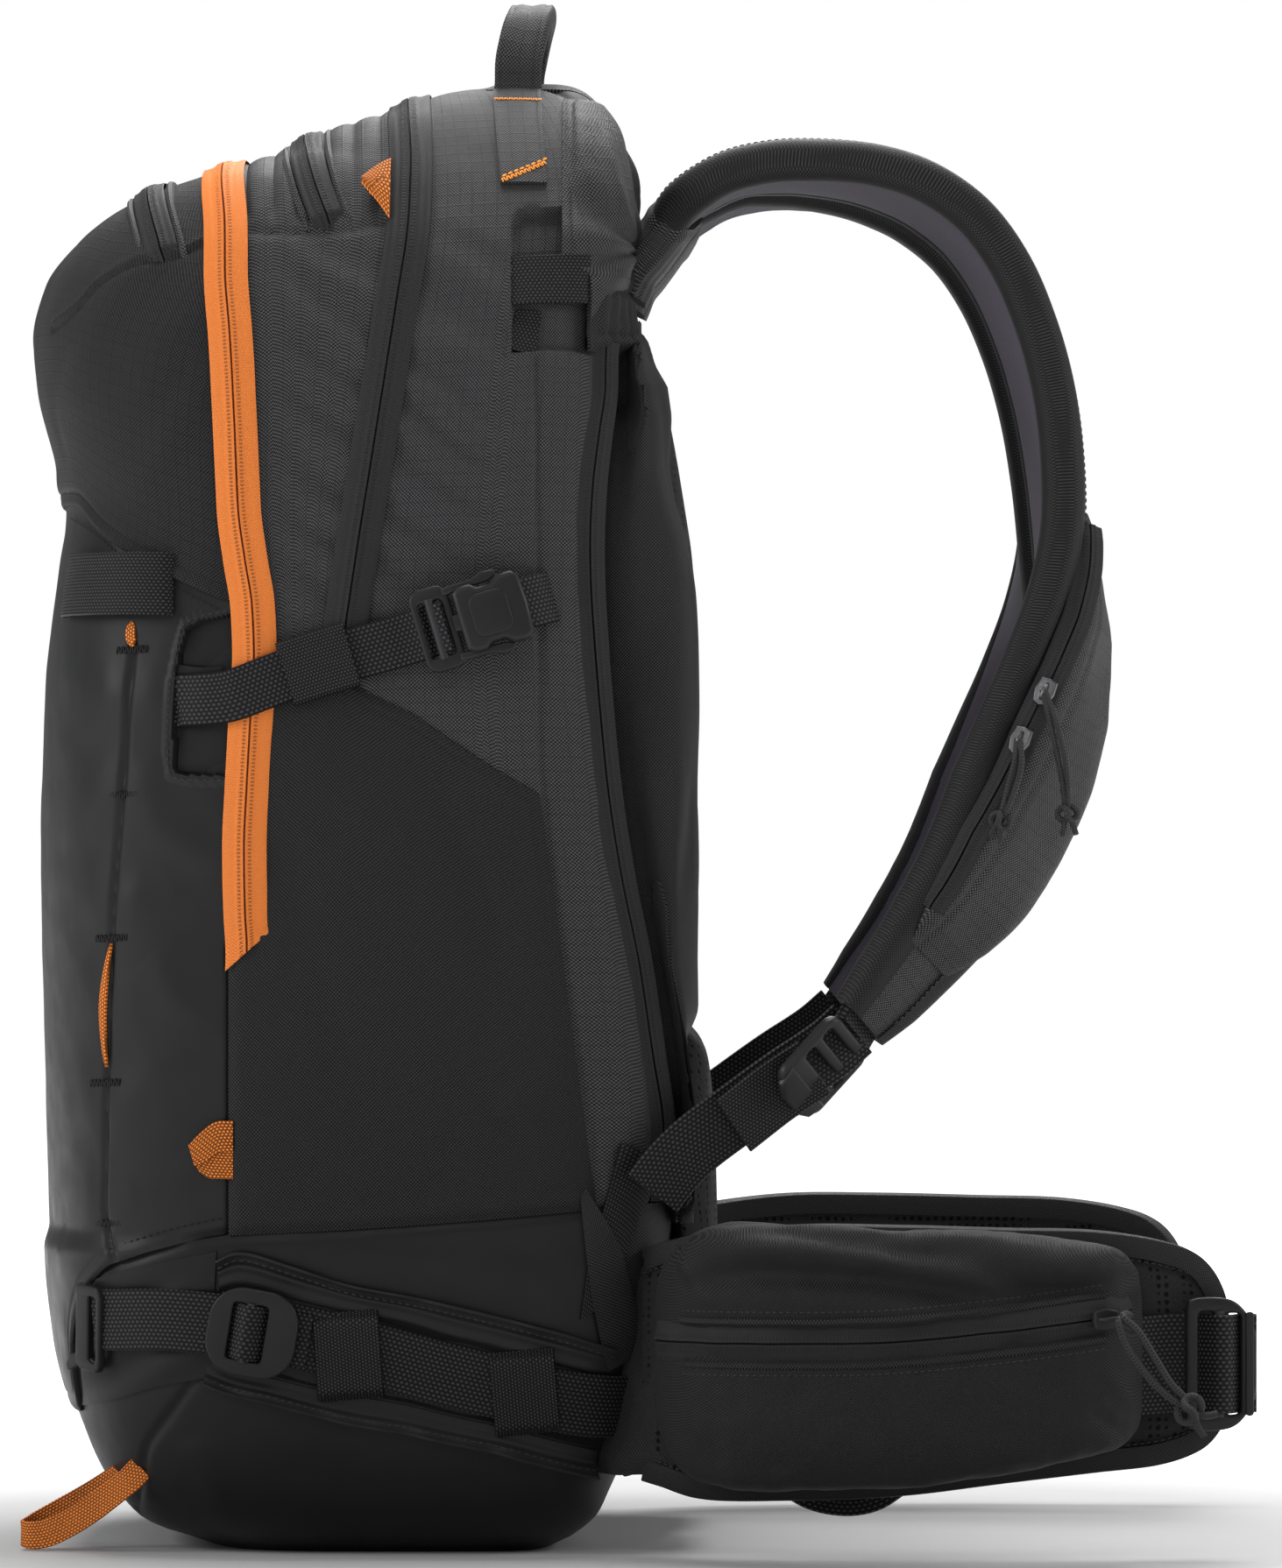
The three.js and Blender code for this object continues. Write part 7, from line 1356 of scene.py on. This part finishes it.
def cloth_obj_mat(name, col, pitch, uexpr, vexpr, ripstop=0.0, **k):
    """the same cloth for simulated pieces, whose weave follows object space"""
    m = weave_mat(name, col, pitch, ripstop, **k); t = m.node_tree; uvn = [n for n in t.nodes if n.type == "UVMAP"][0]; sep = [l.to_node for l in t.links if l.from_node == uvn][0]; tc = t.nodes.new("ShaderNodeTexCoord"); s2 = t.nodes.new("ShaderNodeSeparateXYZ"); t.links.new(tc.outputs["Object"], s2.inputs[0]); cmb = t.nodes.new("ShaderNodeCombineXYZ")
    for idx, ex in ((0, uexpr), (1, vexpr)):
        cur = None
        for ax, w in zip("XYZ", ex):
            if w == 0: continue
            mm = t.nodes.new("ShaderNodeMath"); mm.operation = "MULTIPLY_ADD"; t.links.new(s2.outputs[ax], mm.inputs[0]); mm.inputs[1].default_value = w
            if cur is not None: t.links.new(cur, mm.inputs[2])
            else: mm.inputs[2].default_value = 0.0
            cur = mm.outputs[0]
        t.links.new(cur, cmb.inputs[idx])
    for l in [l for l in t.links if l.to_node == sep]: t.links.remove(l)
    t.links.new(cmb.outputs[0], sep.inputs[0]); t.nodes.remove(uvn); return m


m_pocket = cloth_obj_mat("hip_pocket_cloth", (0.0098, 0.0098, 0.0102), 1.15, (1, 0, 0), (0, -0.5, 1), 0, rough=0.62, depth=0.0002, sheen=0.16, light=3.6, low=0.35)


def displace(o, fn):
    co = np.zeros(len(o.data.vertices) * 3, np.float32); o.data.vertices.foreach_get("co", co); P = co.reshape(-1, 3).astype(float) * 1000; nn = np.zeros(len(o.data.vertices) * 3, np.float32); o.data.vertices.foreach_get("normal", nn); N = nn.reshape(-1, 3).astype(float)
    P = fn(P, N); o.data.vertices.foreach_set("co", (P * 0.001).astype(np.float32).ravel()); o.data.update()


pkt = pocket(); puff(pkt, 4.0, 4.0, 3.5, 16, pin=lambda R: smooth01((R[:, 1] + 166) / 6) * 1.0)


def pocket_shape(P, N):
    x, y, z = P.T; out = smooth01((-y - 160) / 8); h = 1.0 * fbm(P, 30, 131, 3) * out + 0.3 * fbm(P, 9, 133, 2) * out; F2 = P * [1, 0, 1]; f = lambda pts, w, a: out * fold(F2, A([(px, 0, pz) for px, py, pz in pts], float), w, a)
    h += f([(122, -184, 108), (150, -187, 113), (195, -188, 111), (232, -187, 104), (262, -186, 104), (290, -182, 108)], 4.4, -4.8) + f([(122, -184, 114), (150, -186, 118.5), (195, -187, 116), (240, -186, 110), (286, -183, 113)], 5.8, 3.2)
    h += f([(140, -178, 130), (170, -181, 126), (205, -182, 121), (232, -183, 119)], 4.8, -3.4) + f([(205, -178, 128), (240, -180, 122), (276, -178, 119)], 4.5, 2.6) + f([(118, -178, 118), (128, -182, 108), (132, -184, 98)], 3.5, 1.6)
    h += f([(276, -184, 60), (288, -180, 52), (294, -172, 48)], 3, -1.6) + f([(282, -184, 74), (291, -180, 64), (296, -172, 58)], 3, 1.4) + f([(126, -184, 62), (150, -187, 52), (190, -188, 50)], 10, 1.2) + f([(130, -182, 40), (180, -185, 36), (240, -184, 42)], 6, -0.8)
    zz = np.interp(x, [110, 145, 195, 245, 290], [82.5, 82.5, 83.0, 87.5, 94.0]); h += out * (-3.0 * np.exp(-((z - zz - 2.5) / 7.5) ** 4)); h += f([(232, -187, 113), (252, -187, 108), (268, -186, 107), (291, -181, 110)], 3.8, -4.2) + f([(236, -186, 119), (262, -185, 115), (288, -181, 116)], 4.6, 3.4) + f([(116, -176, 124), (140, -183, 122), (176, -185, 121), (214, -185, 113)], 4.6, 3.2) + f([(122, -183, 101), (150, -188, 103), (190, -189, 100), (220, -189, 97)], 5, 1.4); return P + N * h[:, None]


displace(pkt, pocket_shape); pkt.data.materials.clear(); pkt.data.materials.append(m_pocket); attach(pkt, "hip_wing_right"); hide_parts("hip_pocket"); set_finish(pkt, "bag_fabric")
from mathutils.bvhtree import BVHTree


def caster(o):
    dg = bpy.context.evaluated_depsgraph_get(); t = BVHTree.FromObject(o, dg)
    def hit(p, d):
        loc, n, i, dist = t.ray_cast(Vector(A(p) * 0.001), Vector(d)); return (A(loc) * 1000, A(n)) if loc is not None else (None, None)
    return hit


hit = caster(pkt)


def on_pocket(xz, step=1.0):
    q = spline([(x, 0, z) for x, z in xz], step=step); P, N = [], []
    for x, _, z in q:
        p, n = hit((x, -260, z), (0, 1, 0))
        if p is not None: P.append(p); N.append(n)
    P, N = A(P), A(N); k = 9; w = np.ones(k) / k
    sm = lambda M: np.stack([np.convolve(np.pad(M[:, c], k // 2, mode="edge"), w, "valid") for c in range(3)], -1)
    return sm(P), unit(sm(N))


ZL = [(111.5, 84.6), (120, 84.7), (145.1, 85), (195.1, 86.0), (245.2, 90.5), (284, 95.5), (292.5, 98.0)]
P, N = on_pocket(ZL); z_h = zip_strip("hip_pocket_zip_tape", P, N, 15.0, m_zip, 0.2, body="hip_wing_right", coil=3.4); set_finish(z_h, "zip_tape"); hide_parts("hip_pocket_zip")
for nm, dz, mt in (("upper", 8.6, m_pocket), ("lower", -8.4, m_pocket)):
    P, N = on_pocket([(x, z + dz) for x, z in ZL[1:-1]]); o = sweep(f"pocket_piping_{nm}", P, N, [(-1.6, -1.0), (-1.3, 0.9), (0, 1.9), (1.3, 0.9), (1.6, -1.0)], m_cloth, "hip_wing_right")
    P, N = on_pocket([(x, z + dz * 1.42) for x, z in ZL[1:-1]]); stitches(f"pocket_stitch_{nm}", P, N, m_thread_lit, "hip_wing_right", 2.7, 1.8, 0.25, 0.1)

# slider, cord and knot of the hip pocket
zp, zn = on_pocket([(270, 94.0), (281.5, 95.4), (290, 96.6)]); i0 = int(np.argmin(np.abs(zp[:, 0] - 281))); s0, d0 = zp[i0] + zn[i0] * 1.6, unit(zp[i0 + 3] - zp[i0 - 3])


def hip_pull():
    n, t = zn[i0], d0; s = unit(np.cross(t, n)); M = place(t, s, n, s0); o = [plate("b", [(-5.2, -3.4), (-5.8, 0), (-5.2, 3.4), (0, 4.1), (4.6, 2.6), (5.6, 0), (4.6, -2.6), (0, -4.1)], [], 1.2, 3.8, 0.8, m_plastic, M, None, 3)]
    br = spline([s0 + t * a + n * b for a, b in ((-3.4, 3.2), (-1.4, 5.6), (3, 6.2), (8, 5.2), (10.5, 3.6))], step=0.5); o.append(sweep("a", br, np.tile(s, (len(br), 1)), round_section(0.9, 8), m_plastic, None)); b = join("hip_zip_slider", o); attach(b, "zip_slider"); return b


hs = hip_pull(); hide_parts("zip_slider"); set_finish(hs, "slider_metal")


def hip_cord():
    eye = s0 + d0 * 8.6 + zn[i0] * 4.9; mid = (eye + A([287, -196, 94.5])) / 2 + A([0.8, 0, 0.6]); a = A([eye.tolist(), mid.tolist(), [287, -196, 94.5], [289.5, -197, 86], [296, -197, 76], [304.5, -196.8, 67], [311, -196.5, 62.5]]); b = A([eye.tolist(), (mid + A([0.8, 0.3, 1.0])).tolist(), [288.5, -195, 96], [294, -196.4, 91], [301, -196.6, 80], [307, -196.6, 70.5], [313, -196.3, 64.5]]); c = [tube("a", a, 1.45, m_cord, None, 0.9, 10), tube("b", b, 1.45, m_cord, None, 0.9, 10)]
    e = A([313.0, -196.4, 61.5]); d = unit(A([1, 0, -0.7])); k1 = unit(A([0.7, 0, 1.0])); k2 = A([0, 1.0, 0]); t_ = np.linspace(0, 2 * PI, 60, endpoint=False)
    K = A([e + d * (3.6 * math.sin(2 * q) + 1.0) + k1 * (4.0 * math.cos(q) + 1.3 * math.cos(3 * q)) + k2 * (2.4 * math.sin(q) - 1.2 * math.sin(3 * q)) for q in t_]); c.append(tube("k", np.vstack([K, K[:1]]), 1.5, m_cord, None, 0.8, 10))
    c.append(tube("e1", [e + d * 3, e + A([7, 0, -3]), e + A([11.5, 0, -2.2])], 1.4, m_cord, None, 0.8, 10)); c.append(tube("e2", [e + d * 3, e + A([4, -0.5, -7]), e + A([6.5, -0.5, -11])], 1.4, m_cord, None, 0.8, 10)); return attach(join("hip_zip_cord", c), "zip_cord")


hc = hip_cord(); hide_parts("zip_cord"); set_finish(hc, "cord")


def hip_web():
    U, W, Z = A([0.985, 0.17, 0]), A([0, 0, 1.0]), A([0.17, -0.985, 0]); B = A([328, -156.6, 76]); pt = lambda u, n: B + U * u + Z * n
    P = spline([(282, -163.0, 74.5), (292, -160.8, 75), (301, -157.8, 75.5), (309, -155.8, 76), pt(-12, -2.6), pt(-7.5, -2.0), pt(-4.0, 1.5), pt(-1.2, 4.3), pt(2.0, 4.3), pt(4.6, 1.8), pt(7.6, -2.0), pt(11, -2.6), pt(14.6, -2.6)], step=1.2)
    T = unit(np.gradient(P, axis=0)); N = unit(np.cross(W[None], T)); N *= np.sign(N @ Z)[:, None]; a = sweep("a", P, N, flat_section(38, 2.0, -1.0, 0.5, 23), m_web, None, angle=35)
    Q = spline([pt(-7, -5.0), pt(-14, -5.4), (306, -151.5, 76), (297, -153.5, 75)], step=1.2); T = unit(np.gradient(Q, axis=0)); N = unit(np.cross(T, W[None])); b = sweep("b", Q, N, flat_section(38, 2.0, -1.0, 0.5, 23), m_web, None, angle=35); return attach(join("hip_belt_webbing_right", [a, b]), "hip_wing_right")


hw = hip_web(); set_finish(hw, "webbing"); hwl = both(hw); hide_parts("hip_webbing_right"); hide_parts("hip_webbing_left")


def hip_buckle():
    M = place(A([0.985, 0.17, 0]), A([0, 0, 1.0]), A([0.17, -0.985, 0]), A([328, -156.6, 76]))
    out = [(-13, -24.5), (-9.5, -25.5), (4, -24.5), (9.5, -20), (13.2, -13), (13.8, 0), (13.2, 13), (9.5, 20), (4, 24.5), (-9.5, 25.5), (-13, 24.5), (-13.8, 21), (-13.8, -21)]; out = [tuple(v) for v in spline(out[:11] , 60)] + out[11:]
    o = plate("b", out, [rrect(6.4, 40.5, 2, 5, -6.0, 0), rrect(6.0, 39.0, 2, 5, 4.6, 0)], -2.2, 2.6, 1.3, m_plastic, M, None, 3); bar = sweep("r", A([[-0.8, -20.5, 1.6], [-0.8, 20.5, 1.6]]) @ M[:3, :3].T + M[:3, 3], np.tile(M[:3, 2], (2, 1)), round_section(2.1, 14), m_plastic, None); lip = plate("l", rrect(3.2, 40, 1.4, 5, 10.8, 0), [], 2.0, 3.6, 0.6, m_plastic, M, None, 2)
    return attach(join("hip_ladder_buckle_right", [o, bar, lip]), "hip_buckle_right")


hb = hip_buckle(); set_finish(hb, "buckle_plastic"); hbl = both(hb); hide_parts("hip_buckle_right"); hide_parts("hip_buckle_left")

# ------------------------------------------------------------------ back: padded panel, lumbar pad, gusset
BP_Z = A([478, 473, 462.2, 453.8, 442, 421.7, 408.2, 394.7, 377.9, 357.6, 330.6, 229.5, 212.6, 205])[::-1]; BP_X = A([104.5, 108.4, 111.7, 116.8, 118.5, 118.5, 121.2, 125.2, 127.9, 128.9, 129.3, 128.6, 129.0, 129.0])[::-1]


def pad_form(name, z0, z1, w_fn, x_fn, base_fn, chan, inset):
    zs = np.linspace(z0, z1, int((z1 - z0) / 4)); ts = np.linspace(-1, 1, 64); rows = []
    for z in zs:
        w = w_fn(z); y = ts * w; e = np.minimum((1 - np.abs(ts)) * w, np.minimum(z - z0, z1 - z)); r = smooth01(e / 16) ** 0.5; x = base_fn(z) + (x_fn(z) - inset - base_fn(z)) * np.maximum(r, 0.12); x = x - chan(y, z) * r; rows.append(np.stack([x, y, np.full_like(y, z)], -1))
    P = np.stack(rows); N = np.zeros_like(P); N[..., 0] = 1; back = P.copy(); back[..., 0] = A([base_fn(z) for z in zs])[:, None] - 1.5
    r, c = P.shape[:2]; V = np.vstack([P.reshape(-1, 3), back.reshape(-1, 3)]); o = r * c; i, j = np.meshgrid(np.arange(r - 1), np.arange(c - 1), indexing="ij"); a = (i * c + j).ravel(); F = np.stack([a, a + 1, a + c + 1, a + c], -1); faces = F.tolist() + (F[:, ::-1] + o).tolist()
    for i in range(r - 1): faces += [[i * c, (i + 1) * c, o + (i + 1) * c, o + i * c], [(i + 1) * c + c - 1, i * c + c - 1, o + i * c + c - 1, o + (i + 1) * c + c - 1]]
    for j in range(c - 1): faces += [[j + 1, j, o + j, o + j + 1], [(r - 1) * c + j, (r - 1) * c + j + 1, o + (r - 1) * c + j + 1, o + (r - 1) * c + j]]
    return make(name, V, faces, None, None, 60, None)


def chan_main(y, z): return 9 * np.exp(-((np.abs(y) - 0) / 11) ** 4) + 3.5 * np.exp(-((z - 392 + 0.16 * np.abs(y)) / 5) ** 2) * (np.abs(y) > 8) + 3.5 * np.exp(-((z - 300) / 5) ** 2) * (np.abs(y) > 8)


bpn = pad_form("back_pad_cover", 208, 477, lambda z: np.interp(z, [208, 240, 420, 460, 477], [104, 110, 106, 96, 78]), lambda z: float(np.interp(z, BP_Z, BP_X)), lambda z: float(XB(z)) + 0.8, chan_main, 3.2)
puff(bpn, 5.5, 4.0, 5.0, 16, pin=lambda R: np.clip(1 - smooth01((R[:, 0] - np.interp(R[:, 2], *np.stack([np.linspace(0, 576, 100), XB(np.linspace(0, 576, 100))])) - 3) / 5) + (np.abs(R[:, 1]) < 9) * 1.0, 0, 1))
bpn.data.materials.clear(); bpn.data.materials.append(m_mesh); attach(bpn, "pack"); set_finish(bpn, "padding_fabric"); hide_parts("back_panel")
lmb = pad_form("lumbar_pad_cover", 27, 207, lambda z: np.interp(z, [27, 45, 120, 170, 207], [86, 100, 103, 92, 74]), lambda z: float(np.interp(z, [27, 32, 148, 200, 207], [133, 137.0, 136.5, 135.5, 132])), lambda z: float(XB(z)) + 0.8, lambda y, z: 7 * np.exp(-(y / 14) ** 4) + 2.5 * np.exp(-((z - 96) / 5) ** 2), 3.4)
puff(lmb, 5.5, 4.0, 5.0, 16, pin=lambda R: np.clip(1 - smooth01((R[:, 0] - 119) / 6) + (np.abs(R[:, 1]) < 11) * 1.0, 0, 1))
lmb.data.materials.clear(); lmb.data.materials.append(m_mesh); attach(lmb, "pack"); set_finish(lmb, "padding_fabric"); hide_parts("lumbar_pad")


def gusset():
    """smooth stretch cloth from the back zip to the padded panel"""
    rows = []
    for z in np.linspace(128, 479, 138):
        xa = min(float(np.interp(z, [p[1] for p in BZ], [p[0] for p in BZ])), float(XB(z)) - 7.5) + 5.6; ya = -float(side_y(xa, z)); xp = float(np.interp(z, BP_Z, BP_X)) - 1.5; xp += (float(XB(z)) + 3.2 - xp) * float(smooth01((212 - z) / 22)); w = float(np.interp(z, [128, 150, 185, 212, 240, 420, 460, 479], [108, 104, 100, 105, 108, 104, 94, 78])); e = smooth01(min(z - 128, 479 - z) / 14)
        bul = 1.0 + 0.9 * math.sin(z / 31.0); p = spline([(xa, ya - 0.5, z), (xa + 5, ya - 1.2 * e + (0.0), z), (max(xa + 9, xp - 9), -(w + 22 * e), z), (xp - 1.5, -(w + 6), z), (xp, -(w - 6), z), (xp - 1.5, -(w - 16), z)], 54); rows.append(p)
    P = np.stack(rows); N = grid_normals(P); N *= np.sign((N * A([1.0, -1.0, 0])).sum(-1))[..., None]; D = edge_dist(P, "lrtb"); h = 1.6 * smooth01(D / 14) * fbm(P, 60, 141, 2, (1, 1, 0.7)) + 0.8 * smooth01(D / 8) * fbm(P, 24, 143, 2, (1, 1, 0.5)); h += fold(P, A([[118, -112, 452], [121, -112, 432], [123, -110, 412]], float), 6, -1.6) + fold(P, A([[126, -110, 300], [122, -118, 276], [116, -126, 250]], float), 8, -2.0) + fold(P, A([[112, -128, 262], [110, -130, 236], [116, -128, 212]], float), 7, 1.5)
    P = P + N * h[..., None]; return sheet("back_gusset_right", P, m_cloth, 1.6, N, uv=grid_uv(P))


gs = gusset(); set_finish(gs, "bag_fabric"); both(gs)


def leg_tab():
    P = spline([(164, -148.3, 31), (171, -149, 27), (178, -149.8, 25), (187, -150.6, 24.5), (195, -151.4, 26.5), (202, -152, 31)], step=1.2); N = np.tile(unit(A([0, -1.0, 0.25])), (len(P), 1)); T = unit(np.gradient(P, axis=0)); N = unit(N - T * (N * T).sum(1)[:, None]); return sweep("belt_lower_tab", P, N, flat_section(15, 2.0, -1.0, 0.5, 13), m_web, "hip_wing_right")


leg_tab()

# ------------------------------------------------------------------ inner parts that keep their own shape
m_fan = plastic_mat("fan_plastic_grey", (0.028, 0.028, 0.030), 0.45); m_frame = plastic_mat("frame_sheet_plastic", (0.02, 0.02, 0.021), 0.5); m_bag = weave_mat("airbag_nylon", (0.55, 0.075, 0.03), 0.5, 0, 0.6, twill=False, light=1.15, depth=0.00005)
m_case = metal_mat("module_case_metal", (0.32, 0.32, 0.34), 0.42); m_stay = metal_mat("stay_aluminium", (0.6, 0.6, 0.62), 0.35); m_button = plastic_mat("button_rubber", (0.25, 0.03, 0.02), 0.55); m_motor = metal_mat("motor_can", (0.42, 0.42, 0.44), 0.3)
for n_, m_ in {"fan_housing": m_fan, "fan_rotor": m_fan, "fan_motor": m_motor, "intake_grille": m_fan, "frame_sheet": m_frame, "frame_stay": m_stay, "folded_airbag": m_bag, "power_module": m_case, "power_button": m_button, "trigger_cable": m_cord, "trigger_handle": m_orange_web}.items():
    ob = frame["nodes"][n_]; ob.data.materials.clear(); ob.data.materials.append(m_)


# ------------------------------------------------------------------ stage, light, camera
def stage_all():
    # floor: grey (0.5) near the pack as painted shade, glowing more with distance from the pack until it is white: a
    # painted glow that stands in for light
    fm = Nodes("paper_floor"); w = fm.noise(4, 2); sp = fm.new("ShaderNodeSeparateXYZ"); fm.t.links.new(fm.obj(), sp.inputs[0]); dx = fm.math("SUBTRACT", sp.outputs[0], 0.1); r = fm.math("SQRT", fm.math("ADD", fm.math("MULTIPLY", dx, dx), fm.math("MULTIPLY", sp.outputs[1], sp.outputs[1])))
    # emission rising from 0 at 0.3 m to 1 at 0.8 m from the pack is painted light
    fm.done(fm.scale_col(rgb(0.50, 0.50, 0.50), fm.mapr(w, 0, 1, 0.995, 1.005)), 0.85, None, 0, 0.5, (1, 1, 1, 1), 0, 0.1); fm.b.inputs["Emission Color"].default_value = (1, 1, 1, 1); fm.put(fm.b.inputs["Emission Strength"], fm.mapr(r, 0.30, 0.80, 0.0, 1.0))
    V = [(-6000, -5000, 0), (6000, -5000, 0), (6000, 5000, 0), (-6000, 5000, 0)]
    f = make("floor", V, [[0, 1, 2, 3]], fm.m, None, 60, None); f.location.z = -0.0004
    wd = bpy.data.worlds.new("w"); bpy.context.scene.world = wd; wd.use_nodes = True; t = wd.node_tree; bg = t.nodes["Background"]; bg.inputs[0].default_value = (1, 1, 1, 1); bg.inputs[1].default_value = 0.22
    b2 = t.nodes.new("ShaderNodeBackground"); b2.inputs[0].default_value = (1, 1, 1, 1); b2.inputs[1].default_value = 1.0; mx = t.nodes.new("ShaderNodeMixShader"); lp = t.nodes.new("ShaderNodeLightPath"); t.links.new(lp.outputs["Is Camera Ray"], mx.inputs[0]); t.links.new(bg.outputs[0], mx.inputs[1]); t.links.new(b2.outputs[0], mx.inputs[2]); t.links.new(mx.outputs[0], t.nodes["World Output"].inputs[0])
    def area(name, loc, target, size, power, sy=None):
        d = bpy.data.lights.new(name, "AREA"); d.energy = power; d.size = size; d.shape = "RECTANGLE"; d.size_y = sy or size
        o = bpy.data.objects.new(name, d); bpy.context.scene.collection.objects.link(o); o.location = loc
        v = Vector(target) - Vector(loc); o.rotation_euler = v.to_track_quat("-Z", "Y").to_euler(); return o
    area("top", (0.1, 0.30, 2.3), (0.1, 0, 0.3), 1.3, 52)
    area("left", (-2.3, -0.9, 1.2), (0, 0, 0.3), 1.2, 34)
    area("right", (2.4, -0.4, 1.3), (0.1, 0, 0.3), 1.2, 26)
    area("front", (-0.5, -2.9, 2.0), (0.1, 0, 0.3), 1.5, 17)
    area("back", (0.3, 1.9, 2.0), (0.1, 0, 0.3), 1.3, 42)
    cd = bpy.data.cameras.new("cam"); cam = bpy.data.objects.new("cam", cd); bpy.context.scene.collection.objects.link(cam); cam.location = (0.1055, -4.0, 0.2986); cam.rotation_euler = (PI / 2, 0, 0)
    cd.sensor_width = 36; cd.lens = 229.8; cd.clip_end = 60; bpy.context.scene.camera = cam
    bpy.context.scene.view_settings.view_transform = "Standard"


stage_all()
